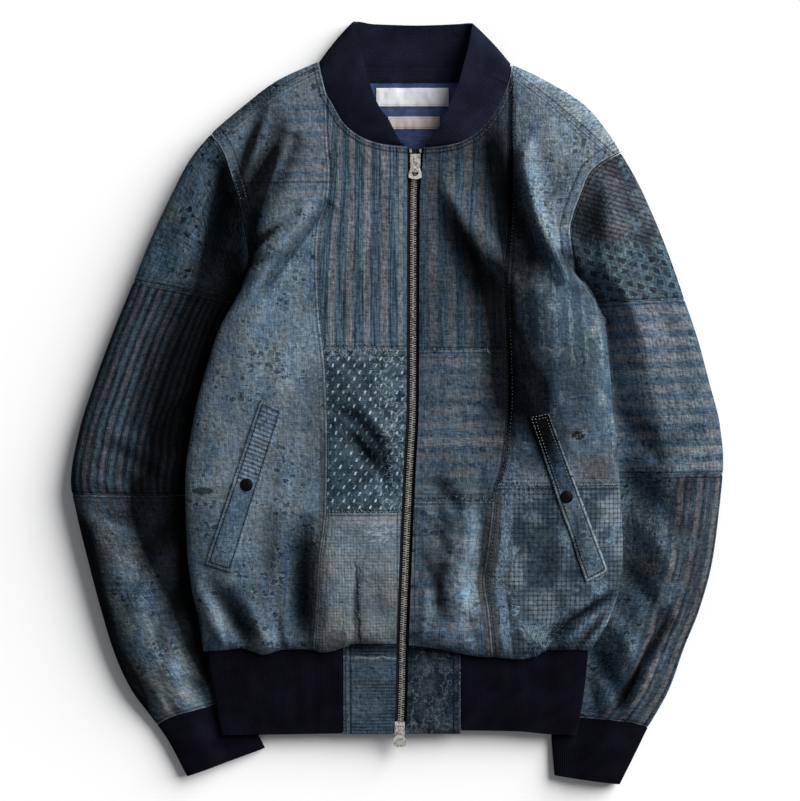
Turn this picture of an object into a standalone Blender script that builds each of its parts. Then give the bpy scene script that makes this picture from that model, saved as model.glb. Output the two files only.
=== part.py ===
"""A patched boro bomber jacket, zipped up and laid on its back on a table.

The tables are in millimetres and the meshes in metres.  Seen from above, +X is to the right,
+Y runs up to the collar, and +Z is up from the table.  The back lies on the table, the front
lies over it, and the body's sides and the waistband lie on the inner edges of the sleeves.
Left and right are as seen from the front.
"""
import math

import bmesh
import bpy
import numpy as np
from mathutils import Matrix, Vector

MM = 0.001
CLOTH = 1.8            # patched cloth with its backing
KNIT = 2.6             # doubled rib knit
SEAM = 0.2             # each piece stops this far short of the line of its seam
CELL = 27.0            # length of a flat stretch of cloth between two folds of its wall
ROLL = (0.0, 1.1, 4.4, 9.9, 17.6)        # the closer steps over a rolled edge
UNDER_ROLL = 14.0      # how far in from an edge the underside reaches the table
FULLNESS = 3.0         # how squarely the front fills out towards its sides
LAP_RAMP = 26.0        # the back comes down from the sleeve to the table over this width
LAP_EASE = 8.0         # and starts this far in from the sleeve's hidden edge
HEM_ROLL = 16.0        # the cloth rolls under to the waistband over this length
HEM_BACK_Y = -248.0    # seam between the back and the waistband
BAND_TUCK = 5.0        # the waistband goes this far up behind the front
ZIP_PULL_IN = 22.0     # how far to the side the zip holds the front down

# ---------------------------------------------------------------------------- tables

# The front, a row for each height up the jacket: its left and right edges (above the armpits,
# where the sleeves take over), the height of its crown and of its side seams.
BODY = dict(columns=("y", "left", "right", "crown", "edge"), rows=(
    (-262.0, -192.0, 190.0, 31.0, 16.0),
    (-249.5, -194.0, 194.0, 33.0, 16.0),
    (-218.0, -198.5, 212.0, 37.0, 17.0),
    (-184.0, -206.0, 222.5, 40.0, 17.0),
    (-148.0, -210.0, 226.0, 42.0, 17.0),
    (-82.0, -212.0, 223.0, 43.0, 17.0),
    (-8.0, -202.0, 216.5, 44.0, 17.0),
    (34.0, -191.0, 213.0, 44.0, 16.0),
    (76.0, -177.0, 209.0, 43.0, 15.0),
    (101.0, -163.0, 199.0, 42.0, 13.5),
    (115.0, -156.0, 191.0, 41.0, 12.5),
    (130.5, -151.0, 180.0, 41.0, 11.0),
    (140.0, -147.0, 191.0, 40.0, 10.0),
    (152.0, -159.0, 209.0, 40.0, 11.0),
    (167.0, -185.0, 235.0, 39.0, 12.0),
    (182.0, -212.0, 256.0, 38.0, 13.0),
    (202.0, -229.0, 249.0, 38.0, 13.0),
    (226.0, -217.0, 238.5, 37.0, 13.0),
    (250.5, -204.0, 224.0, 36.0, 13.0),
    (269.5, -186.0, 212.0, 34.0, 13.0),
    (297.0, -154.0, 189.0, 31.0, 13.0),
    (322.0, -121.0, 150.0, 28.0, 12.0),
    (338.5, -86.0, 115.0, 26.5, 12.0),
    (341.5, -78.5, 107.0, 26.0, 12.0)))

# The zip: its centre, half the gap between the two fronts, and the height of the cloth there.
ZIP = dict(columns=("y", "x", "gap", "level"), rows=(
    (-345.0, 2.0, 6.0, 15.5),
    (-333.0, 2.2, 6.0, 16.0),
    (-311.0, 4.0, 6.0, 17.0),
    (-241.5, 5.6, 6.0, 19.5),
    (-227.0, 6.0, 6.0, 25.5),
    (-200.0, 7.0, 6.0, 32.0),
    (-158.0, 8.6, 6.0, 37.0),
    (-66.0, 12.5, 6.0, 41.0),
    (-5.0, 15.5, 6.0, 42.0),
    (102.0, 16.0, 6.0, 39.0),
    (202.0, 16.4, 6.0, 35.0),
    (238.0, 18.0, 7.0, 33.0),
    (260.0, 18.6, 8.5, 32.0)))

# The waistband, in the same way as the body.
BAND = dict(columns=("y", "left", "right", "crown", "edge"), rows=(
    (-345.0, -174.0, 178.0, 15.5, 12.5),
    (-333.0, -176.0, 180.0, 16.0, 12.5),
    (-295.0, -183.0, 187.0, 18.0, 13.0),
    (-249.5, -190.0, 191.5, 19.5, 13.5),
    (-230.0, -191.0, 192.5, 20.0, 13.5)))

# How far the back is lifted by the sleeves and cuffs under its sides, left and right.
LIFT = dict(columns=("y", "left", "right"), rows=(
    (-345.0, 9.4, 9.4),
    (-285.0, 9.4, 9.4),
    (-240.0, 8.4, 8.4),
    (60.0, 7.6, 7.6),
    (102.0, 7.6, 7.6),
    (113.0, 7.0, 5.0),
    (127.0, 2.0, 1.0),
    (137.0, 0.0, 0.0),
    (342.0, 0.0, 0.0)))

# The largest folds of the front: from one end to the other, half their width and their rise.
FOLDS = dict(columns=("x0", "y0", "x1", "y1", "width", "rise"), rows=(
    (-130.0, 295.0, -158.0, 209.0, 13.0, -6.0),      # off the left shoulder
    (-108.0, 270.0, -143.0, 196.0, 12.0, -6.0),
    (-67.0, 200.0, -140.0, 110.0, 14.0, -3.0),
    (113.0, 318.0, 112.0, -40.0, 17.0, -7.0),        # down the right column seam
    (54.0, 205.0, 112.0, 132.0, 16.0, 4.0),
    (136.0, 235.0, 146.0, 150.0, 18.0, 4.0),
    (150.0, 128.0, 178.0, 104.0, 12.0, -5.0),
    (-98.0, -140.0, -97.0, -236.0, 14.0, -5.0),      # into the waistband
    (-178.0, -188.0, -152.0, -244.0, 12.0, -5.0),
    (38.0, -80.0, 56.0, -190.0, 15.0, -4.0),
    (218.0, -182.0, 148.0, -244.0, 12.0, -5.0)))

# Each sleeve, a row for each section from the armhole to the cuff: how far along it is, its
# outer and inner ends, its crown, and its edges; lap is how much of it lies under the body.
SLEEVE_COLUMNS = ("along", "ox", "oy", "ix", "iy", "crown", "outer", "inner", "strip", "lap")
SLEEVE_LEFT = dict(columns=SLEEVE_COLUMNS, rows=(
    (0.00, -186.0, 269.5, -147.0, 140.0, 30.0, 13.0, 10.0, 15.0, 0.0),
    (0.06, -207.0, 244.0, -151.8, 131.0, 32.0, 13.0, 9.0, 13.0, 0.0),
    (0.12, -228.0, 204.0, -154.8, 123.0, 33.0, 13.0, 7.0, 10.0, 0.0),
    (0.18, -247.5, 162.0, -157.6, 115.0, 34.0, 13.0, 4.5, 7.0, 0.0),
    (0.25, -264.0, 121.0, -160.0, 100.0, 34.0, 13.0, 3.2, 6.4, 8.0),
    (0.34, -286.0, 67.0, -161.0, 66.0, 34.0, 13.0, 3.2, 6.4, 20.0),
    (0.43, -304.0, 18.0, -165.5, 20.0, 34.0, 13.0, 3.2, 6.4, 31.0),
    (0.52, -319.0, -30.0, -171.0, -30.0, 34.0, 13.0, 3.2, 6.4, 36.0),
    (0.61, -327.0, -80.0, -175.0, -82.0, 33.0, 13.0, 3.2, 6.4, 37.0),
    (0.66, -321.5, -110.0, -176.5, -112.0, 32.0, 13.0, 3.2, 6.4, 36.0),
    (0.75, -309.0, -162.0, -175.0, -164.0, 30.0, 12.5, 3.2, 6.4, 34.0),
    (0.84, -296.0, -211.0, -170.0, -205.0, 28.0, 12.0, 3.2, 6.4, 30.0),
    (0.91, -283.0, -253.0, -164.0, -240.0, 25.0, 11.0, 3.4, 6.8, 28.0),
    (0.96, -268.0, -286.0, -160.0, -268.0, 22.0, 10.0, 3.8, 7.6, 27.0),
    (1.00, -241.0, -323.5, -158.0, -294.5, 15.0, 7.5, 4.1, 8.2, 26.0)))
SLEEVE_RIGHT = dict(columns=SLEEVE_COLUMNS, rows=(
    (0.00, 224.0, 250.5, 180.0, 130.5, 30.0, 13.0, 10.0, 15.0, 0.0),
    (0.06, 241.0, 221.0, 184.6, 125.5, 32.0, 13.0, 9.0, 13.0, 0.0),
    (0.12, 257.5, 185.0, 188.2, 121.0, 33.0, 13.0, 7.0, 10.0, 0.0),
    (0.18, 273.5, 145.0, 192.6, 115.0, 34.0, 13.0, 4.5, 7.0, 0.0),
    (0.25, 288.0, 103.0, 196.5, 98.0, 34.0, 13.0, 3.2, 6.4, 4.0),
    (0.34, 301.5, 63.0, 193.0, 62.0, 34.0, 13.0, 3.2, 6.4, 18.0),
    (0.43, 313.0, 20.0, 189.0, 22.0, 34.0, 13.0, 3.2, 6.4, 25.0),
    (0.52, 323.5, -22.0, 186.0, -22.0, 34.0, 13.0, 3.2, 6.4, 33.0),
    (0.61, 327.0, -60.0, 184.0, -62.0, 33.0, 13.0, 3.2, 6.4, 39.0),
    (0.69, 322.5, -112.0, 182.0, -112.0, 32.0, 13.0, 3.2, 6.4, 44.0),
    (0.77, 316.0, -160.0, 180.0, -158.0, 30.0, 12.5, 3.2, 6.4, 44.0),
    (0.85, 303.0, -208.0, 175.0, -203.0, 28.0, 12.0, 3.2, 6.4, 38.0),
    (0.91, 288.0, -246.0, 170.0, -238.0, 25.0, 11.0, 3.4, 6.8, 24.0),
    (0.96, 273.0, -288.0, 164.0, -275.0, 22.0, 10.0, 3.8, 7.6, 25.0),
    (1.00, 252.0, -326.5, 159.0, -311.5, 15.0, 7.5, 4.1, 8.2, 24.0)))

# Each cuff in the same way, from its seam to its open end.
CUFF_LEFT = dict(columns=SLEEVE_COLUMNS, rows=(
    (0.00, -241.0, -323.5, -158.0, -294.5, 14.8, 7.5, 4.2, 8.4, 26.0),
    (0.30, -231.0, -338.0, -151.0, -310.0, 15.0, 7.5, 4.2, 8.4, 30.0),
    (1.00, -211.0, -375.5, -132.5, -347.0, 14.0, 7.0, 5.0, 9.5, 36.0)))
CUFF_RIGHT = dict(columns=SLEEVE_COLUMNS, rows=(
    (0.00, 252.0, -326.5, 159.0, -311.5, 14.8, 7.5, 4.2, 8.4, 24.0),
    (0.30, 245.0, -341.0, 155.0, -330.0, 15.0, 7.5, 4.2, 8.4, 26.0),
    (1.00, 224.0, -383.5, 158.0, -374.5, 14.0, 7.0, 6.0, 12.0, 10.0)))

# The collar: how far along the neckline each station is sewn, and its free edge.
COLLAR = dict(columns=("along", "fx", "fy", "fz"), rows=(
    (1.0, 4.5, 259.5, 35.0),
    (19.5, -1.0, 267.5, 37.0),
    (39.5, -8.0, 281.0, 38.5),
    (56.0, -17.5, 294.0, 38.5),
    (72.5, -24.0, 309.0, 37.0),
    (91.5, -28.5, 323.0, 34.0),
    (111.0, -32.5, 338.0, 30.0),
    (129.0, -37.5, 356.0, 24.0),
    (139.5, -44.0, 382.0, 12.0),
    (151.0, -38.0, 383.5, 1.5),
    (171.0, -24.0, 381.0, 0.0),
    (203.5, -2.0, 380.0, 0.0),
    (235.5, 19.0, 379.5, 0.0),
    (269.5, 41.0, 380.0, 0.0),
    (301.5, 60.0, 381.0, 0.0),
    (320.5, 71.0, 382.0, 1.5),
    (330.5, 76.0, 380.0, 12.0),
    (341.5, 71.0, 355.0, 24.0),
    (354.0, 66.5, 337.0, 30.0),
    (367.5, 62.0, 321.0, 34.0),
    (383.5, 56.0, 305.0, 37.0),
    (401.0, 50.0, 291.0, 38.5),
    (418.0, 44.0, 278.5, 38.5),
    (435.0, 37.5, 267.5, 37.0),
    (451.5, 32.5, 261.0, 36.0),
    (467.0, 28.0, 259.0, 35.0)))
COLLAR_GAP = 1.3       # from the neckline to the collar's seam edge

# ------------------------------------------------------------------------- plan lines

LEFT_SEAM = ((-70.5, 308.0), (-70.0, 272.0), (-67.0, 227.0), (-69.0, 200.0), (-77.0, 178.0),
             (-79.5, 140.0), (-78.0, 96.0), (-71.0, 28.0), (-69.0, -44.0), (-70.0, -109.0),
             (-76.0, -158.0), (-78.0, -197.0), (-83.0, -262.0))
RIGHT_SEAM = ((113.6, 331.0), (113.0, 272.0), (114.5, 228.0), (113.0, 184.0), (109.0, 119.0),
              (111.0, 52.0), (112.0, 10.0), (108.5, -40.0), (105.0, -66.0), (98.0, -88.0),
              (96.0, -111.0), (90.5, -155.0), (87.5, -177.0), (92.0, -208.0), (97.0, -262.0))
LEFT_NECK = ((9.5, 254.8), (-10.0, 256.2), (-30.0, 261.5), (-44.0, 269.5), (-55.5, 281.0),
             (-64.5, 297.5), (-70.5, 308.0), (-77.0, 334.0), (-78.5, 341.5))
RIGHT_NECK = ((27.5, 254.0), (44.0, 255.2), (60.5, 258.3), (75.8, 265.5), (88.5, 276.8),
              (98.5, 291.0), (105.8, 305.0), (110.5, 318.2), (113.6, 331.0), (115.0, 338.5))
LEFT_ARMHOLE = ((-147.0, 140.0), (-151.0, 167.5), (-156.5, 195.0), (-162.5, 216.5),
                (-173.0, 249.0), (-186.0, 269.5))
RIGHT_ARMHOLE = ((180.0, 130.5), (174.5, 152.0), (172.5, 172.5), (176.0, 187.5), (181.7, 203.5),
                 (193.0, 229.5), (207.0, 241.5), (224.0, 250.5))
LEFT_FORWARD_SEAM = ((-180.8, 261.9), (-149.0, 289.5), (-117.0, 313.0), (-77.0, 334.0))
RIGHT_FORWARD_SEAM = ((113.6, 331.0), (152.0, 300.8), (178.0, 279.0), (215.5, 246.3))
BACK_NECK = ((-78.5, 341.5), (-66.0, 338.0), (-46.0, 335.3), (18.0, 332.8), (84.0, 334.3),
             (103.0, 335.8), (115.0, 338.5))
LEFT_HEM = ((-194.0, -249.5), (-172.0, -248.0), (-157.0, -246.0), (-145.0, -249.0),
            (-134.0, -252.5), (-114.0, -247.5), (-94.0, -247.0), (-73.0, -250.0),
            (-53.0, -245.0), (-44.0, -241.5), (0.0, -241.5))
RIGHT_HEM = ((11.0, -243.0), (43.0, -246.5), (79.0, -253.5), (106.0, -255.5), (123.0, -257.0),
             (138.0, -254.5), (150.0, -248.0), (177.0, -247.5), (194.0, -249.5))
BAND_HEM = ((-176.0, -333.5), (-54.0, -331.5), (64.0, -328.5), (120.0, -329.5),
            (154.0, -332.5), (180.0, -333.5))
LEFT_CUFF_SEAM = ((-241.0, -323.5), (-225.0, -315.5), (-186.0, -304.5), (-158.0, -294.5))
RIGHT_CUFF_SEAM = ((252.0, -326.5), (234.0, -321.5), (209.0, -318.5), (180.0, -316.5),
                   (159.0, -311.5))

# Heights where one patch meets the next.
LEFT_PATCHES = (53.0, -109.5)
RIGHT_PATCHES = (52.0, -98.0)
SIDE_PATCH_Y = -83.0
SLEEVE_PATCHES = (0.25, 0.63)
SLEEVE_OVER = 12       # steps over the top of a sleeve, from its outer to its inner edge
SLEEVE_UNDER = 8       # steps under it, back to its outer edge
YOKE_STEP = 2          # the forward seam meets the armhole at this step from its tip
TAB_LEFT_X = -54.0
TAB_RIGHT_X = 64.0
TAB_TOP_Y = -238.0
TAB_BOTTOM_Y = -332.0

# ------------------------------------------------------------------- reading the tables


def smooth_read(knots, values, at):
    """Reads a smooth line through the knots that never swings past a value between them."""
    knots, values = np.asarray(knots, float), np.asarray(values, float)
    at = np.clip(at, knots[0], knots[-1])
    width = np.diff(knots)
    slope = np.diff(values) / width
    tangent = np.zeros(len(knots))
    steady = slope[:-1] * slope[1:] > 0
    before, after = slope[:-1][steady], slope[1:][steady]
    near, far = 2 * width[1:] + width[:-1], width[1:] + 2 * width[:-1]
    tangent[1:-1][steady] = (near + far)[steady] / (near[steady] / before + far[steady] / after)
    tangent[0], tangent[-1] = slope[0], slope[-1]
    i = np.clip(np.searchsorted(knots, at, side="right") - 1, 0, len(width) - 1)
    t = (at - knots[i]) / width[i]
    return (values[i] * (1 + 2 * t) * (1 - t) ** 2 + values[i + 1] * t * t * (3 - 2 * t)
            + width[i] * (tangent[i] * t * (1 - t) ** 2 - tangent[i + 1] * t * t * (1 - t)))


def read(table, column, at):
    """Reads one column of a table at a value of its first column."""
    rows = np.array(table["rows"])
    return smooth_read(rows[:, 0], rows[:, table["columns"].index(column)], at)


def across(line, y):
    """x of a plan line at a height y up the jacket."""
    points = np.array(sorted(line, key=lambda point: point[1]))
    return smooth_read(points[:, 1], points[:, 0], y)


def up(line, x):
    """y of a plan line that runs from left to right."""
    points = np.array(sorted(line))
    return smooth_read(points[:, 0], points[:, 1], x)


def along(line, t):
    """Plan points at fractions t of a line's length."""
    points = np.array(line)
    steps = np.hypot(*np.diff(points, axis=0).T)
    reach = np.concatenate([[0.0], np.cumsum(steps)]) / steps.sum()
    return np.stack([smooth_read(reach, points[:, k], t) for k in (0, 1)], axis=-1)


def climb(x_of_y, low, high):
    """A side of a piece: the points of x_of_y between two heights, read by fraction."""
    def side(t):
        y = low + (high - low) * np.asarray(t)
        return np.stack([x_of_y(y), y], axis=-1)
    return side


def crossing(y_of_x, start, end):
    """The bottom or top of a piece, along y_of_x between two x."""
    def edge(t):
        x = start + (end - start) * np.asarray(t)
        return np.stack([x, y_of_x(x)], axis=-1)
    return edge


def straight(start, end):
    """A straight side between two plan points."""
    return lambda t: np.asarray(start) + np.outer(t, np.subtract(end, start))


def ease(t):
    """0 to 1 with soft ends."""
    t = np.clip(t, 0.0, 1.0)
    return t * t * (3 - 2 * t)


def cuts(length, first_rolled=False, last_rolled=False, cell=CELL):
    """Fractions of a length where a wall gets its rows: close over a rolled end."""
    low = [r / length for r in ROLL[:-1]] if first_rolled else []
    high = [1 - r / length for r in ROLL[:-1]][::-1] if last_rolled else []
    start = ROLL[-1] / length if first_rolled else SEAM / length
    end = 1 - (ROLL[-1] / length if last_rolled else SEAM / length)
    count = max(1, round((end - start) * length / cell))
    return np.array(low + list(np.linspace(start, end, count + 1)) + high)


def patch(bottom, top, left, right, u, v):
    """Plan points of a piece (a Coons patch): left and right hold its rows' ends at v."""
    ends = np.array([0.0, 1.0])
    (low_left, low_right), (high_left, high_right) = bottom(ends), top(ends)
    a, b = np.asarray(u)[None, :, None], np.asarray(v)[:, None, None]
    corners = ((1 - b) * ((1 - a) * low_left + a * low_right)
               + b * ((1 - a) * high_left + a * high_right))
    return ((1 - b) * bottom(np.asarray(u))[None] + b * top(np.asarray(u))[None]
            + (1 - a) * left[:, None] + a * right[:, None] - corners)


def stations(low, *levels):
    """Heights of the rows on a seam: close over the hem at low, then evenly to each level."""
    heights = [low + np.array(ROLL)]
    for level, steps in levels:
        heights.append(np.linspace(heights[-1][-1], level, steps + 1)[1:])
    return np.concatenate(heights)


def between(heights, low, high, rolled=False):
    """The rows between two heights, the ends drawn back for their seams."""
    inner = heights[(heights > low + 0.5) & (heights < high - 0.5)]
    return np.concatenate([[low if rolled else low + SEAM], inner, [high - SEAM]])


def on(x_of_y, heights):
    """The points of x_of_y at some heights."""
    return np.stack([x_of_y(heights), heights], axis=-1)


# --------------------------------------------------------------------- heights of cloth


def fold_rise(x, y):
    """What the largest folds add to the front at a plan point."""
    total = np.zeros(np.broadcast(x, y).shape)
    for x0, y0, x1, y1, width, rise in FOLDS["rows"]:
        run = np.array([x1 - x0, y1 - y0])
        t = ((x - x0) * run[0] + (y - y0) * run[1]) / (run @ run)
        t_in = np.clip(t, 0.0, 1.0)
        off = np.hypot(x - x0 - t_in * run[0], y - y0 - t_in * run[1])
        fade = np.clip(4 * t_in * (1 - t_in), 0.0, 1.0) ** 0.5
        total = total + rise * fade * np.exp(-(off / width) ** 2)
    return total


def side_fraction(table, x, y):
    """0 on the middle line of a body or band section and 1 at its side, and its half width."""
    left, right = read(table, "left", y), read(table, "right", y)
    half = (right - left) / 2
    return np.clip(np.abs(x - (left + right) / 2) / half, 0.0, 1.0), half


def dome(fraction, power):
    """Height of a filled-out section: 1 in the middle and 0 at its edge."""
    return (1 - fraction ** power) ** (1 / power)


def band_top(x, y):
    """Outer surface of the front of the waistband."""
    s, _ = side_fraction(BAND, x, y)
    edge = read(BAND, "edge", y)
    return edge + (read(BAND, "crown", y) - edge) * dome(s, FULLNESS)


def zip_level(y):
    """Height of the cloth along the zip."""
    return read(ZIP, "level", y)


def hem_line(x):
    """y of the front cloth's lower edge."""
    return np.where(x < 5.0, up(LEFT_HEM, x), up(RIGHT_HEM, x))


def roll_to_band(level, x, y):
    """Rolls the cloth's surface down to the waistband at its lower edge."""
    tuck = band_top(x, hem_line(x)) + 5 * SEAM
    rolled = np.clip((y - hem_line(x)) / HEM_ROLL, 0.0, 1.0)
    return np.where(level > tuck, tuck + (level - tuck) * np.sqrt(1 - (1 - rolled) ** 2), level)


def front_top(x, y):
    """Outer surface of the front of the body at a plan point."""
    s, _ = side_fraction(BODY, x, y)
    edge = read(BODY, "edge", y) + 1.5 * SEAM
    level = edge + (read(BODY, "crown", y) - edge) * dome(s, FULLNESS)
    level = level + fold_rise(x, y) * (1 - s ** 8)
    level = roll_to_band(level, x, y)
    held = np.exp(-((x - read(ZIP, "x", y)) / ZIP_PULL_IN) ** 2)
    return level + (zip_level(y) - level) * held


def lap_floor(x, y):
    """Height of the underside where the body and the waistband lie on the sleeves."""
    inner_left = np.interp(y, *hidden_edge(SLEEVE_LEFT, CUFF_LEFT)) + LAP_EASE
    inner_right = np.interp(y, *hidden_edge(SLEEVE_RIGHT, CUFF_RIGHT)) - LAP_EASE
    on_left = read(LIFT, "left", y) * ease((inner_left + LAP_RAMP - x) / LAP_RAMP)
    on_right = read(LIFT, "right", y) * ease((x - inner_right + LAP_RAMP) / LAP_RAMP)
    return np.maximum(on_left, on_right)


def hidden_edge(sleeve, cuff):
    """y and x of a sleeve's inner edge, down to the end of its cuff, for interpolation."""
    points = [(row[4], row[3]) for row in sleeve["rows"] + cuff["rows"][1:]]
    points.sort()
    return [p[0] for p in points], [p[1] for p in points]


def underside(table, x, y):
    """Lower surface of the body's back or of the band: flat, rolled up to the side seams."""
    s, half = side_fraction(table, x, y)
    floor = lap_floor(x, y)
    edge = read(table, "edge", y)
    if table is BODY:
        side = np.where(x < 0, LEFT_HEM[0][0], RIGHT_HEM[-1][0])
        edge = roll_to_band(edge + 1.5 * SEAM, side, y) - 1.5 * SEAM
    inward = np.clip((1 - s) * half / UNDER_ROLL, 0.0, 1.0)
    edge = edge - 1.5 * SEAM
    return floor + (edge - floor) * (1 - np.sqrt(1 - (1 - inward) ** 2))


def sleeve_plan(sleeve, armhole, cuff_seam, u, v):
    """Plan point of a sleeve: u from its outer to its inner edge, v from armhole to cuff."""
    outer = np.stack([read(sleeve, "ox", v), read(sleeve, "oy", v)], axis=-1)
    inner = np.stack([read(sleeve, "ix", v), read(sleeve, "iy", v)], axis=-1)
    u, v = np.broadcast_arrays(u, v)
    point = outer + (inner - outer) * u[..., None]
    for line, near in ((armhole, 1 - v / 0.25), (cuff_seam, (v - 0.9) / 0.1)):
        if line is None:
            continue
        ends = along(line, np.array([0.0, 1.0]))
        bow = along(line, u) - ends[0] - (ends[1] - ends[0]) * u[..., None]
        point = point + bow * ease(near)[..., None]
    return point


def sleeve_height(sleeve, u, v, width):
    """Heights of the top and the underside of a sleeve or cuff section."""
    edge = read(sleeve, "outer", v) + (read(sleeve, "inner", v) - read(sleeve, "outer", v)) * u
    strip, lap = read(sleeve, "strip", v), read(sleeve, "lap", v)
    from_inner = (1 - u) * width
    rise = ease((from_inner - lap) / (0.34 * width))
    level = strip + (read(sleeve, "crown", v) - strip) * rise
    top = edge + np.maximum(level - edge, 0.0) * dome(np.abs(2 * u - 1), 2.4)
    inward = np.clip(np.minimum(u, 1 - u) * width / (1.1 * edge), 0.0, 1.0)
    return top, edge * (1 - np.sqrt(1 - (1 - inward) ** 2))


# -------------------------------------------------------------------- walls of cloth


def material(name, colour, roughness, metallic=0.0):
    """A plain material of one colour."""
    made = bpy.data.materials.new(name)
    made.use_nodes = True
    shader = made.node_tree.nodes["Principled BSDF"]
    shader.inputs["Base Color"].default_value = (*colour, 1.0)
    shader.inputs["Roughness"].default_value = roughness
    shader.inputs["Metallic"].default_value = metallic
    return made


def place(name, mesh, finish, smooth=True):
    """Adds a mesh to the scene as one named piece."""
    if smooth:
        mesh.shade_smooth()
        mesh.set_sharp_from_angle(angle=math.radians(50))
    mesh.materials.append(finish)
    piece = bpy.data.objects.new(name, mesh)
    bpy.context.collection.objects.link(piece)
    return piece


def unit(vectors):
    """The same vectors at length 1."""
    return vectors / np.linalg.norm(vectors, axis=-1, keepdims=True)


def grid_normals(points):
    """Unit normals of an open grid of points."""
    du = np.gradient(points, axis=1, edge_order=2)
    dv = np.gradient(points, axis=0, edge_order=2)
    return unit(np.cross(du, dv))


def height_normals(height, x, y, step=0.05):
    """Unit normals, pointing up, of a surface given by its height over a plan point."""
    slope_x = (height(x + step, y) - height(x - step, y)) / (2 * step)
    slope_y = (height(x, y + step) - height(x, y - step)) / (2 * step)
    return unit(np.stack([-slope_x, -slope_y, np.ones_like(slope_x)], axis=-1))


def wall(name, points, normals, thickness, finish, closed=False):
    """One piece of cloth: a grid of points on its face, and its back a thickness inside."""
    back = points - normals * thickness
    rows, columns = points.shape[:2]
    mesh = bmesh.new()
    grids = []
    for grid in (points, back):
        grids.append([[mesh.verts.new(Vector(p) * MM) for p in row] for row in grid])
    face, inside = grids
    spans = columns if closed else columns - 1
    for i in range(rows - 1):
        for j in range(spans):
            k = (j + 1) % columns
            mesh.faces.new((face[i][j], face[i][k], face[i + 1][k], face[i + 1][j]))
            mesh.faces.new((inside[i][j], inside[i + 1][j], inside[i + 1][k], inside[i][k]))
    for j in range(spans):
        k = (j + 1) % columns
        mesh.faces.new((face[0][k], face[0][j], inside[0][j], inside[0][k]))
        mesh.faces.new((face[-1][j], face[-1][k], inside[-1][k], inside[-1][j]))
    if not closed:
        for i in range(rows - 1):
            mesh.faces.new((face[i][0], face[i + 1][0], inside[i + 1][0], inside[i][0]))
            mesh.faces.new((face[i + 1][-1], face[i][-1], inside[i][-1], inside[i + 1][-1]))
    bmesh.ops.recalc_face_normals(mesh, faces=mesh.faces)
    data = bpy.data.meshes.new(name)
    mesh.to_mesh(data)
    mesh.free()
    return place(name, data, finish)


def lifted(plan, height):
    """Joins plan points and their heights."""
    return np.concatenate([plan, height[..., None]], axis=-1)


def sheet(name, plan, height, thickness, finish, lift=0.0, down=False):
    """A piece over plan points, its face at a height, lift outside it, looking up or down."""
    x, y = plan[..., 0], plan[..., 1]
    out = height_normals(height, x, y) * (-1 if down else 1)
    return wall(name, lifted(plan, height(x, y)) + out * lift, out, thickness, finish)


# ------------------------------------------------------------------------- the body


def ring_fractions(steps):
    """Fractions across a sleeve of its points over the top, from the outer edge."""
    return (1 - np.cos(np.pi * np.arange(steps + 1) / steps)) / 2


def hole_points(armhole, fractions):
    """Points of an armhole, given from the armpit up, at fractions from its tip."""
    return along(armhole[::-1], fractions)


def side_rows(table_side, hem_y, armpit_y, hem_steps):
    """Heights of the rows on a side seam from the hem to the armpit."""
    return stations(hem_y, *hem_steps, (armpit_y, 12 - sum(n for _, n in hem_steps)))


def drawn_in(armhole, fractions, sign):
    """Armhole points, all but its tip drawn in for their seam; sign is -1 on the left."""
    run = unit(hole_points(armhole, fractions + 0.01) - hole_points(armhole, fractions - 0.01))
    inward = sign * np.stack([run[:, 1], -run[:, 0]], axis=-1)
    amount = 2 * SEAM * (fractions > 0)
    return hole_points(armhole, fractions) + inward * amount[:, None]


def zip_edge(sign):
    """x of a front's edge along the zip; sign is -1 for the left front."""
    return lambda y: read(ZIP, "x", y) + sign * read(ZIP, "gap", y)


def seam_of(line):
    """x of a column seam."""
    return lambda y: across(line, y)


LEFT_ROWS = stations(float(hem_line(-82.4)), (LEFT_PATCHES[1], 5), (LEFT_PATCHES[0], 6),
                     (LEFT_SEAM[0][1], 10))
RIGHT_ROWS = stations(float(hem_line(96.5)), (RIGHT_PATCHES[1], 5), (SIDE_PATCH_Y, 1),
                      (RIGHT_PATCHES[0], 5), (RIGHT_SEAM[0][1], 11))
LEFT_SIDE_ROWS = stations(LEFT_HEM[0][1], (LEFT_ARMHOLE[0][1], 12))
RIGHT_SIDE_ROWS = stations(RIGHT_HEM[-1][1], (SIDE_PATCH_Y, 6), (RIGHT_ARMHOLE[0][1], 6))


def front_column(names, finishes, neck, seam, rows, sign, breaks):
    """The three patches beside the zip, from the hem to the neckline."""
    levels = [rows[0], breaks[1], breaks[0], seam[0][1]]
    zip_low = float(hem_line(zip_edge(sign)(-242.0)))
    inner_neck = [point for point in neck if point[1] <= seam[0][1]]
    zip_levels = [zip_low, breaks[1], breaks[0], neck[0][1]]
    for k, (name, finish) in enumerate(zip(names, finishes)):
        heights = between(rows, levels[k], levels[k + 1], rolled=k == 0)
        v = (heights - levels[k]) / (levels[k + 1] - levels[k])
        zip_heights = zip_levels[k] + (zip_levels[k + 1] - zip_levels[k]) * v
        near, far = on(zip_edge(sign), zip_heights), on(seam_of(seam), heights)
        corner = [on(zip_edge(sign), np.array(zip_levels[k:k + 2])),
                  on(seam_of(seam), np.array(levels[k:k + 2]))]
        bottom = straight(corner[0][0], corner[1][0])
        top = straight(corner[0][1], corner[1][1])
        if k == 0:
            bottom = crossing(hem_line, corner[0][0][0], corner[1][0][0])
        if k == 2:
            top = lambda t: along(inner_neck, t)
        if sign < 0:
            near, far, bottom, top = far, near, backwards(bottom), backwards(top)
        u = cuts(86.0, cell=13.0 if k == 2 else 29.0)
        sheet(name, patch(bottom, top, near, far, u, v), front_top, CLOTH, finish)


def backwards(line):
    """A line read from its other end."""
    return lambda t: line(1 - np.asarray(t))


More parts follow.
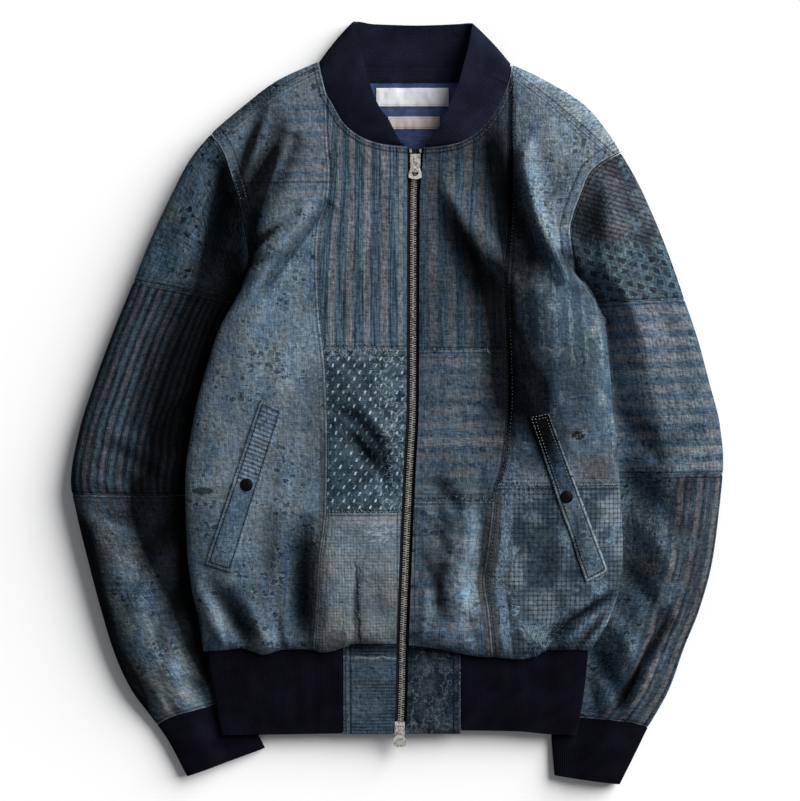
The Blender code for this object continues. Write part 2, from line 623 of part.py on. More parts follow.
def shoulder(side, tip_y, neck_y):
    """Points of a shoulder fold, from its tip to the neck."""
    return on(lambda y: read(BODY, side, y), np.linspace(tip_y, neck_y, 17))


LEFT_SHOULDER = shoulder("left", LEFT_ARMHOLE[-1][1], LEFT_NECK[-1][1])
RIGHT_SHOULDER = shoulder("right", RIGHT_ARMHOLE[-1][1], RIGHT_NECK[-1][1])[::-1]
SIDE_U = cuts(125.0, first_rolled=True)       # across the left side panel and its yoke


def fronts(cloths):
    """Both fronts, patch by patch."""
    front_column(("front_left_check", "front_left_kasuri", "front_left_stripe"),
                 (cloths["check"], cloths["kasuri"], cloths["stripe"]),
                 LEFT_NECK, LEFT_SEAM, LEFT_ROWS, -1, LEFT_PATCHES)
    front_column(("front_right_creased", "front_right_worn", "front_right_stripe"),
                 (cloths["worn"], cloths["worn"], cloths["dark_stripe"]),
                 RIGHT_NECK, RIGHT_SEAM, RIGHT_ROWS, 1, RIGHT_PATCHES)

    low, high, fold = LEFT_ROWS[0], LEFT_SEAM[0][1], LEFT_FORWARD_SEAM
    steps = ring_fractions(SLEEVE_OVER)[YOKE_STEP:-1][::-1]
    outer = np.concatenate([on(lambda y: read(BODY, "left", y), LEFT_SIDE_ROWS),
                            drawn_in(LEFT_ARMHOLE, steps, -1)])
    neck_points = np.array([LEFT_NECK[6], fold[-1]])
    seam = np.concatenate([on(seam_of(LEFT_SEAM), LEFT_ROWS[:-1]), neck_points])
    v = reach(seam)
    outer[-1] = draw_back(outer[-2], outer[-1])
    seam[-1] = draw_back(seam[-2], seam[-1])
    plan = patch(crossing(hem_line, outer[0][0], seam[0][0]), lambda t: along(fold, t),
                 outer, seam, SIDE_U, v)
    sheet("front_left_side", plan, front_top, CLOTH, cloths["mottled"])

    low, fold = RIGHT_ROWS[0], RIGHT_FORWARD_SEAM
    heights = between(RIGHT_ROWS, low, SIDE_PATCH_Y, rolled=True)
    outer_heights = between(RIGHT_SIDE_ROWS, RIGHT_SIDE_ROWS[0], SIDE_PATCH_Y, rolled=True)
    near = on(seam_of(RIGHT_SEAM), heights)
    far = on(lambda y: read(BODY, "right", y), outer_heights)
    middle = straight((float(seam_of(RIGHT_SEAM)(SIDE_PATCH_Y)), SIDE_PATCH_Y),
                      (float(read(BODY, "right", SIDE_PATCH_Y)), SIDE_PATCH_Y))
    v = (heights - low) / (SIDE_PATCH_Y - low)
    u = 1 - SIDE_U[::-1]
    plan = patch(crossing(hem_line, near[0][0], far[0][0]), middle, near, far, u, v)
    sheet("front_right_gingham", plan, front_top, CLOTH, cloths["gingham"])

    near = on(seam_of(RIGHT_SEAM), RIGHT_ROWS[RIGHT_ROWS > SIDE_PATCH_Y - 0.5])
    far = np.concatenate([on(lambda y: read(BODY, "right", y),
                             RIGHT_SIDE_ROWS[RIGHT_SIDE_ROWS > SIDE_PATCH_Y - 0.5]),
                          drawn_in(RIGHT_ARMHOLE, steps, 1)])
    v = reach(near)
    v[0] = SEAM / 400.0
    for edge in (near, far):
        edge[0][1] += SEAM
        edge[-1] = draw_back(edge[-2], edge[-1])
    plan = patch(middle, lambda t: along(fold, t), near, far, u, v)
    sheet("front_right_side", plan, front_top, CLOTH, cloths["mottled"])


def reach(points):
    """Fractions of the length of a run of points, the last drawn back for its seam."""
    steps = np.linalg.norm(np.diff(points, axis=0), axis=1)
    fractions = np.concatenate([[0.0], np.cumsum(steps)]) / steps.sum()
    fractions[-1] = 1 - SEAM / steps.sum()
    return fractions


def draw_back(before, last):
    """The last point of a run drawn back for its seam."""
    run = np.subtract(last, before)
    return last - run / np.linalg.norm(run) * SEAM


def yokes(finish):
    """The strips of the back that come forward over the shoulders."""
    v = np.array([0.02, 0.4375, 0.75, 0.9375, 1.0])
    for name, seam, fold, u in (
            ("yoke_left", LEFT_FORWARD_SEAM, LEFT_SHOULDER, SIDE_U),
            ("yoke_right", RIGHT_FORWARD_SEAM, RIGHT_SHOULDER, 1 - SIDE_U[::-1])):
        u = u.copy()
        u[0], u[-1] = max(u[0], SEAM / 130.0), min(u[-1], 1 - SEAM / 130.0)
        ends = [along(line, np.array([0.0, 1.0])) for line in (seam, fold)]
        near, far = straight(ends[0][0], ends[1][0]), straight(ends[0][1], ends[1][1])
        plan = patch(lambda t: along(seam, t), lambda t: along(fold, t), near(v), far(v), u, v)
        sheet(name, plan, front_top, CLOTH, finish)


def back_panel(finish):
    """The whole back, from the waistband to the shoulders and the back of the neck."""
    top = np.concatenate([LEFT_SHOULDER[:-1], BACK_NECK, RIGHT_SHOULDER[1:]])
    steps = ring_fractions(SLEEVE_UNDER)[:-1][::-1]
    sides = []
    for side, rows, hole, sign in (("left", LEFT_SIDE_ROWS, LEFT_ARMHOLE, -1),
                                   ("right", RIGHT_SIDE_ROWS, RIGHT_ARMHOLE, 1)):
        heights = np.concatenate([[HEM_BACK_Y + SEAM], rows[3:]])
        seam = on(lambda y: read(BODY, side, y), heights)
        sides.append(np.concatenate([seam, drawn_in(hole, steps, sign)]))
    u = cuts(400.0, first_rolled=True, last_rolled=True, cell=41.0)
    v = reach(sides[0])
    v[-1] = 1.0
    plan = patch(straight(sides[0][0], sides[1][0]), lambda t: along(top, t), *sides, u, v)
    height = lambda x, y: underside(BODY, x, y)
    return sheet("back_panel", plan, height, CLOTH, finish, down=True)


# ------------------------------------------------------------------ sleeves and cuffs


def tube(name, surface, rows, thickness, finish):
    """A flattened tube of surface(turn, v), where turn runs over the top and back under."""
    over = np.pi * np.arange(SLEEVE_OVER) / SLEEVE_OVER
    under = np.pi * (1 + np.arange(SLEEVE_UNDER) / SLEEVE_UNDER)
    turn, v = np.meshgrid(np.concatenate([over, under]), rows)
    step = 0.004
    du = surface(turn + step, v) - surface(turn - step, v)
    dv = surface(turn, v + step) - surface(turn, v - step)
    points = surface(turn, v)
    out = unit(np.cross(du, dv))
    if (out * (points - points.mean(axis=1, keepdims=True))).sum() < 0:
        out = -out
    return wall(name, points, out, thickness, finish, closed=True)


def tube_surface(table, plan_of):
    """The surface of a sleeve or cuff: its plan, with the heights of its top and underside."""
    def surface(turn, v):
        v = np.clip(v, 0.0, 1.0)
        u = (1 - np.cos(turn)) / 2
        above = np.sin(turn) >= 0
        plan = plan_of(u, v)
        width = np.linalg.norm(plan_of(np.ones_like(u), v) - plan_of(np.zeros_like(u), v),
                               axis=-1)
        top, bottom = sleeve_height(table, u, v, width)
        return plan, np.where(above, top, bottom), above, u, v
    return surface


def sleeve_surface(table, hole, seam):
    """A sleeve's surface, which takes the heights of the body's own at the armhole."""
    base = tube_surface(table, lambda u, v: sleeve_plan(table, hole, seam, u, v))
    def surface(turn, v):
        plan, height, above, u, v = base(turn, v)
        at_hole = along(hole, u)
        x, y = at_hole[..., 0], at_hole[..., 1]
        body = np.where(above, front_top(x, y), underside(BODY, x, y))
        height = height + (body - height) * ease(1 - v / 0.25)
        return lifted(plan, np.maximum(height, 0.0))
    return surface


def cuff_surface(table, seam):
    """A cuff's surface, bowed at its seam like the sleeve's end."""
    def plan_of(u, v):
        outer = np.stack([read(table, "ox", v), read(table, "oy", v)], axis=-1)
        inner = np.stack([read(table, "ix", v), read(table, "iy", v)], axis=-1)
        ends = along(seam, np.array([0.0, 1.0]))
        bow = along(seam, u) - ends[0] - (ends[1] - ends[0]) * u[..., None]
        return outer + (inner - outer) * u[..., None] + bow * (1 - v)[..., None]
    base = tube_surface(table, plan_of)
    def surface(turn, v):
        plan, height, *_ = base(turn, v)
        return lifted(plan, height)
    return surface


def sleeves(cloths, knit):
    """Both sleeves, patch by patch, and both cuffs."""
    step = 0.0005
    levels = (0.0015, *SLEEVE_PATCHES, 1.0)
    for side, table, hole, seam, end in (
            ("left", SLEEVE_LEFT, LEFT_ARMHOLE[::-1], LEFT_CUFF_SEAM, CUFF_LEFT),
            ("right", SLEEVE_RIGHT, RIGHT_ARMHOLE[::-1], RIGHT_CUFF_SEAM, CUFF_RIGHT)):
        surface = sleeve_surface(table, hole, seam)
        marks = np.array([row[0] for row in table["rows"]])
        for k, part in enumerate(("upper", "middle", "lower")):
            low, high = levels[k] + (step if k else 0.0), levels[k + 1] - step
            inner = marks[(marks > low + 0.01) & (marks < high - 0.01)]
            tube(f"sleeve_{side}_{part}", surface, [low, *inner, high], CLOTH,
                 cloths[f"{side}_{part}"])
        tube(f"cuff_{side}", cuff_surface(end, seam), (0.004, 0.3, 0.65, 1.0), KNIT, knit)


# ------------------------------------------------------------------------ waistband


def hem_rib(finish):
    """The waistband, from the left tab round the back to the right tab."""
    v = np.linspace(0.0, 1.0, 5)[:, None]
    side = cuts(133.0, last_rolled=True)
    below = cuts(370.0, first_rolled=True, last_rolled=True, cell=30.0)[1:-1]
    low = HEM_BACK_Y - 3 * SEAM

    def front_part(tab_x, side_name, sign):
        hem_x = tab_x + (float(read(BAND, side_name, -333.0)) - tab_x) * side
        bottom, top = up(BAND_HEM, hem_x), tuck_line(side, 133.0, low, sign)
        y = bottom[None] + (top - bottom)[None] * v
        x = tab_x + sign * SEAM + (read(BAND, side_name, y) - tab_x - sign * SEAM) * side[None]
        return np.stack([x, y], axis=-1)

    hem_x = -176.0 + 356.0 * below
    y = up(BAND_HEM, hem_x)[None] + (low - up(BAND_HEM, hem_x))[None] * v
    left, right = read(BAND, "left", y), read(BAND, "right", y)
    back = np.stack([left + (right - left) * below[None], y], axis=-1)
    parts = []
    for plan, height, sign in ((front_part(TAB_LEFT_X, "left", -1), band_top, 1),
                               (back, lambda x, y: underside(BAND, x, y), -1),
                               (front_part(TAB_RIGHT_X, "right", 1)[:, ::-1], band_top, 1)):
        x, y = plan[..., 0], plan[..., 1]
        parts.append((lifted(plan, height(x, y)), sign * height_normals(height, x, y)))
    points, out = (np.concatenate(both, axis=1) for both in zip(*parts))
    return wall("hem_rib", points, out, KNIT, finish)


def tuck_line(fractions, length, low, sign):
    """y of the waistband's upper edge: behind the front, and at the back seam at its side."""
    inward = (1 - fractions) * length
    x = (TAB_LEFT_X if sign < 0 else TAB_RIGHT_X) + sign * fractions * length
    return low + (hem_line(x) + BAND_TUCK - low) * ease(inward / 14.0)


def tab_top(x, y):
    """Outer surface of the waistband's cloth ends, held down by the zip."""
    held = np.exp(-((x - read(ZIP, "x", y)) / ZIP_PULL_IN) ** 2)
    level = band_top(x, y)
    return level + (zip_level(y) - level) * held


def hem_tabs(finishes):
    """The two cloth ends of the waistband."""
    left = lambda y: np.full(np.shape(y), TAB_LEFT_X + SEAM)
    right = lambda y: np.full(np.shape(y), TAB_RIGHT_X - SEAM)
    for name, finish, near, far in (("hem_tab_left", finishes[0], left, zip_edge(-1)),
                                    ("hem_tab_right", finishes[1], zip_edge(1), right)):
        ends = [float(side(np.array(-242.0))) for side in (near, far)]
        tops = [float(hem_line(x)) - 2 * SEAM for x in ends]
        v = np.linspace(0.0, 1.0, 5)
        sides = [on(side, TAB_BOTTOM_Y + (high - TAB_BOTTOM_Y) * v)
                 for side, high in zip((near, far), tops)]
        plan = patch(straight(sides[0][0], sides[1][0]),
                     crossing(lambda x: hem_line(x) - 2 * SEAM, *ends),
                     *sides, np.linspace(0.0, 1.0, 4), v)
        sheet(name, plan, tab_top, CLOTH, finish)


# ------------------------------------------------------------------- neck and lining


def collar(finish):
    """The ribbed stand collar, folded over at the two sides of the neck."""
    neckline = LEFT_NECK + BACK_NECK[1:-1] + RIGHT_NECK[::-1]
    length = np.hypot(*np.diff(np.array(neckline), axis=0).T).sum()
    rows = np.array(COLLAR["rows"])
    count = len(rows)
    station = np.linspace(0, count - 1, 2 * count - 1)
    arc = smooth_read(np.arange(count), rows[:, 0], station)
    at = along(neckline, arc / length)
    on_front = (arc < 140.0) | (arc > 330.0)
    seam_z = np.where(on_front, front_top(at[:, 0], at[:, 1]), 0.0)
    free = np.stack([smooth_read(np.arange(count), rows[:, k], station) for k in (1, 2, 3)],
                    axis=-1)
    seam = lifted(at + unit(free[:, :2] - at) * COLLAR_GAP, seam_z)
    v = np.linspace(0.0, 1.0, 4)[:, None, None]
    points = seam[None] * (1 - v) + free[None] * v
    return wall("collar", points, -grid_normals(points), KNIT, finish)


def lining_height(x, y):
    """Upper face of the lining inside the neck."""
    slope = ease((330.0 - y) / 130.0)
    return 3.4 + 9.0 * slope * dome(np.clip(np.abs(x - 17.0) / 95.0, 0, 1), 2.0)


def lining_plan(left, right, low, high, cell=CELL):
    """Plan points between two x and two y."""
    one, two = cuts(right - left, cell=cell), cuts(high - low, cell=cell)
    return np.stack(np.meshgrid(left + (right - left) * one, low + (high - low) * two), -1)


def inside_neck(lining, knit, white, cream):
    """The lining that shows, the neck tape over its seam and the two blank labels."""
    sheet("lining", lining_plan(-52.0, 88.0, 214.0, 332.5, 20.0), lining_height, 1.0, lining)
    sheet("neck_tape", lining_plan(-50.0, 86.0, 324.0, 332.3), lining_height, 1.0, knit, 1.3)
    sheet("label_main", lining_plan(-21.0, 52.0, 297.5, 316.5), lining_height, 1.0, white, 1.3)
    sheet("label_small", lining_plan(-9.0, 43.0, 274.5, 287.5), lining_height, 1.0, cream, 1.3)


# -------------------------------------------------------------------------- pockets

WELT_THICKNESS = 2.0
WELTS = dict(columns=("name", "top left", "top right", "bottom right", "bottom left", "snap"),
             rows=(
    ("left", (-135.0, 2.5), (-113.0, -7.5), (-164.0, -168.5), (-190.0, -160.5), (-149.0, -81.5)),
    ("right", (131.0, -13.5), (151.0, -9.5), (210.0, -167.5), (188.0, -178.5), (168.0, -93.5))))


def welts(cloth, metal):
    """The pocket welts, made from the front's own points moved out, and their snap caps."""
    for name, top_left, top_right, low_right, low_left, snap in WELTS["rows"]:
        v = np.linspace(0.0, 1.0, 8)
        plan = patch(straight(low_left, low_right), straight(top_left, top_right),
                     straight(low_left, top_left)(v), straight(low_right, top_right)(v),
                     np.linspace(0.0, 1.0, 4), v)
        sheet(f"welt_{name}", plan, front_top, WELT_THICKNESS, cloth, WELT_THICKNESS + 0.4)
        snap_cap(f"snap_{name}", snap, metal)


def snap_cap(name, centre, metal):
    """A domed snap cap seated on its welt."""
    x, y = (np.array(value) for value in centre)
    out = Vector(height_normals(front_top, x, y, step=4.0))
    base = Vector((x, y, front_top(x, y))) + out * (WELT_THICKNESS + 0.4 + 0.45)
    profile = ((0.0, 2.4), (2.6, 2.25), (4.8, 1.6), (6.2, 0.7), (6.5, 0.0))
    turned = profile_solid(profile, 24)
    turned.transform(Matrix.Translation(base * MM) @ out.to_track_quat("Z", "Y")
                     .to_matrix().to_4x4())
    return place(name, turned, metal)


def profile_solid(profile, sides):
    """A solid turned round Z from (radius, height) pairs that start and end on its foot."""
    mesh = bmesh.new()
    rings = []
    for radius, height in profile[1:]:
        rings.append([mesh.verts.new((radius * math.cos(a) * MM, radius * math.sin(a) * MM,
                                      height * MM))
                      for a in np.linspace(0, 2 * math.pi, sides, endpoint=False)])
    tip = mesh.verts.new((0, 0, profile[0][1] * MM))
    for k in range(sides):
        n = (k + 1) % sides
        mesh.faces.new((tip, rings[0][k], rings[0][n]))
        for inner, outer in zip(rings, rings[1:]):
            mesh.faces.new((inner[k], outer[k], outer[n], inner[n]))
    mesh.faces.new(rings[-1][::-1])
    bmesh.ops.recalc_face_normals(mesh, faces=mesh.faces)
    data = bpy.data.meshes.new("turned")
    mesh.to_mesh(data)
    mesh.free()
    return data


# ------------------------------------------------------------------------------ zip

TAPE = 1.0
TAPE_BELOW = CLOTH + 0.75         # top face of the tape under the cloth's face
CHAIN_HALF = 3.85
CHAIN_THICKNESS = 2.6
TAPE_WIDTH = 12.0
SLIDER_TOP_Y = 241.0
SLIDER_BOTTOM_Y = -326.0
SLIDER_LENGTH = 13.0
STOP_Y = 250.5


def zip_strip(name, finish, left, right, low, high, depth, thickness):
    """A flat strip along the zip, between two distances from its centre line."""
    steep = np.linspace(-244.0, -200.0, 7)
    y = np.concatenate([np.linspace(low, -244.0, 5)[:-1], steep,
                        np.linspace(-200.0, high, 18)[1:]])
    x = read(ZIP, "x", y)[:, None] + np.array([left, right])[None]
    level = zip_level(y)[:, None] - depth + np.zeros((1, 2))
    points = np.stack([x, np.repeat(y[:, None], 2, axis=1), level], axis=-1)
    out = height_normals(lambda x, y: zip_level(y), points[..., 0], points[..., 1])
    return wall(name, points, out, thickness, finish)


def zip_line(tape, teeth):
    """The tapes, the closed chain and its two top stops."""
    inner = CHAIN_HALF + 0.35
    zip_strip("zip_tape_left", tape, -inner - TAPE_WIDTH, -inner, -331.0, 253.0,
              TAPE_BELOW, TAPE)
    zip_strip("zip_tape_right", tape, inner, inner + TAPE_WIDTH, -331.0, 253.0,
              TAPE_BELOW, TAPE)
    depth = TAPE_BELOW + TAPE / 2 - CHAIN_THICKNESS / 2
    half = SLIDER_LENGTH / 2
    zip_strip("zip_chain", teeth, -CHAIN_HALF, CHAIN_HALF, SLIDER_BOTTOM_Y - half + 4.4,
              SLIDER_TOP_Y + half - 4.4, depth, CHAIN_THICKNESS)
    for side, sign in (("left", -1), ("right", 1)):
        x = float(read(ZIP, "x", STOP_Y)) + sign * 4.9
        z = float(zip_level(STOP_Y)) - TAPE_BELOW
        stop = block((x, STOP_Y, z + 1.45), (2.6, 4.2, 2.2), 0.5)
        place(f"zip_stop_{side}", stop, teeth)


def block(centre, size, bevel=0.0):
    """A rounded block."""
    mesh = bmesh.new()
    bmesh.ops.create_cube(mesh, size=1.0)
    bmesh.ops.scale(mesh, vec=Vector(size) * MM, verts=mesh.verts)
    if bevel:
        bmesh.ops.bevel(mesh, geom=mesh.edges[:], offset=bevel * MM, segments=1,
                        affect="EDGES")
    bmesh.ops.translate(mesh, vec=Vector(centre) * MM, verts=mesh.verts)
    data = bpy.data.meshes.new("block")
    mesh.to_mesh(data)
    mesh.free()
    return data


def union(name, meshes, finish):
    """One body out of several overlapping shapes."""
    base = place(name, meshes[0], finish)
    for mesh in meshes[1:]:
        tool = place(name + "_tool", mesh, finish)
        join = base.modifiers.new("join", "BOOLEAN")
        join.operation = "UNION"
        join.object = tool
        bpy.context.view_layer.update()
        joined = bpy.data.meshes.new_from_object(
            base.evaluated_get(bpy.context.evaluated_depsgraph_get()))
        base.modifiers.clear()
        base.data = joined
        bpy.data.objects.remove(tool)
    base.data.name = name
    return base


PULL_LENGTH = 19.5
PULL_PLATE = 1.3
AXIS_ABOVE_PLATE = 1.30        # the bar of the pull over the top plate of the slider
BAIL_GAP = 1.20                # from the hinge axis to the inside of the bail
BAIL = 1.1


def slider(name, metal, y, mouth):
    """A zip slider; mouth is -1 when the chain enters from below, +1 from above.

    Its two plates hold the chain between them and are joined by a post at the other end.  A
    bail on the upper plate holds the pull.
    """
    x = float(read(ZIP, "x", y))
    level = float(zip_level(y))
    middle = level - TAPE_BELOW - TAPE / 2
    gap = CHAIN_THICKNESS / 2 + 0.6
    half = SLIDER_LENGTH / 2
    plate = 1.3
    upper = block((x, y, middle + gap + plate / 2), (10.4, SLIDER_LENGTH, plate), 0.4)
    lower = block((x, y, middle - gap - plate / 2), (9.6, SLIDER_LENGTH, plate), 0.4)
    post = block((x, y - mouth * (half - 1.6), middle), (2.2, 2.4, 2 * gap + plate), 0.0)
    axis_y, axis_z = hinge_point(y, middle + gap + plate)
    reach = BAIL_GAP + BAIL
    legs = [block((x, axis_y + side * (BAIL_GAP + BAIL / 2), axis_z - 0.1),
                  (1.9, BAIL, 2 * BAIL_GAP + 0.9), 0.0) for side in (-1, 1)]
    bridge = block((x, axis_y, axis_z + BAIL_GAP + BAIL / 2), (1.9, 2 * reach, BAIL), 0.3)
    union(name, [upper, post, lower, *legs, bridge], metal)
    return Vector((x, axis_y, axis_z))


def hinge_point(y, plate_top):
    """y and z of a pull's hinge axis over a slider."""
    return y + 0.5, plate_top + AXIS_ABOVE_PLATE


def pull(name, metal, axis, droop):
    """A pull tab lying back over its slider, with a slot for the bail and a D-shaped hole.

    Its outline runs from the hinge towards -Y; droop is how far its end hangs down.
    """
    bar = 0.75
    half_width = lambda t: 3.6 + 2.9 * ease((t - 4.0) / 11.0)
    stations = (-0.75, 0.75, 6.4, 8.6, 11.6, 13.2, 15.6, 17.6, PULL_LENGTH)
    outline = [(-half_width(t), -t) for t in stations[:-1]]
    tip = stations[-1]
    outline += [(-5.4, -tip + 1.2), (-2.6, -tip + 0.1), (2.6, -tip + 0.1), (5.4, -tip + 1.2)]
    outline += [(half_width(t), -t) for t in stations[-2::-1]]
    body = prism(outline, PULL_PLATE)
    base = place(name, body, metal)
    slot = [(-1.5, -bar - 0.1), (1.5, -bar - 0.1), (1.5, -6.6), (-1.5, -6.6)]
    hole = [(-3.4, -12.4), (3.4, -12.4), (3.0, -14.6), (1.6, -16.4), (-1.6, -16.4),
            (-3.0, -14.6)]
    for k, cut in enumerate((slot, hole)):
        tool = place(f"{name}_cut_{k}", prism(cut, 3 * PULL_PLATE), metal)
        carve = base.modifiers.new("cut", "BOOLEAN")
        carve.operation = "DIFFERENCE"
        carve.object = tool
        bpy.context.view_layer.update()
        carved = bpy.data.meshes.new_from_object(
            base.evaluated_get(bpy.context.evaluated_depsgraph_get()))
        base.modifiers.clear()
        base.data = carved
        bpy.data.objects.remove(tool)
    base.data.transform(Matrix.Rotation(math.radians(droop), 4, "X"))
    base.data.name = name
    base.location = axis * MM
    return base


def prism(outline, thickness):
    """A flat plate of an outline in XY, centred on z = 0."""
    mesh = bmesh.new()
    low = [mesh.verts.new((x * MM, y * MM, -thickness / 2 * MM)) for x, y in outline]
    high = [mesh.verts.new((x * MM, y * MM, thickness / 2 * MM)) for x, y in outline]
    mesh.faces.new(low[::-1])
    mesh.faces.new(high)
    count = len(outline)
    for k in range(count):
        n = (k + 1) % count
        mesh.faces.new((low[k], low[n], high[n], high[k]))
    bmesh.ops.recalc_face_normals(mesh, faces=mesh.faces)
    data = bpy.data.meshes.new("prism")
    mesh.to_mesh(data)
    mesh.free()
    return data


# ---------------------------------------------------------------------------- build


def build():
    """Makes every piece of the jacket."""
    for old in list(bpy.data.objects):
        bpy.data.objects.remove(old)
    cloths = {
        "mottled": material("mottled_denim", (0.16, 0.23, 0.31), 0.9),
        "stripe": material("striped_cloth", (0.14, 0.19, 0.25), 0.9),
        "dark_stripe": material("dark_striped_cloth", (0.08, 0.12, 0.17), 0.9),
        "kasuri": material("kasuri_cloth", (0.07, 0.13, 0.18), 0.9),
        "check": material("check_cloth", (0.22, 0.27, 0.31), 0.9),
        "gingham": material("gingham_cloth", (0.15, 0.22, 0.30), 0.9),
        "worn": material("worn_denim", (0.12, 0.19, 0.26), 0.9),
        "left_upper": material("left_upper_denim", (0.06, 0.11, 0.17), 0.9),
        "left_middle": material("left_striped_cloth", (0.07, 0.10, 0.15), 0.9),
        "left_lower": material("left_lower_denim", (0.07, 0.12, 0.17), 0.9),
        "right_upper": material("right_ribbed_cloth", (0.06, 0.09, 0.13), 0.9),
        "right_middle": material("right_banded_cloth", (0.09, 0.13, 0.19), 0.9),
        "right_lower": material("right_striped_cloth", (0.08, 0.12, 0.17), 0.9)}
    knit = material("navy_rib", (0.012, 0.016, 0.035), 0.95)
    metal = material("antique_nickel", (0.55, 0.52, 0.47), 0.35, 1.0)
    brass = material("zip_teeth", (0.32, 0.29, 0.22), 0.4, 1.0)
    black = material("black_tape", (0.01, 0.01, 0.012), 0.9)
    snap = material("dark_snap", (0.015, 0.014, 0.014), 0.4, 0.6)
    nylon = material("blue_nylon", (0.045, 0.075, 0.22), 0.45)
    white = material("white_label", (0.75, 0.75, 0.73), 0.7)
    cream = material("cream_label", (0.62, 0.58, 0.52), 0.7)

    fronts(cloths)
    yokes(cloths["mottled"])
    back_panel(cloths["worn"])
    sleeves(cloths, knit)
    hem_rib(knit)
    hem_tabs((cloths["left_middle"], cloths["worn"]))
    collar(knit)
    inside_neck(nylon, knit, white, cream)
    welts(cloths["mottled"], snap)
    zip_line(black, brass)
    top_axis = slider("slider_top", metal, SLIDER_TOP_Y, -1)
    bottom_axis = slider("slider_bottom", metal, SLIDER_BOTTOM_Y, 1)
    pull("pull_top", metal, top_axis, -3.2)
    pull("pull_bottom", metal, bottom_axis, 3.0)


build()
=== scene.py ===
"""The looks of a patched boro bomber jacket, zipped up and laid on its back on a pale floor.

Tables are in millimetres and meshes in metres.  Seen from above, +X is to the right, +Y runs up
to the collar and +Z is up from the table.  Each cloth is a thin shell over the form of its
solid, with the creases, seams, stitches and marks of worn patchwork, and with shade and
highlights painted into its colour over its folds and seams.
"""

import math

import bmesh
import bpy
import numpy as np
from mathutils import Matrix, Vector


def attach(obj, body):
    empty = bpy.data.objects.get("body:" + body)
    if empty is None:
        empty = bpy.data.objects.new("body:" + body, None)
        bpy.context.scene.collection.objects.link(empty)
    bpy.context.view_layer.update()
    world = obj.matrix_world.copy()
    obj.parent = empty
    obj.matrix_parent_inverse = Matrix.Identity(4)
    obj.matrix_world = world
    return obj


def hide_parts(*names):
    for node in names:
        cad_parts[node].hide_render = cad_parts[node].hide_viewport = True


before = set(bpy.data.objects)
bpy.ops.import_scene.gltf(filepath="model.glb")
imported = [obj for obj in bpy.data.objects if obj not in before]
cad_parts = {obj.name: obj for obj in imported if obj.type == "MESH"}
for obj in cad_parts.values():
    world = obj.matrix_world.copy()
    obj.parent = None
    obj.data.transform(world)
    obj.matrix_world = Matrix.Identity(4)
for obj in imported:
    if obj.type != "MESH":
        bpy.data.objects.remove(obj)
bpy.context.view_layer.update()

MM = 0.001
CLOTH = 1.8            # patched cloth with its backing
KNIT = 2.6             # doubled rib knit
SEAM = 0.2             # each piece stops this far short of the line of its seam
UNDER_ROLL = 14.0      # how far in from an edge the underside reaches the table
FULLNESS = 3.0         # how squarely the front fills out towards its sides
LAP_RAMP = 26.0        # the back comes down from the sleeve to the table over this width
LAP_EASE = 8.0         # and starts this far in from the sleeve's hidden edge
HEM_ROLL = 16.0        # the cloth rolls under to the waistband over this length
HEM_BACK_Y = -248.0    # seam between the back and the waistband
OUTSET = 1.5 * SEAM    # the front stands this far above its side seams, the back as far below
HEM_STEP = 5 * SEAM    # and its rolled hem this far above the waistband
HEM_MIDDLE_X = 5.0     # where the two fronts' hems meet
SLEEVE_FULLNESS = 2.4  # how squarely a sleeve fills out
SLEEVE_ROLL = 1.1      # its edges roll under over this share of their height
STRIP_RUN = 0.34       # it rises from its hidden strip over this share of its width
ARMHOLE_END = 0.25     # it takes the armhole's bow down to here, as a share of its length
CUFF_START = 0.9       # and the cuff seam's bow from here
BAND_TUCK = 5.0        # the waistband goes this far up behind the front
ZIP_PULL_IN = 22.0     # how far to the side the zip holds the front down

# ---------------------------------------------------------------------------- tables

# The front, a row for each height up the jacket: its left and right edges (above the armpits,
# where the sleeves take over), the height of its crown and of its side seams.
BODY = dict(columns=("y", "left", "right", "crown", "edge"), rows=(
    (-262, -192, 190, 31, 16),
    (-249.5, -194, 194, 33, 16),
    (-218, -198.5, 212, 37, 17),
    (-184, -206, 222.5, 40, 17),
    (-148, -210, 226, 42, 17),
    (-82, -212, 223, 43, 17),
    (-8, -202, 216.5, 44, 17),
    (34, -191, 213, 44, 16),
    (76, -177, 209, 43, 15),
    (101, -163, 199, 42, 13.5),
    (115, -156, 191, 41, 12.5),
    (130.5, -151, 180, 41, 11),
    (140, -147, 191, 40, 10),
    (152, -159, 209, 40, 11),
    (167, -185, 235, 39, 12),
    (182, -212, 256, 38, 13),
    (202, -229, 249, 38, 13),
    (226, -217, 238.5, 37, 13),
    (250.5, -204, 224, 36, 13),
    (269.5, -186, 212, 34, 13),
    (297, -154, 189, 31, 13),
    (322, -121, 150, 28, 12),
    (338.5, -86, 115, 26.5, 12),
    (341.5, -78.5, 107, 26, 12)))

# The zip: its centre, half the gap between the two fronts, and the height of the cloth there.
ZIP = dict(columns=("y", "x", "gap", "level"), rows=(
    (-345, 2, 6, 15.5),
    (-333, 2.2, 6, 16),
    (-311, 4, 6, 17),
    (-241.5, 5.6, 6, 19.5),
    (-227, 6, 6, 25.5),
    (-200, 7, 6, 32),
    (-158, 8.6, 6, 37),
    (-66, 12.5, 6, 41),
    (-5, 15.5, 6, 42),
    (102, 16, 6, 39),
    (202, 16.4, 6, 35),
    (238, 18, 7, 33),
    (260, 18.6, 8.5, 32)))

# The waistband, in the same way as the body.
BAND = dict(columns=("y", "left", "right", "crown", "edge"), rows=(
    (-345, -174, 178, 15.5, 12.5),
    (-333, -176, 180, 16, 12.5),
    (-295, -183, 187, 18, 13),
    (-249.5, -190, 191.5, 19.5, 13.5),
    (-230, -191, 192.5, 20, 13.5)))

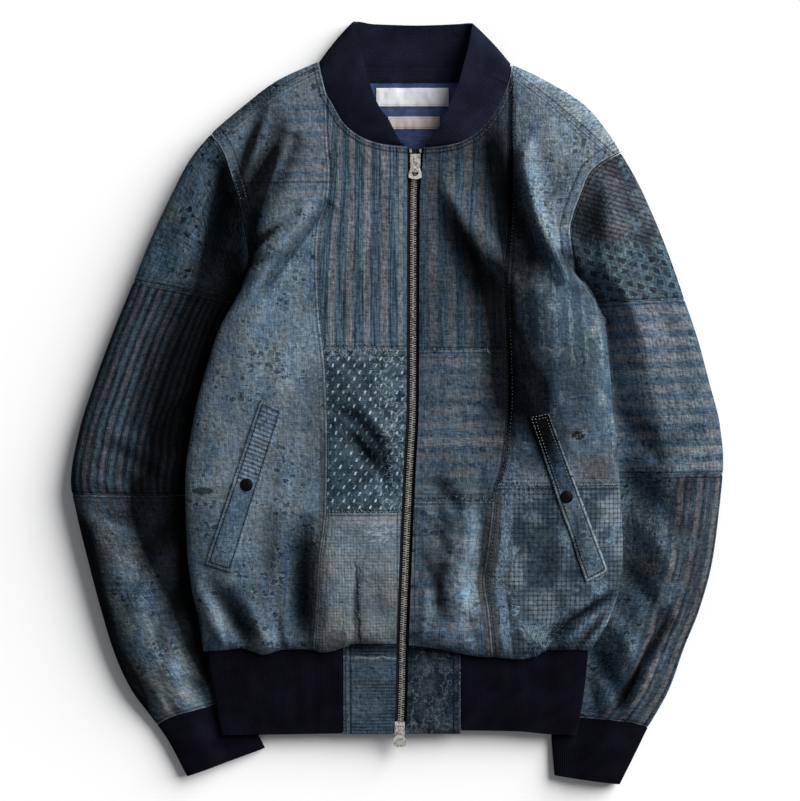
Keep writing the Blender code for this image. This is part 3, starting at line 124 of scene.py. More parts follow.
# How far the back is lifted by the sleeves and cuffs under its sides, left and right.
LIFT = dict(columns=("y", "left", "right"), rows=(
    (-345, 9.4, 9.4),
    (-285, 9.4, 9.4),
    (-240, 8.4, 8.4),
    (60, 7.6, 7.6),
    (102, 7.6, 7.6),
    (113, 7, 5),
    (127, 2, 1),
    (137, 0, 0),
    (342, 0, 0)))

# The largest folds of the front: from one end to the other, half their width and their rise.
FOLDS = dict(columns=("x0", "y0", "x1", "y1", "width", "rise"), rows=(
    (-130, 295, -158, 209, 13, -6),      # off the left shoulder
    (-108, 270, -143, 196, 12, -6),
    (-67, 200, -140, 110, 14, -3),
    (113, 318, 112, -40, 17, -7),        # down the right column seam
    (54, 205, 112, 132, 16, 4),
    (136, 235, 146, 150, 18, 4),
    (150, 128, 178, 104, 12, -5),
    (-98, -140, -97, -236, 14, -5),      # into the waistband
    (-178, -188, -152, -244, 12, -5),
    (38, -80, 56, -190, 15, -4),
    (218, -182, 148, -244, 12, -5)))

# Each sleeve, a row for each section from the armhole to the cuff: how far along it is, its
# outer and inner ends, its crown, and its edges; lap is how much of it lies under the body.
SLEEVE_COLUMNS = ("along", "ox", "oy", "ix", "iy", "crown", "outer", "inner", "strip", "lap")
SLEEVE_LEFT = dict(columns=SLEEVE_COLUMNS, rows=(
    (0, -186, 269.5, -147, 140, 30, 13, 10, 15, 0),
    (0.06, -207, 244, -151.8, 131, 32, 13, 9, 13, 0),
    (0.12, -228, 204, -154.8, 123, 33, 13, 7, 10, 0),
    (0.18, -247.5, 162, -157.6, 115, 34, 13, 4.5, 7, 0),
    (0.25, -264, 121, -160, 100, 34, 13, 3.2, 6.4, 8),
    (0.34, -286, 67, -161, 66, 34, 13, 3.2, 6.4, 20),
    (0.43, -304, 18, -165.5, 20, 34, 13, 3.2, 6.4, 31),
    (0.52, -319, -30, -171, -30, 34, 13, 3.2, 6.4, 36),
    (0.61, -327, -80, -175, -82, 33, 13, 3.2, 6.4, 37),
    (0.66, -321.5, -110, -176.5, -112, 32, 13, 3.2, 6.4, 36),
    (0.75, -309, -162, -175, -164, 30, 12.5, 3.2, 6.4, 34),
    (0.84, -296, -211, -170, -205, 28, 12, 3.2, 6.4, 30),
    (0.91, -283, -253, -164, -240, 25, 11, 3.4, 6.8, 28),
    (0.96, -268, -286, -160, -268, 22, 10, 3.8, 7.6, 27),
    (1, -241, -323.5, -158, -294.5, 15, 7.5, 4.1, 8.2, 26)))
SLEEVE_RIGHT = dict(columns=SLEEVE_COLUMNS, rows=(
    (0, 224, 250.5, 180, 130.5, 30, 13, 10, 15, 0),
    (0.06, 241, 221, 184.6, 125.5, 32, 13, 9, 13, 0),
    (0.12, 257.5, 185, 188.2, 121, 33, 13, 7, 10, 0),
    (0.18, 273.5, 145, 192.6, 115, 34, 13, 4.5, 7, 0),
    (0.25, 288, 103, 196.5, 98, 34, 13, 3.2, 6.4, 4),
    (0.34, 301.5, 63, 193, 62, 34, 13, 3.2, 6.4, 18),
    (0.43, 313, 20, 189, 22, 34, 13, 3.2, 6.4, 25),
    (0.52, 323.5, -22, 186, -22, 34, 13, 3.2, 6.4, 33),
    (0.61, 327, -60, 184, -62, 33, 13, 3.2, 6.4, 39),
    (0.69, 322.5, -112, 182, -112, 32, 13, 3.2, 6.4, 44),
    (0.77, 316, -160, 180, -158, 30, 12.5, 3.2, 6.4, 44),
    (0.85, 303, -208, 175, -203, 28, 12, 3.2, 6.4, 38),
    (0.91, 288, -246, 170, -238, 25, 11, 3.4, 6.8, 24),
    (0.96, 273, -288, 164, -275, 22, 10, 3.8, 7.6, 25),
    (1, 252, -326.5, 159, -311.5, 15, 7.5, 4.1, 8.2, 24)))

# Each cuff in the same way, from its seam to its open end.
CUFF_LEFT = dict(columns=SLEEVE_COLUMNS, rows=(
    (0, -241, -323.5, -158, -294.5, 14.8, 7.5, 4.2, 8.4, 26),
    (0.30, -231, -338, -151, -310, 15, 7.5, 4.2, 8.4, 30),
    (1, -211, -375.5, -132.5, -347, 14, 7, 5, 9.5, 36)))
CUFF_RIGHT = dict(columns=SLEEVE_COLUMNS, rows=(
    (0, 252, -326.5, 159, -311.5, 14.8, 7.5, 4.2, 8.4, 24),
    (0.30, 245, -341, 155, -330, 15, 7.5, 4.2, 8.4, 26),
    (1, 224, -383.5, 158, -374.5, 14, 7, 6, 12, 10)))

# The collar: how far along the neckline each station is sewn, and its free edge.
COLLAR = dict(columns=("along", "fx", "fy", "fz"), rows=(
    (1, 4.5, 259.5, 35),
    (19.5, -1, 267.5, 37),
    (39.5, -8, 281, 38.5),
    (56, -17.5, 294, 38.5),
    (72.5, -24, 309, 37),
    (91.5, -28.5, 323, 34),
    (111, -32.5, 338, 30),
    (129, -37.5, 356, 24),
    (139.5, -44, 382, 12),
    (151, -38, 383.5, 1.5),
    (171, -24, 381, 0),
    (203.5, -2, 380, 0),
    (235.5, 19, 379.5, 0),
    (269.5, 41, 380, 0),
    (301.5, 60, 381, 0),
    (320.5, 71, 382, 1.5),
    (330.5, 76, 380, 12),
    (341.5, 71, 355, 24),
    (354, 66.5, 337, 30),
    (367.5, 62, 321, 34),
    (383.5, 56, 305, 37),
    (401, 50, 291, 38.5),
    (418, 44, 278.5, 38.5),
    (435, 37.5, 267.5, 37),
    (451.5, 32.5, 261, 36),
    (467, 28, 259, 35)))

# ------------------------------------------------------------------------- plan lines

LEFT_SEAM = ((-70.5, 308), (-70, 272), (-67, 227), (-69, 200), (-77, 178),
             (-79.5, 140), (-78, 96), (-71, 28), (-69, -44), (-70, -109),
             (-76, -158), (-78, -197), (-83, -262))
RIGHT_SEAM = ((113.6, 331), (113, 272), (114.5, 228), (113, 184), (109, 119),
              (111, 52), (112, 10), (108.5, -40), (105, -66), (98, -88),
              (96, -111), (90.5, -155), (87.5, -177), (92, -208), (97, -262))
LEFT_NECK = ((9.5, 254.8), (-10, 256.2), (-30, 261.5), (-44, 269.5), (-55.5, 281),
             (-64.5, 297.5), (-70.5, 308), (-77, 334), (-78.5, 341.5))
RIGHT_NECK = ((27.5, 254), (44, 255.2), (60.5, 258.3), (75.8, 265.5), (88.5, 276.8),
              (98.5, 291), (105.8, 305), (110.5, 318.2), (113.6, 331), (115, 338.5))
LEFT_ARMHOLE = ((-147, 140), (-151, 167.5), (-156.5, 195), (-162.5, 216.5), (-173, 249), (-186, 269.5))
RIGHT_ARMHOLE = ((180, 130.5), (174.5, 152), (172.5, 172.5), (176, 187.5), (181.7, 203.5),
                 (193, 229.5), (207, 241.5), (224, 250.5))
LEFT_FORWARD_SEAM = ((-180.8, 261.9), (-149, 289.5), (-117, 313), (-77, 334))
RIGHT_FORWARD_SEAM = ((113.6, 331), (152, 300.8), (178, 279), (215.5, 246.3))
BACK_NECK = ((-78.5, 341.5), (-66, 338), (-46, 335.3), (18, 332.8), (84, 334.3),
             (103, 335.8), (115, 338.5))
LEFT_HEM = ((-194, -249.5), (-172, -248), (-157, -246), (-145, -249),
            (-134, -252.5), (-114, -247.5), (-94, -247), (-73, -250),
            (-53, -245), (-44, -241.5), (0, -241.5))
RIGHT_HEM = ((11, -243), (43, -246.5), (79, -253.5), (106, -255.5), (123, -257),
             (138, -254.5), (150, -248), (177, -247.5), (194, -249.5))
BAND_HEM = ((-176, -333.5), (-54, -331.5), (64, -328.5), (120, -329.5), (154, -332.5), (180, -333.5))
LEFT_CUFF_SEAM = ((-241, -323.5), (-225, -315.5), (-186, -304.5), (-158, -294.5))
RIGHT_CUFF_SEAM = ((252, -326.5), (234, -321.5), (209, -318.5), (180, -316.5), (159, -311.5))

# Heights where one patch meets the next.
LEFT_PATCHES = (53, -109.5)
RIGHT_PATCHES = (52, -98)
SIDE_PATCH_Y = -83
SLEEVE_PATCHES = (0.25, 0.63)
TAB_LEFT_X = -54
TAB_RIGHT_X = 64
TAB_BOTTOM_Y = -332


# ------------------------------------------------------------------- reading the tables


def smooth_read(knots, values, at):
    """Reads a smooth line through the knots that never swings past a value between them."""
    knots, values = np.asarray(knots, float), np.asarray(values, float)
    at = np.clip(at, knots[0], knots[-1])
    width = np.diff(knots)
    slope = np.diff(values) / width
    tangent = np.zeros(len(knots))
    steady = slope[:-1] * slope[1:] > 0
    before, after = slope[:-1][steady], slope[1:][steady]
    near, far = 2 * width[1:] + width[:-1], width[1:] + 2 * width[:-1]
    tangent[1:-1][steady] = (near + far)[steady] / (near[steady] / before + far[steady] / after)
    tangent[0], tangent[-1] = slope[0], slope[-1]
    i = np.clip(np.searchsorted(knots, at, side="right") - 1, 0, len(width) - 1)
    t = (at - knots[i]) / width[i]
    return (values[i] * (1 + 2 * t) * (1 - t) ** 2 + values[i + 1] * t * t * (3 - 2 * t)
            + width[i] * (tangent[i] * t * (1 - t) ** 2 - tangent[i + 1] * t * t * (1 - t)))


def read(table, column, at):
    """Reads one column of a table at a value of its first column."""
    rows = np.array(table["rows"])
    return smooth_read(rows[:, 0], rows[:, table["columns"].index(column)], at)


def across(line, y):
    """x of a plan line at a height y up the jacket."""
    points = np.array(sorted(line, key=lambda point: point[1]))
    return smooth_read(points[:, 1], points[:, 0], y)


def up(line, x):
    """y of a plan line that runs from left to right."""
    points = np.array(sorted(line))
    return smooth_read(points[:, 0], points[:, 1], x)


def along(line, t):
    """Plan points at fractions t of a line's length."""
    points = np.array(line)
    steps = np.hypot(*np.diff(points, axis=0).T)
    reach = np.concatenate([[0.0], np.cumsum(steps)]) / steps.sum()
    return np.stack([smooth_read(reach, points[:, k], t) for k in (0, 1)], axis=-1)


def crossing(y_of_x, start, end):
    """The bottom or top of a piece, along y_of_x between two x."""
    def edge(t):
        x = start + (end - start) * np.asarray(t)
        return np.stack([x, y_of_x(x)], axis=-1)
    return edge


def straight(start, end):
    """A straight side between two plan points."""
    return lambda t: np.asarray(start) + np.outer(t, np.subtract(end, start))


def ease(t):
    """0 to 1 with soft ends."""
    t = np.clip(t, 0.0, 1.0)
    return t * t * (3 - 2 * t)


def patch(bottom, top, left, right, u, v):
    """Plan points of a piece (a Coons patch): left and right hold its rows' ends at v."""
    ends = np.array([0.0, 1.0])
    (low_left, low_right), (high_left, high_right) = bottom(ends), top(ends)
    a, b = np.asarray(u)[None, :, None], np.asarray(v)[:, None, None]
    corners = ((1 - b) * ((1 - a) * low_left + a * low_right)
               + b * ((1 - a) * high_left + a * high_right))
    return ((1 - b) * bottom(np.asarray(u))[None] + b * top(np.asarray(u))[None]
            + (1 - a) * left[:, None] + a * right[:, None] - corners)


def on(x_of_y, heights):
    """The points of x_of_y at some heights."""
    return np.stack([x_of_y(heights), heights], axis=-1)


# --------------------------------------------------------------------- heights of cloth


def fold_rise(x, y):
    """What the largest folds add to the front at a plan point."""
    total = np.zeros(np.broadcast(x, y).shape)
    for x0, y0, x1, y1, width, rise in FOLDS["rows"]:
        run = np.array([x1 - x0, y1 - y0])
        t = ((x - x0) * run[0] + (y - y0) * run[1]) / (run @ run)
        t_in = np.clip(t, 0.0, 1.0)
        off = np.hypot(x - x0 - t_in * run[0], y - y0 - t_in * run[1])
        fade = np.clip(4 * t_in * (1 - t_in), 0.0, 1.0) ** 0.5
        total = total + rise * fade * np.exp(-(off / width) ** 2)
    return total


def side_fraction(table, x, y):
    """0 on the middle line of a body or band section and 1 at its side, and its half width."""
    left, right = read(table, "left", y), read(table, "right", y)
    half = (right - left) / 2
    return np.clip(np.abs(x - (left + right) / 2) / half, 0.0, 1.0), half


def dome(fraction, power):
    """Height of a filled-out section: 1 in the middle and 0 at its edge."""
    return (1 - fraction ** power) ** (1 / power)


def band_top(x, y):
    """Outer surface of the front of the waistband."""
    s, _ = side_fraction(BAND, x, y)
    edge = read(BAND, "edge", y)
    return edge + (read(BAND, "crown", y) - edge) * dome(s, FULLNESS)


def zip_level(y):
    """Height of the cloth along the zip."""
    return read(ZIP, "level", y)


def hem_line(x):
    """y of the front cloth's lower edge."""
    return np.where(x < HEM_MIDDLE_X, up(LEFT_HEM, x), up(RIGHT_HEM, x))


def roll_to_band(level, x, y):
    """Rolls the cloth's surface down to the waistband at its lower edge."""
    tuck = band_top(x, hem_line(x)) + HEM_STEP
    rolled = np.clip((y - hem_line(x)) / HEM_ROLL, 0.0, 1.0)
    return np.where(level > tuck, tuck + (level - tuck) * np.sqrt(1 - (1 - rolled) ** 2), level)


def zip_hold(x, y):
    """1 at the zip, which holds the cloth flat, to 0 away from it."""
    return np.exp(-((x - read(ZIP, "x", y)) / ZIP_PULL_IN) ** 2)


def front_top(x, y):
    """Outer surface of the front of the body at a plan point."""
    s, _ = side_fraction(BODY, x, y)
    edge = read(BODY, "edge", y) + OUTSET
    level = edge + (read(BODY, "crown", y) - edge) * dome(s, FULLNESS)
    level = level + fold_rise(x, y) * (1 - s ** 8)
    level = roll_to_band(level, x, y)
    return level + (zip_level(y) - level) * zip_hold(x, y)


def lap_floor(x, y):
    """Height of the underside where the body and the waistband lie on the sleeves."""
    inner_left = np.interp(y, *hidden_edge(SLEEVE_LEFT, CUFF_LEFT)) + LAP_EASE
    inner_right = np.interp(y, *hidden_edge(SLEEVE_RIGHT, CUFF_RIGHT)) - LAP_EASE
    on_left = read(LIFT, "left", y) * ease((inner_left + LAP_RAMP - x) / LAP_RAMP)
    on_right = read(LIFT, "right", y) * ease((x - inner_right + LAP_RAMP) / LAP_RAMP)
    return np.maximum(on_left, on_right)


def hidden_edge(sleeve, cuff):
    """y and x of a sleeve's inner edge, down to the end of its cuff, for interpolation."""
    points = [(row[4], row[3]) for row in sleeve["rows"] + cuff["rows"][1:]]
    points.sort()
    return [p[0] for p in points], [p[1] for p in points]


def underside(table, x, y):
    """Lower surface of the body's back or of the band: flat, rolled up to the side seams."""
    s, half = side_fraction(table, x, y)
    floor = lap_floor(x, y)
    edge = read(table, "edge", y)
    if table is BODY:
        side = np.where(x < 0, LEFT_HEM[0][0], RIGHT_HEM[-1][0])
        edge = roll_to_band(edge + OUTSET, side, y) - OUTSET
    inward = np.clip((1 - s) * half / UNDER_ROLL, 0.0, 1.0)
    edge = edge - OUTSET
    return floor + (edge - floor) * (1 - np.sqrt(1 - (1 - inward) ** 2))


def sleeve_plan(sleeve, armhole, cuff_seam, u, v):
    """Plan point of a sleeve: u from its outer to its inner edge, v from armhole to cuff."""
    outer = np.stack([read(sleeve, "ox", v), read(sleeve, "oy", v)], axis=-1)
    inner = np.stack([read(sleeve, "ix", v), read(sleeve, "iy", v)], axis=-1)
    u, v = np.broadcast_arrays(u, v)
    point = outer + (inner - outer) * u[..., None]
    for line, near in ((armhole, 1 - v / ARMHOLE_END),
                       (cuff_seam, (v - CUFF_START) / (1 - CUFF_START))):
        ends = along(line, np.array([0.0, 1.0]))
        bow = along(line, u) - ends[0] - (ends[1] - ends[0]) * u[..., None]
        point = point + bow * ease(near)[..., None]
    return point


def sleeve_height(sleeve, u, v, width):
    """Heights of the top and the underside of a sleeve or cuff section."""
    edge = read(sleeve, "outer", v) + (read(sleeve, "inner", v) - read(sleeve, "outer", v)) * u
    strip, lap = read(sleeve, "strip", v), read(sleeve, "lap", v)
    from_inner = (1 - u) * width
    rise = ease((from_inner - lap) / (STRIP_RUN * width))
    level = strip + (read(sleeve, "crown", v) - strip) * rise
    top = edge + np.maximum(level - edge, 0.0) * dome(np.abs(2 * u - 1), SLEEVE_FULLNESS)
    inward = np.clip(np.minimum(u, 1 - u) * width / (SLEEVE_ROLL * edge), 0.0, 1.0)
    return top, edge * (1 - np.sqrt(1 - (1 - inward) ** 2))


def unit(vectors):
    """The same vectors at length 1."""
    return vectors / np.linalg.norm(vectors, axis=-1, keepdims=True)


def height_normals(height, x, y, step=0.05):
    """Unit normals, pointing up, of a surface given by its height over a plan point."""
    slope_x = (height(x + step, y) - height(x - step, y)) / (2 * step)
    slope_y = (height(x, y + step) - height(x, y - step)) / (2 * step)
    return unit(np.stack([-slope_x, -slope_y, np.ones_like(slope_x)], axis=-1))


def lifted(plan, height):
    """Joins plan points and their heights."""
    return np.concatenate([plan, height[..., None]], axis=-1)


# ---------------------------------------------------------- creases, crumples, worn marks and painted shade

# Creases of each surface: from one end to the other; bend is how far the middle of the
# line swings to its right; width is half its width; rise is above 0 for a ridge and below for
# a trough; lean makes its right flank (above 0) or its left one (below 0) the steeper.
CREASE_COLUMNS = ("x0", "y0", "x1", "y1", "bend", "width", "rise", "lean")
FRONT_CREASES = dict(columns=CREASE_COLUMNS, rows=(
    # left shoulder and armhole
    (-119, 303, -165, 205, -6, 7, -4, 0.3),
    (-106, 285, -150, 186, -3, 6, 2.6, 0.2),
    (-100, 268, -146, 190, -7, 6.5, -4.6, 0.4),
    (-141, 205, -149, 128, 4, 8, -5, 0),
    (-86, 196, -140, 138, -5, 6, 2.2, 0),
    (-68, 201, -143, 103, 5, 5, -3.4, 0.4),
    (-62, 190, -128, 104, 5, 7, 2, 0),
    (-120, 112, -168, 40, 4, 9, 1.8, 0),
    # left belly, the pocket and the gathers over the waistband
    (-127, 60, -142, -20, -4, 8, -1.6, 0),
    (-92, 20, -108, -120, 6, 12, 1.5, 0),
    (-128, -105, -134, -178, -5, 8, -2.6, 0),
    (-92, -110, -93, -246, 4, 12, -6.8, -0.3),
    (-106, -150, -109, -246, 3, 7, 3.4, 0.2),
    (-206, -166, -166, -244, 5, 8, 4.6, 0.3),
    (-195, -176, -147, -245, -5, 9, -7.6, 0.3),
    (-150, -196, -124, -246, 2, 6, 2.6, 0),
    (-204, -190, -184, -246, 2, 7, -5, 0),
    (-172, -214, -168, -248, 0, 4, -2.4, 0),
    (-118, -216, -114, -248, 0, 4, -2.2, 0),
    (-74, -190, -80, -250, 0, 5, -2, 0),
    # left middle
    (-57, -9, -11, -84, -13, 6.5, -5.6, 0.3),
    (-44, -2, 1, -78, -12, 6, 2.4, 0),
    (-36, -157, -41, -238, 4, 3.2, -2.2, 0),
    (-20, -170, -14, -216, 3, 8, -2, 0),
    (-60, 110, -48, 60, 0, 9, -0.9, 0),
    (-20, 236, -28, 120, -5, 11, -1.3, 0),
    # right middle
    (40, 226, 60, 196, 0, 8, 1.8, 0),
    (50, 214, 108, 116, 8, 8, 6, -0.3),
    (44, 196, 86, 96, 8, 12, -5.6, 0),
    (88, 268, 96, 200, 2, 10, -2, 0),
    (20, 118, 24, 62, 0, 8, 1, 0),
    (24, -76, 62, -112, -6, 7, -4.4, 0.3),
    (20, -100, 58, -150, -5, 6, 3.6, 0.2),
    (22, -128, 44, -176, -5, 6.5, -4.6, 0.3),
    (44, -160, 42, -214, 4, 6.5, -4.6, 0),
    (30, -186, 22, -236, -2, 5, 2.8, 0),
    (62, -132, 66, -210, 3, 10, 3.2, 0),
    (66, -208, 84, -250, 0, 6, -2.2, 0),
    (84, -96, 84, -180, 2, 6, -2.4, 0),
    # right shoulder, armhole and side
    (126, 262, 180, 116, 14, 9, 7, 0.35),
    (112, 250, 158, 112, 14, 11, -7.5, -0.2),
    (113.4, 325, 111, -60, 0, 3.4, -3.6, 0),
    (140, 270, 158, 196, 2, 7, -2, 0),
    (148, 206, 154, 172, 2, 3.6, -1.8, 0),
    (160, 150, 186, 92, -5, 8, -4.6, -0.2),
    (170, 176, 178, 128, -2, 6, 2.2, 0),
    (122, 130, 132, 40, -3, 14, -2.6, 0),
    (196, 96, 210, 10, -4, 9, 2.2, 0),
    (150, 60, 190, -30, 0, 12, -1.6, 0),
    (173, -30, 188, -44, 0, 6, -2.6, 0),
    # right belly and its gathers
    (177, -108, 180, -164, 2, 6, -3, 0),
    (228, -186, 152, -238, 2, 6, -8.6, 0.3),
    (230, -176, 178, -212, 5, 6, 4, 0),
    (229, -196, 178, -248, 4, 6, -8, 0.3),
    (208, -203, 164, -244, 2, 5.5, 5, 0),
    (160, -186, 148, -250, -4, 7, -3, 0),
    (122, -224, 150, -238, 3, 8, 2.2, 0),
    (116, -150, 128, -248, 3, 8, 1.6, 0)))
LEFT_SLEEVE_CREASES = dict(columns=CREASE_COLUMNS, rows=(
    (-176, 240, -196, 120, -6, 10, -5, 0),
    (-196, 236, -222, 130, -6, 10, 3, 0),
    (-226, 196, -246, 110, -4, 9, -2.6, 0),
    (-168, 150, -192, 20, -8, 12, -7, 0),
    (-204, 96, -230, -24, -6, 11, 3, 0),
    (-250, 70, -272, -30, -4, 10, -2.6, 0),
    (-196, 10, -260, -70, 9, 10, -5.2, 0.3),
    (-186, -30, -250, -104, 8, 9, 3.8, 0),
    (-300, -40, -232, -84, -6, 8, -4, 0),
    (-318, -72, -262, -96, -4, 7, 3, 0),
    (-322, -96, -250, -126, 5, 8, -4.4, 0.3),
    (-190, -96, -262, -166, 7, 10, -5, 0.2),
    (-200, -130, -266, -214, 7, 10, 4.4, 0),
    (-186, -150, -244, -248, 6, 10, -5.6, 0.2),
    (-300, -150, -266, -216, 3, 9, -3.4, 0),
    (-196, -210, -232, -288, 4, 9, 3.6, 0),
    (-178, -228, -206, -300, 3, 8, -4.6, 0),
    (-280, -232, -240, -306, 2, 8, -3.8, 0),
    (-262, -262, -226, -312, 0, 6, 2.8, 0),
    (-236, -290, -220, -318, 0, 4, -2.6, 0),
    (-200, -280, -190, -306, 0, 4, -2.4, 0)))
RIGHT_SLEEVE_CREASES = dict(columns=CREASE_COLUMNS, rows=(
    (196, 216, 200, 110, 4, 9, -5, 0),
    (214, 226, 226, 140, 4, 9, 3, 0),
    (240, 196, 262, 110, 3, 10, -2.4, 0),
    (206, 110, 216, 6, 4, 11, -3.6, 0),
    (228, 80, 246, -26, 4, 11, 2.8, 0),
    (276, 90, 296, 0, 3, 10, -2.4, 0),
    (204, 4, 262, -62, -8, 9, -3.2, 0.2),
    (316, -20, 256, -60, 5, 8, -3.6, 0),
    (322, -46, 270, -78, 4, 7, 3.2, 0),
    (326, -70, 262, -104, 5, 8, -4.2, 0.2),
    (212, -60, 284, -138, -7, 11, -4, 0),
    (222, -100, 286, -190, -6, 10, 3.4, 0),
    (226, -160, 268, -236, -5, 9, -4.4, 0),
    (306, -120, 296, -196, -3, 9, -3.2, 0),
    (206, -208, 246, -276, -4, 9, 3.4, 0),
    (186, -238, 226, -304, -4, 9, -5.4, 0.2),
    (286, -226, 258, -300, -3, 8, -3.4, 0),
    (274, -214, 217, -316, 3, 5.5, -7.5, 0.3),
    (284, -222, 232, -318, 3, 7, 3.6, 0),
    (196, -280, 200, -314, 0, 5, -2.4, 0)))
BACK_CREASES = dict(columns=CREASE_COLUMNS, rows=(
    (-120, 280, -60, 120, 10, 12, -2, 0),
    (130, 290, 80, 110, -10, 12, -2, 0),
    (-40, 60, -30, -220, 8, 14, -1.8, 0),
    (60, 90, 70, -210, -8, 14, -1.8, 0),
    (10, -60, 16, -240, 4, 12, -1.6, 0)))

# Marks on the cloth: soft spots, with how far they reach across and up before they are
# turned, in degrees.  The column after the turn darkens (below 0) or lightens (above 0) the cloth:
# mostly painted shade in folds, hollows and the shadows of other parts, with painted highlight on
# ridges, and partly faded cloth; brown browns it.
SPOTS = dict(columns=("x", "y", "across", "up", "turn", "tone", "brown"), rows=(
    # left side panel
    (-100, 262, 26, 20, 0, 0.10, 0.35),
    (-84, 222, 20, 26, 0, 0.15, 0.30),
    (-143, 264, 9, 48, -21, -1, 0),
    (-127, 236, 9, 54, -24, -1.05, 0),
    (-133.5, 262, 4.5, 36, -22, 0.55, 0),
    (-158, 296, 30, 13, 35, -0.55, 0),
    (-154, 182, 24, 52, -16, -1.25, 0),
    (-160, 144, 17, 30, 0, -1.10, 0),
    (-128, 167, 5, 26, -52, -0.75, 0),
    (-114, 122, 26, 46, -34, 0.45, -0.20),
    (-100, 60, 40, 30, 0, 0.30, 0.05),
    (-150, 10, 26, 60, 0, 0.05, 0.10),
    (-86, -10, 16, 60, 0, -0.10, 0.35),
    (-160, -90, 40, 50, 0, 0.12, 0.05),
    (-130, -140, 8, 32, 6, -0.20, 0.55),
    (-125, -200, 40, 40, 0, -0.10, 0),
    (-95, -190, 18, 64, 0, -0.80, 0),
    (-163, -214, 13, 46, 34, -0.70, 0),
    (-181, -211, 8, 42, 32, 0.25, 0),
    (-201, -216, 8, 42, 24, -0.75, 0),
    (-126, -214, 10, 40, 4, 0.25, 0),
    # left middle
    (-34, 190, 40, 60, 0, 0.12, 0.10),
    (-20, 90, 30, 30, 0, 0.05, 0),
    (-30, -46, 8, 38, 38, -1.05, 0),
    (-12, 0, 12, 50, 0, -0.20, 0),
    (-30, -140, 40, 26, 0, 0.22, 0.10),
    (-38, -200, 4, 44, 2, -0.45, 0),
    (-14, -200, 14, 30, 0, -0.20, 0.20),
    (-62, -210, 14, 30, 0, 0.20, 0.05),
    # right middle
    (60, 262, 30, 18, -12, -0.30, 0),
    (98, 236, 19, 66, 4, -1, 0),
    (84, 120, 22, 48, 8, -0.75, 0),
    (104, 120, 12, 70, 0, -0.75, 0),
    (64, 172, 13, 40, 26, -0.75, 0),
    (90, 163, 7, 40, 34, 0.90, 0.15),
    (30, 190, 12, 60, 0, 0.15, 0.10),
    (100, 20, 20, 80, 0, -0.80, 0.05),
    (50, -20, 30, 20, 0, 0.20, 0.10),
    (50, 20, 30, 30, 0, 0, 0.05),
    (48, -120, 10, 30, 25, -0.85, 0),
    (70, -110, 14, 24, 0, 0.10, 0),
    (50, -150, 6, 26, 48, 0.70, 0),
    (68, -198, 13, 40, 14, 0.95, 0.05),
    (38, -172, 8, 50, 20, -0.90, 0),
    (25, -218, 7, 26, -10, 0.55, 0.05),
    (78, -130, 8, 20, 0, 0.45, 0),
    (90, -150, 8, 60, 2, -0.40, 0.15),
    # right side panel
    (142, 250, 22, 60, -10, 0.20, 0),
    (156, 170, 16, 40, 24, 0.15, 0),
    (149, 205, 9, 60, 14, -0.20, 0),
    (126, 160, 14, 60, 8, -0.62, 0),
    (126, 36, 20, 80, 0, -0.75, 0),
    (146, 6, 12, 42, -6, -0.50, 0),
    (150, 10, 40, 60, 0, -0.30, 0),
    (170, 70, 20, 50, 0, 0.15, 0),
    (206, 40, 8, 50, -6, 0.45, 0),
    (150, -40, 16, 30, 0, -0.45, 0),
    (203, -66, 14, 18, 0, -0.15, 0.65),
    (178, -30, 8, 6, 20, -0.55, 0.50),
    (196, -30, 14, 20, 0, 0.20, 0),
    # gingham
    (112, -150, 8, 60, 0, 0.30, 0),
    (152, -158, 13, 22, 0, -0.45, 0),
    (178, -142, 5, 30, 6, -0.55, 0),
    (206, -130, 12, 40, 0, 0.20, 0),
    (184, -210, 5, 44, -57, -0.80, 0),
    (187, -221, 3.6, 32, -50, 0.95, 0),
    (197, -227, 4.5, 30, -42, -0.90, 0),
    (207, -221, 3.6, 30, -38, 1.05, 0),
    (120, -120, 12, 30, 0, -0.35, 0),
    (116, -210, 20, 26, 0, 0.40, 0),
    (136, -222, 20, 14, 0, 0.20, 0),
    # welts
    (-146, -50, 12, 60, -20, 0.10, 0),
    (150, -60, 12, 50, 16, -0.25, 0),
    (180, -140, 12, 40, 16, 0.10, 0)))
# The sleeves' spots, in the same columns: mostly painted shade where the body shades a sleeve, with
# painted highlight on its ridges.
LEFT_SLEEVE_SPOTS = dict(columns=SPOTS["columns"], rows=(
    (-170, 200, 17, 80, -8, -0.95, 0),
    (-214, 170, 22, 50, -10, 0.20, 0),
    (-176, 60, 62, 150, -6, -1.20, 0),
    (-204, -30, 36, 70, 0, -0.80, 0),
    (-292, 60, 10, 90, -12, -0.40, 0),
    (-258, 60, 14, 80, -14, 0.30, 0),
    (-244, -60, 24, 30, 30, 0.10, 0),
    (-278, -150, 16, 60, 20, 0.55, 0),
    (-242, -246, 13, 56, 28, 0.60, 0),
    (-306, -104, 16, 16, 0, 0.35, 0.10),
    (-204, -140, 50, 120, 10, -1.45, 0),
    (-312, -180, 26, 140, 18, -1.35, 0),
    (-262, -290, 13, 40, 30, -0.85, 0),
    (-250, -120, 13, 46, 18, -0.85, 0),
    (-308, -122, 9, 40, 14, -0.40, 0),
    (-222, -274, 17, 24, 20, 0.45, 0),
    (-196, -250, 15, 56, 14, -0.80, 0)))
RIGHT_SLEEVE_SPOTS = dict(columns=SPOTS["columns"], rows=(
    (188, 170, 14, 46, -8, -0.75, 0),
    (243, -265, 4.5, 56, -28, -0.95, 0),
    (253, -268, 5, 50, -28, 0.25, 0),
    (208, 100, 12, 60, 0, 0.15, 0),
    (244, 60, 22, 60, 10, 0.15, 0.05),
    (300, -60, 20, 30, 0, 0.20, 0.10),
    (218, 20, 18, 110, 4, 0.95, 0),
    (310, 30, 30, 160, 8, -0.30, 0),
    (250, -130, 22, 60, 0, 0.05, 0),
    (296, -180, 12, 70, 10, -0.20, 0.35),
    (204, -268, 14, 36, -20, -0.35, 0),
    (250, -270, 14, 30, 0, 0.15, 0)))
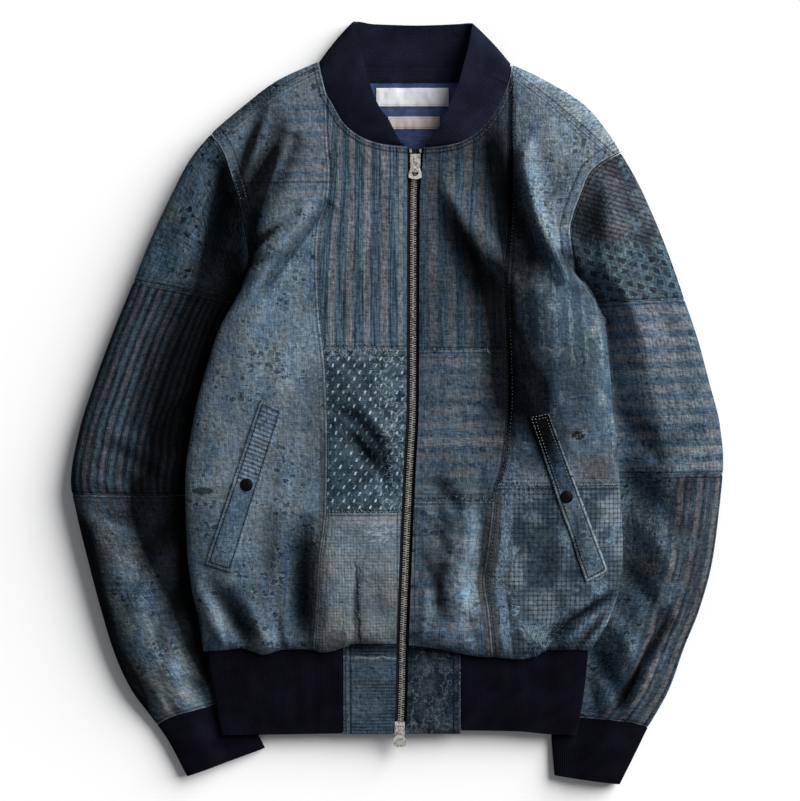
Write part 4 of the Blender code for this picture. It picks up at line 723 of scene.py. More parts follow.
# The unevenness of washed cloth: the size of its lumps, their rise and their seed.
CRUMPLES = dict(columns=("size", "rise", "seed"), rows=(
    (64, 1.7, 11),
    (27, 0.75, 12),
    (11, 0.30, 13)))


def crease_rise(table, x, y):
    """What a table's creases add to a surface at a plan point."""
    total = np.zeros(np.broadcast(x, y).shape)
    for x0, y0, x1, y1, bend, width, rise, lean in table["rows"]:
        run_x, run_y = x1 - x0, y1 - y0
        length = math.hypot(run_x, run_y)
        t = ((x - x0) * run_x + (y - y0) * run_y) / length ** 2
        t_in = np.clip(t, 0.0, 1.0)
        off = ((x - x0) * run_y - (y - y0) * run_x) / length - bend * 4 * t_in * (1 - t_in)
        reach = width * (1 - lean * np.tanh(off / width))
        beyond = (t - t_in) * length / width
        taper = np.clip(5 * t_in * (1 - t_in), 0.0, 1.0) ** 0.5
        total = total + rise * taper * np.exp(-(off / reach) ** 2 - beyond ** 2)
    return total


def spot_values(table, x, y):
    """How far a table's spots darken or lighten a cloth, mostly as painted shade and painted highlight
    and partly as fading, and brown it, at a plan point.
    """
    tone, brown = np.zeros(np.shape(x)), np.zeros(np.shape(x))
    for x0, y0, across_it, up_it, turn, darker, browner in table["rows"]:
        c, s = math.cos(math.radians(turn)), math.sin(math.radians(turn))
        a = ((x - x0) * c + (y - y0) * s) / across_it
        b = (-(x - x0) * s + (y - y0) * c) / up_it
        soft = np.exp(-(a * a + b * b))
        tone, brown = tone + darker * soft, brown + browner * soft
    return tone, brown


LATTICE = 64           # an uneven field repeats after this many lumps


def uneven(x, y, size, seed):
    """A smooth uneven field about -1 to 1 with lumps of one size."""
    lattice = np.random.default_rng(seed).uniform(-1, 1, (LATTICE, LATTICE))
    a, b = np.asarray(x) / size + 31.3, np.asarray(y) / size + 27.7
    i, j = np.floor(a).astype(int), np.floor(b).astype(int)
    s, t = ease(a - i), ease(b - j)

    def pick(p, q):
        return lattice[(i + p) % LATTICE, (j + q) % LATTICE]

    return ((1 - s) * ((1 - t) * pick(0, 0) + t * pick(0, 1))
            + s * ((1 - t) * pick(1, 0) + t * pick(1, 1)))


def crumple(x, y, amount=1.0):
    """The small soft unevenness of washed and worn cloth."""
    total = np.zeros(np.broadcast(x, y).shape)
    for size, rise, seed in CRUMPLES["rows"]:
        turned = 0.8 * x + 0.6 * y, -0.6 * x + 0.8 * y
        total = total + rise * uneven(*turned, size, seed)
    return amount * total


FAR = 99.0             # stands for no seam near
LEDGE = 0.55           # rise of the felled strips at the armholes and the neckline
LEDGE_END = 10.2       # how far out a strip ends
LEDGE_RUN = 1.2        # and over what width
LEAST_FRONT = 14.0     # no crease goes below this height
# What the felled strips lie beside: the line, its scale and the lowest y of its strip.
FELLED_ALONG = ((LEFT_ARMHOLE, 1.0, 158.0), (RIGHT_ARMHOLE, 1.0, 146.0),
                (LEFT_NECK, 1.8, 0.0), (RIGHT_NECK, 1.8, 0.0))


def trim_distance(x, y):
    """Distance from the armholes, and from the neckline at nearly twice the scale."""
    nearest = np.full(np.shape(x), FAR)
    for line, scale, end in FELLED_ALONG:
        for (x0, y0), (x1, y1) in zip(line[:-1], line[1:]):
            run = math.hypot(x1 - x0, y1 - y0)
            t = np.clip(((x - x0) * (x1 - x0) + (y - y0) * (y1 - y0)) / run ** 2, 0, 1)
            away = np.hypot(x - x0 - t * (x1 - x0), y - y0 - t * (y1 - y0))
            nearest = np.minimum(nearest, scale * away + 4.0 * np.maximum(end - y, 0.0))
    return nearest


def front_detail(x, y):
    """Creases and crumples of the front: none at its rolled sides or at the zip."""
    s, _ = side_fraction(BODY, x, y)
    free = (1 - s ** 10) * (1 - zip_hold(x, y))
    ledge = LEDGE * ease((LEDGE_END - trim_distance(x, y)) / LEDGE_RUN) * (1 - s ** 10)
    return free * (crease_rise(FRONT_CREASES, x, y) + crumple(x, y)) + ledge


def front_look(x, y):
    """Outer surface of the worn front."""
    return np.maximum(front_top(x, y) + front_detail(x, y), LEAST_FRONT)


def back_look(x, y):
    """Lower surface of the back, which its creases lift off the table."""
    s, _ = side_fraction(BODY, x, y)
    lift = np.maximum(-crease_rise(BACK_CREASES, x, y), 0.0) * (1 - s ** 4)
    return underside(BODY, x, y) + lift

# ------------------------------------------------------------------------ cloth shells

FRONT_CELL = 2.3       # mesh size of the front's cloth
SLEEVE_CELL = 2.6
BACK_CELL = 7.0
SEAM_DIP = 0.55        # how far the cloth sinks at a sewn edge
SEAM_REACH = 1.7       # within this distance of it
SHARP_ANGLE = 55.0     # edges sharper than this many degrees aren't smoothed
LEAST_AREA = 0.31      # a flat cut is at least this share of its length times its width
ROLL_STEPS = np.array([0, 0.25, 0.8, 1.7, 3.0, 4.7, 6.8, 9.3, 12.0])   # rows in from a rolled edge


def steps_of(length, cell, first_rolled=False, last_rolled=False):
    """Fractions of a length at about a cell apart, closer over a rolled end."""
    near = ROLL_STEPS / length
    low = near if first_rolled else np.array([SEAM / length])
    high = 1 - near[::-1] if last_rolled else np.array([1 - SEAM / length])
    count = max(2, round((high[0] - low[-1]) * length / cell))
    return np.concatenate([low, np.linspace(low[-1], high[0], count + 1)[1:-1], high])


def grid_normals(points, closed):
    """Unit normals of a grid of points, closed round or not."""
    if closed:
        du = np.roll(points, -1, axis=1) - np.roll(points, 1, axis=1)
    else:
        du = np.gradient(points, axis=1, edge_order=2)
    return unit(np.cross(du, np.gradient(points, axis=0, edge_order=2)))


def lengths_along(points, axis):
    """Running length of a grid's lines, from 0."""
    run = np.linalg.norm(np.diff(points, axis=axis), axis=-1)
    pad = [(0, 0), (0, 0)]
    pad[axis] = (1, 0)
    return np.pad(np.cumsum(run, axis=axis), pad)


def seam_distance(points, closed=False, free=()):
    """Distance of each point of a piece from its nearest sewn edge."""
    down = lengths_along(points, 0)
    edges = {"bottom": down, "top": down[-1:] - down}
    if not closed:
        over = lengths_along(points, 1)
        edges.update(left=over, right=over[:, -1:] - over)
    kept = [value for name, value in edges.items() if name not in free]
    return np.minimum.reduce(kept)


def looks_inward(faces, points, normals):
    """Whether most faces look away from the normals of their first corners."""
    a, b, d = (points[faces[:, k]] for k in (0, 1, 3))
    looks = np.einsum("ij,ij->i", np.cross(b - a, d - a), normals[faces[:, 0]])
    return np.median(looks) < 0


def shell(name, points, out, thickness, cloth_uv, fields, finish, closed=False):
    """A thin closed wall of cloth: its face is a grid of points and its back lies inside it.

    cloth_uv holds each point's place on the cloth in millimetres; fields are named numbers.
    """
    rows, columns = points.shape[:2]
    spans = columns if closed else columns - 1
    n = rows * columns
    i, j = np.meshgrid(np.arange(rows - 1), np.arange(spans), indexing="ij")
    k = (j + 1) % columns
    face = np.stack([i * columns + j, i * columns + k, (i + 1) * columns + k,
                     (i + 1) * columns + j], -1).reshape(-1, 4)
    corner = np.stack([j, j + 1, j + 1, j], -1).reshape(-1, 4)
    corner_row = np.stack([i, i, i + 1, i + 1], -1).reshape(-1, 4)
    flat, flat_out = points.reshape(-1, 3), out.reshape(-1, 3)
    turned = looks_inward(face, flat, flat_out)
    if turned:
        face, corner, corner_row = face[:, ::-1], corner[:, ::-1], corner_row[:, ::-1]
    quads = [face, face[:, ::-1] + n]
    places = [(corner_row, corner), (corner_row[:, ::-1], corner[:, ::-1])]

    def rim(a, b, row_a, col_a, row_b, col_b):
        sides = [np.stack([b, a, a + n, b + n], -1),
                 np.stack([row_b, row_a, row_a, row_b], -1),
                 np.stack([col_b, col_a, col_a, col_b], -1)]
        if turned:
            sides = [side[:, ::-1] for side in sides]
        quads.append(sides[0])
        places.append(sides[1:])

    j = np.arange(spans)
    k = (j + 1) % columns
    zero, last = np.zeros(spans, int), np.full(spans, rows - 1)
    rim(j, k, zero, j, zero, j + 1)
    rim(last * columns + k, last * columns + j, last, j + 1, last, j)
    if not closed:
        i = np.arange(rows - 1)
        side, zero = np.full(rows - 1, columns - 1), np.zeros(rows - 1, int)
        rim((i + 1) * columns, i * columns, i + 1, zero, i, zero)
        rim(i * columns + side, (i + 1) * columns + side, i, side, i + 1, side)
    quads = np.concatenate(quads)
    row_of = np.concatenate([a for a, _ in places])
    col_of = np.concatenate([b for _, b in places])
    mesh = bpy.data.meshes.new(name)
    both = np.concatenate([flat, flat - flat_out * thickness]) * MM
    mesh.vertices.add(len(both))
    mesh.vertices.foreach_set("co", both.ravel())
    mesh.loops.add(quads.size)
    mesh.loops.foreach_set("vertex_index", quads.ravel())
    mesh.polygons.add(len(quads))
    mesh.polygons.foreach_set("loop_start", np.arange(0, quads.size, 4))
    layer = mesh.uv_layers.new(name="cloth")
    layer.data.foreach_set("uv", (cloth_uv[row_of, col_of] * MM).ravel())
    for field, values in fields.items():
        attribute = mesh.attributes.new(field, "FLOAT", "POINT")
        attribute.data.foreach_set("value", np.tile(np.ravel(values), 2))
    mesh.update(calc_edges=True)
    mesh.validate()
    mesh.shade_smooth()
    mesh.set_sharp_from_angle(angle=math.radians(SHARP_ANGLE))
    mesh.materials.append(finish)
    piece = bpy.data.objects.new(name, mesh)
    bpy.context.collection.objects.link(piece)
    return piece


def declare(piece, nodes, points, closed=False):
    """Sets a cloth piece on the jacket in place of its solids, and works out its flat cut, which it
    then leaves unused.
    """
    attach(piece, "jacket")
    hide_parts(*nodes)
    ring = np.concatenate([points, points[:, :1]], axis=1) if closed else points
    over, down = lengths_along(ring, 1)[:, -1], lengths_along(ring, 0)[-1]
    du, dv = np.diff(ring, axis=1)[:-1], np.diff(ring, axis=0)[:, :-1]
    area = np.linalg.norm(np.cross(du, dv), axis=-1).sum() * MM * MM
    flat = (float(over.max()) * MM, float(down.max()) * MM)
    area = float(np.clip(area, LEAST_AREA * flat[0] * flat[1], flat[0] * flat[1]))


def cloth_piece(node, plan, height, thickness, finish, up_side=1, spots=SPOTS, lift=0.0,
                free=(), zip_side=0, detail=None):
    """A piece over plan points, its face at a height, lift outside it, looking up or down.

    zip_side says which end of its rows its cloth is measured from: -1 left, 1 right.
    """
    x, y = plan[..., 0], plan[..., 1]
    base = lifted(plan, height(x, y))
    out = grid_normals(base, False)
    out = out * np.where(np.median(out[..., 2]) * up_side < 0, -1.0, 1.0)
    edge = seam_distance(base, free=free)
    dip = SEAM_DIP * np.exp(-(edge / SEAM_REACH) ** 2)
    points = base + out * (lift - dip)[..., None]
    over = lengths_along(base, 1)
    u = x[:, :1] + over if zip_side < 0 else x[:, -1:] - (over[:, -1:] - over)
    tone, brown = spot_values(spots, x, y)
    # Crease and crumple heights: in the colour they make ridges paler as worn cloth and troughs darker
    # as painted shade.
    wear_and_crease_shade = front_detail(x, y) if detail is None else detail(x, y)
    inset = np.minimum(abs(x - across(LEFT_SEAM, y)), abs(x - across(RIGHT_SEAM, y)))
    fields = dict(tone=tone, brown=brown, wear_and_crease_shade=wear_and_crease_shade, edge=edge, inset=inset, trim=trim_distance(x, y))
    piece = shell(node + "_cloth", points, out, thickness, np.stack([u, y], -1), fields, finish)
    declare(piece, [node], points)


# ------------------------------------------------------------------------ body panels

# Runs that set how many rows and columns a piece has.
COLUMN_RUN = 88.0
SIDE_RUN = 125.0
YOKE_RUN = 130.0
BACK_RUN = 400.0
SLEEVE_RUN = 640.0
ZIP_HEM_Y = -242.0     # the hem by the zip


def zip_edge(sign):
    """x of a front's edge along the zip; sign is -1 for the left front."""
    return lambda y: read(ZIP, "x", y) + sign * read(ZIP, "gap", y)


def seam_of(line):
    """x of a column seam."""
    return lambda y: across(line, y)


def side_of(side):
    """x of the body's left or right edge."""
    return lambda y: read(BODY, side, y)


def seam_foot(seam):
    """y of a column seam's lower end."""
    return float(hem_line(seam_of(seam)(HEM_BACK_Y)))


def front_column(pieces, neck, seam, sign, breaks):
    """The three patches beside the zip, from the hem to the neckline."""
    levels = [seam_foot(seam), breaks[1], breaks[0], seam[0][1]]
    zip_foot = float(hem_line(zip_edge(sign)(ZIP_HEM_Y)))
    zip_levels = [zip_foot, breaks[1], breaks[0], neck[0][1]]
    inner_neck = [point for point in neck if point[1] <= seam[0][1]]
    for k, (name, slot, finish) in enumerate(pieces):
        v = steps_of(levels[k + 1] - levels[k], FRONT_CELL, first_rolled=k == 0)
        seam_y = levels[k] + (levels[k + 1] - levels[k]) * v
        zip_y = zip_levels[k] + (zip_levels[k + 1] - zip_levels[k]) * v
        near, far = on(zip_edge(sign), zip_y), on(seam_of(seam), seam_y)
        ends = [(on(zip_edge(sign), np.array([a]))[0], on(seam_of(seam), np.array([b]))[0])
                for a, b in zip(zip_levels[k:k + 2], levels[k:k + 2])]
        bottom, top = straight(*ends[0]), straight(*ends[1])
        if k == 0:
            bottom = crossing(hem_line, ends[0][0][0], ends[0][1][0])
        if k == 2:
            top = lambda t: along(inner_neck, t)
        if sign < 0:
            near, far, bottom, top = far, near, backwards(bottom), backwards(top)
        u = steps_of(COLUMN_RUN, FRONT_CELL)
        free = (("right",) if sign < 0 else ("left",)) + (("bottom",) if k == 0 else ())
        cloth_piece(name, patch(bottom, top, near, far, u, v), front_look, CLOTH, finish,
                    free=free, zip_side=-sign)


def backwards(line):
    """A line read from its other end."""
    return lambda t: line(1 - np.asarray(t))


def shoulder(side, tip_y, neck_y):
    """Points of a shoulder fold, from its tip to the neck."""
    return on(side_of(side), np.linspace(tip_y, neck_y, 33))


LEFT_SHOULDER = shoulder("left", LEFT_ARMHOLE[-1][1], LEFT_NECK[-1][1])
RIGHT_SHOULDER = shoulder("right", RIGHT_ARMHOLE[-1][1], RIGHT_NECK[-1][1])[::-1]
HOLE_TIP = 0.067       # the forward seam meets the armhole this far from its tip


def armhole_run(armhole, sign, count, end):
    """Armhole points from the armpit up, drawn in for their seam."""
    t = np.linspace(1.0, end, count)
    line = armhole[::-1]
    run = unit(along(line, t + 0.01) - along(line, t - 0.01))
    inward = sign * np.stack([run[:, 1], -run[:, 0]], axis=-1)
    return along(line, t) + inward * 2 * SEAM * (t > 0)[:, None]


def by_length(points):
    """Fractions of the length of a run of points."""
    steps = np.linalg.norm(np.diff(points, axis=0), axis=1)
    return np.concatenate([[0.0], np.cumsum(steps)]) / steps.sum()


def side_front(name, finish, seam, side, armhole, forward, seam_top, sign, low):
    """A side panel of the front, from a low level up to its forward seam."""
    rolled = low < HEM_BACK_Y
    armpit = armhole[0][1]
    side_v = steps_of(armpit - low, FRONT_CELL, first_rolled=rolled)
    outer = np.concatenate([on(side_of(side), low + (armpit - low) * side_v[:-1]),
                            armhole_run(armhole, sign, 60, HOLE_TIP)])
    seam_low = seam_foot(seam) if rolled else low
    seam_line = on(seam_of(seam), np.linspace(seam_low, seam_top, 160))
    neck_end = forward[-1] if sign < 0 else forward[0]
    v = by_length(outer)
    inner = resampled(np.concatenate([seam_line, [neck_end]]), v)
    u = steps_of(SIDE_RUN, FRONT_CELL, first_rolled=True)
    if rolled:
        bottom = crossing(hem_line, outer[0][0], inner[0][0])
    else:
        bottom = straight(outer[0], inner[0])
    near, far = outer.copy(), inner.copy()
    if sign > 0:
        u = 1 - u[::-1]
        near, far, bottom = far, near, backwards(bottom)
    for edge in (near, far):
        run = edge[-1] - edge[-2]
        edge[-1] = edge[-1] - run / np.linalg.norm(run) * SEAM
        if not rolled:
            edge[0][1] += SEAM
    plan = patch(bottom, lambda t: along(forward, t), near, far, u, v)
    if not rolled:
        plan[0, :, 1] += SEAM
    free = (("left",) if sign < 0 else ("right",)) + (("bottom",) if rolled else ())
    cloth_piece(name, plan, front_look, CLOTH, finish, free=free, zip_side=-sign)


def resampled(points, fraction):
    """The points of a run at fractions of its length."""
    reach = by_length(np.asarray(points))
    return np.stack([np.interp(fraction, reach, np.asarray(points)[:, k]) for k in (0, 1)], -1)


def gingham_panel(name, finish):
    """The checked patch at the lower right side."""
    side_low, seam_low = RIGHT_HEM[-1][1], seam_foot(RIGHT_SEAM)
    v = steps_of(SIDE_PATCH_Y - seam_low, FRONT_CELL, first_rolled=True)
    near = on(seam_of(RIGHT_SEAM), seam_low + (SIDE_PATCH_Y - seam_low) * v)
    far = on(side_of("right"), side_low + (SIDE_PATCH_Y - side_low) * v)
    middle = straight((float(seam_of(RIGHT_SEAM)(SIDE_PATCH_Y)), SIDE_PATCH_Y),
                      (float(read(BODY, "right", SIDE_PATCH_Y)), SIDE_PATCH_Y))
    u = 1 - steps_of(SIDE_RUN, FRONT_CELL, first_rolled=True)[::-1]
    plan = patch(crossing(hem_line, near[0][0], far[0][0]), middle, near, far, u, v)
    cloth_piece(name, plan, front_look, CLOTH, finish, free=("right", "bottom"), zip_side=-1)


def yokes(finishes):
    """The strips of the back that come forward over the shoulders."""
    v = np.concatenate([np.linspace(0.02, 0.9, 8), [0.94, 0.97, 0.99, 1.0]])
    for name, seam, fold, left in (("yoke_left", LEFT_FORWARD_SEAM, LEFT_SHOULDER, True),
                                   ("yoke_right", RIGHT_FORWARD_SEAM, RIGHT_SHOULDER, False)):
        u = steps_of(YOKE_RUN, FRONT_CELL, first_rolled=left, last_rolled=not left)
        u = np.clip(u, SEAM / YOKE_RUN, 1 - SEAM / YOKE_RUN)
        ends = [along(line, np.array([0.0, 1.0])) for line in (seam, fold)]
        near, far = straight(ends[0][0], ends[1][0]), straight(ends[0][1], ends[1][1])
        plan = patch(lambda t: along(seam, t), lambda t: along(fold, t), near(v), far(v), u, v)
        cloth_piece(name, plan, front_look, CLOTH, finishes[left], free=("top",),
                    zip_side=1 if left else -1)


UNDERARM_OUT = 2.8     # the back reaches this far under a sleeve at the armpit
UNDERARM_RUN = 30.0


def back_panel(finish):
    """The whole back, from the waistband to the shoulders and the back of the neck."""
    top = np.concatenate([LEFT_SHOULDER[:-1], BACK_NECK, RIGHT_SHOULDER[1:]])
    sides = []
    for side, hole, sign in (("left", LEFT_ARMHOLE, -1), ("right", RIGHT_ARMHOLE, 1)):
        heights = np.linspace(HEM_BACK_Y + SEAM, hole[0][1], 90)[:-1]
        sides.append(np.concatenate([on(side_of(side), heights), armhole_run(hole, sign, 30, 0.0)]))
    u = steps_of(BACK_RUN, BACK_CELL, first_rolled=True, last_rolled=True)
    v = by_length(sides[0])
    plan = patch(straight(sides[0][0], sides[1][0]), lambda t: along(top, t), *sides, u, v)
    for hole, sign, end in ((LEFT_ARMHOLE, -1, 1 - u), (RIGHT_ARMHOLE, 1, u)):
        near = np.exp(-((plan[..., 1] - hole[0][1]) / UNDERARM_RUN) ** 2)
        plan[..., 0] = plan[..., 0] + sign * UNDERARM_OUT * near * end[None] ** 8
    # The back takes the left sleeve's spots, with their painted shade and highlights, where it shows
    # beside that sleeve.
    cloth_piece("back_panel", plan, back_look, CLOTH, finish, up_side=-1,
                spots=LEFT_SLEEVE_SPOTS, free=("left", "right"), zip_side=-1,
                detail=lambda x, y: crease_rise(BACK_CREASES, x, y) + crumple(x, y))


# ------------------------------------------------------------------ sleeves and cuffs

TURN_START = math.pi   # a sleeve's rows start at its inner edge and run under it first
SLEEVE_START = 0.0015  # its first row, just off the armhole
TWO_WIDTHS = 260.0     # creases begin halfway across the part of a sleeve that is hidden
UNDER_SHARE = 0.35     # its underside has this share of the points of its top


def tube_grid(table, plan_of, turn, v):
    """Plan, height, which side, and the fractions of a sleeve's or cuff's surface."""
    u = (1 - np.cos(turn)) / 2
    above = np.sin(turn) >= -1e-9
    plan = plan_of(u, v)
    width = np.linalg.norm(plan_of(np.ones_like(u), v) - plan_of(np.zeros_like(u), v), axis=-1)
    top, bottom = sleeve_height(table, u, v, width)
    return plan, np.where(above, top, bottom), above, u


def sleeve_surface(table, hole, seam, creases, turn, v):
    """A sleeve's surface, which takes the body's own heights at the armhole."""
    def plan_of(u, v):
        return sleeve_plan(table, hole, seam, u, v)

    plan, height, above, u = tube_grid(table, plan_of, turn, v)
    at_hole = along(hole, u)
    x, y = at_hole[..., 0], at_hole[..., 1]
    body = np.where(above, front_look(x, y), underside(BODY, x, y))
    height = height + (body - height) * ease(1 - v / ARMHOLE_END)
    x, y = plan[..., 0], plan[..., 1]
    rolled = np.sin(turn) ** 2
    detail = crease_rise(creases, x, y) + crumple(x, y, 1.15)
    lap = read(table, "lap", v) / TWO_WIDTHS
    shown = ease((1 - u - lap) / 0.10 + 0.3)
    worn_in = ease(v / 0.05) * rolled * np.where(above, shown, 0.25 * rolled)
    top = height + detail * worn_in
    top = np.where(above, top, np.maximum(height, 0.0))
    return lifted(plan, np.maximum(top, 0.0)), detail * rolled, above


def turns(table, cell, middle):
    """Angles round a sleeve whose points are about a cell apart."""
    even = np.linspace(0, 2 * math.pi, 721)
    v = np.full(721, middle)
    ox, oy = read(table, "ox", v), read(table, "oy", v)
    ix, iy = read(table, "ix", v), read(table, "iy", v)
    u = (1 - np.cos(even)) / 2
    plan = np.stack([ox + (ix - ox) * u, oy + (iy - oy) * u], -1)
    top, bottom = sleeve_height(table, u, v, np.hypot(ix - ox, iy - oy))
    points = lifted(plan, np.where(np.sin(even) >= 0, top, bottom))
    reach = lengths_along(points[None], 1)[0]
    under = UNDER_SHARE + (1 - UNDER_SHARE) * (even < math.pi)
    weight = np.concatenate([[0], np.cumsum(np.diff(reach) * under[1:])])
    count = round(weight[-1] / cell)
    return np.interp(np.linspace(0, weight[-1], count + 1), weight, even)[:-1]


def under_first(turn):
    """Angles that start at the inner edge and run under before they come over."""
    return np.concatenate([turn[turn >= TURN_START], turn[turn < TURN_START] + 2 * math.pi])


def facing_out(points):
    """Unit normals of a closed tube of points, looking out of it."""
    out = grid_normals(points, True)
    away = points - points.mean(axis=1, keepdims=True)
    return -out if np.einsum("ijk,ijk->", out, away) < 0 else out


def sleeve_piece(node, table, hole, seam, creases, spots, low, high, slot, finish):
    """One patch of a sleeve."""
    turn = under_first(turns(table, SLEEVE_CELL, (low + high) / 2))
    rows = steps_of((high - low) * SLEEVE_RUN, SLEEVE_CELL) * (high - low) + low
    grid_turn, v = np.meshgrid(turn, rows)
    points, wear_and_crease_shade, above = sleeve_surface(table, hole, seam, creases, grid_turn, v)
    out = facing_out(points)
    edge = seam_distance(points, closed=True)
    points = points - out * (SEAM_DIP * np.exp(-(edge / SEAM_REACH) ** 2))[..., None]
    points[..., 2] = np.maximum(points[..., 2], 0.0)
    ring = np.concatenate([points, points[:, :1]], axis=1)
    over = lengths_along(ring, 1)
    outer = np.argmin(np.abs(turn - 2 * math.pi))
    across_cloth = over - over[:, outer:outer + 1]
    middle = lengths_along((points[:, :1] + points[:, outer:outer + 1]) / 2, 0)
    along_cloth = np.repeat(middle, ring.shape[1], axis=1) + low * SLEEVE_RUN
    # The spots paint shade and highlights on the sleeve's top only.
    tone, brown = spot_values(spots, points[..., 0], points[..., 1])
    fields = dict(tone=tone * above, brown=brown * above, wear_and_crease_shade=wear_and_crease_shade, edge=edge,
                  trim=np.full(edge.shape, FAR))
    uv = np.stack([across_cloth, along_cloth], -1)
    piece = shell(node + "_cloth", points, out, CLOTH, uv, fields, finish, closed=True)
    declare(piece, [node], points, closed=True)


# What each sleeve is made from, in the order that sleeve_piece takes it.
LEFT_SLEEVE = (SLEEVE_LEFT, LEFT_ARMHOLE[::-1], LEFT_CUFF_SEAM)
LEFT_SLEEVE += (LEFT_SLEEVE_CREASES, LEFT_SLEEVE_SPOTS)
RIGHT_SLEEVE = (SLEEVE_RIGHT, RIGHT_ARMHOLE[::-1], RIGHT_CUFF_SEAM)
RIGHT_SLEEVE += (RIGHT_SLEEVE_CREASES, RIGHT_SLEEVE_SPOTS)


def sleeves(finishes):
    """Both sleeves, patch by patch."""
    levels = (SLEEVE_START, *SLEEVE_PATCHES, 1.0)
    for side, forms in (("left", LEFT_SLEEVE), ("right", RIGHT_SLEEVE)):
        for k, part in enumerate(("upper", "middle", "lower")):
            slot, finish = finishes[side, part]
            sleeve_piece(f"sleeve_{side}_{part}", *forms, levels[k], levels[k + 1], slot, finish)


# ------------------------------------------------------------------------------ knits

RIB_PITCH = 2.3        # from one rib of the knit to the next
RIB_DEPTH = 0.42
RIB_CELL = 0.575       # four points to a rib


def ribbed(points, out, along_it):
    """Raises the ribs of a knit on a surface; along_it counts in millimetres across them."""
    wave = np.abs(np.sin(np.pi * along_it / RIB_PITCH))
    return points + out * (RIB_DEPTH * (wave - 1.0))[..., None]


def knit_piece(node, points, out, along_it, uv, finish, closed=False):
    """A ribbed knit over a surface."""
    edge = seam_distance(points, closed=closed)
    points = ribbed(points, out, along_it)
    flat = np.zeros(points.shape[:2])
    fields = dict(tone=flat, brown=flat, wear_and_crease_shade=flat, edge=edge)
    piece = shell(node + "_knit", points, out, KNIT - RIB_DEPTH, uv, fields, finish, closed)
    declare(piece, [node], points, closed)


def cuffs(finish):
    """Both cuffs, with a slight waist below the seam that gathers the sleeve."""
    for side, table, seam in (("left", CUFF_LEFT, LEFT_CUFF_SEAM),
                              ("right", CUFF_RIGHT, RIGHT_CUFF_SEAM)):
        def plan_of(u, v):
            outer = np.stack([read(table, "ox", v), read(table, "oy", v)], axis=-1)
            inner = np.stack([read(table, "ix", v), read(table, "iy", v)], axis=-1)
            ends = along(seam, np.array([0.0, 1.0]))
            bow = along(seam, u) - ends[0] - (ends[1] - ends[0]) * u[..., None]
            return outer + (inner - outer) * u[..., None] + bow * (1 - v)[..., None]
        turn = under_first(turns(table, RIB_CELL, 0.5))
        count = len(turn) - len(turn) % 4
        turn = np.interp(np.arange(count) * len(turn) / count, np.arange(len(turn)), turn)
        grid_turn, v = np.meshgrid(turn, np.concatenate([[0.004, 0.02], np.linspace(0.05, 1, 18)]))
        plan, height, above, u = tube_grid(table, plan_of, grid_turn, v)
        puff = 0.9 * np.sin(np.pi * v) * np.sin(grid_turn)
        puff = puff + 0.5 * uneven(plan[..., 0], plan[..., 1], 15.0, 21) * (above & (v > 0.1))
        height = np.maximum(height + np.where(above, puff, 0.0), 0.0)
        points = lifted(plan, height)
        out = facing_out(points)
        ring = np.concatenate([points, points[:, :1]], axis=1)
        uv = np.stack([lengths_along(ring, 1), np.pad(lengths_along(points, 0), ((0, 0), (0, 1)),
                                                      mode="edge")], -1)
        ribs = np.broadcast_to(np.arange(count) * RIB_CELL, points.shape[:2])
        knit_piece(f"cuff_{side}", points, out, ribs, uv, finish, closed=True)


BAND_SIDE = 133.0      # from a tab to the waistband's side
BAND_RIBBED = 121.0    # of it, the run whose ribs are modelled
BAND_ROLLED = np.array([9.0, 6.6, 4.6, 3.0, 1.7, 0.8, 0.2, 0.0])   # rows in from its rolled side
BAND_BACK = 370.0      # from side to side under the waistband
BAND_FOOT_Y = -333.0
BACK_ROLLED = np.array([0.4, 1.2, 2.4, 4.0, 6.0])
BAND_ROWS = np.concatenate([[0.0, 0.01, 0.03, 0.06], np.linspace(0.1, 0.94, 14),
                            [0.97, 0.99, 1.0]])[:, None]


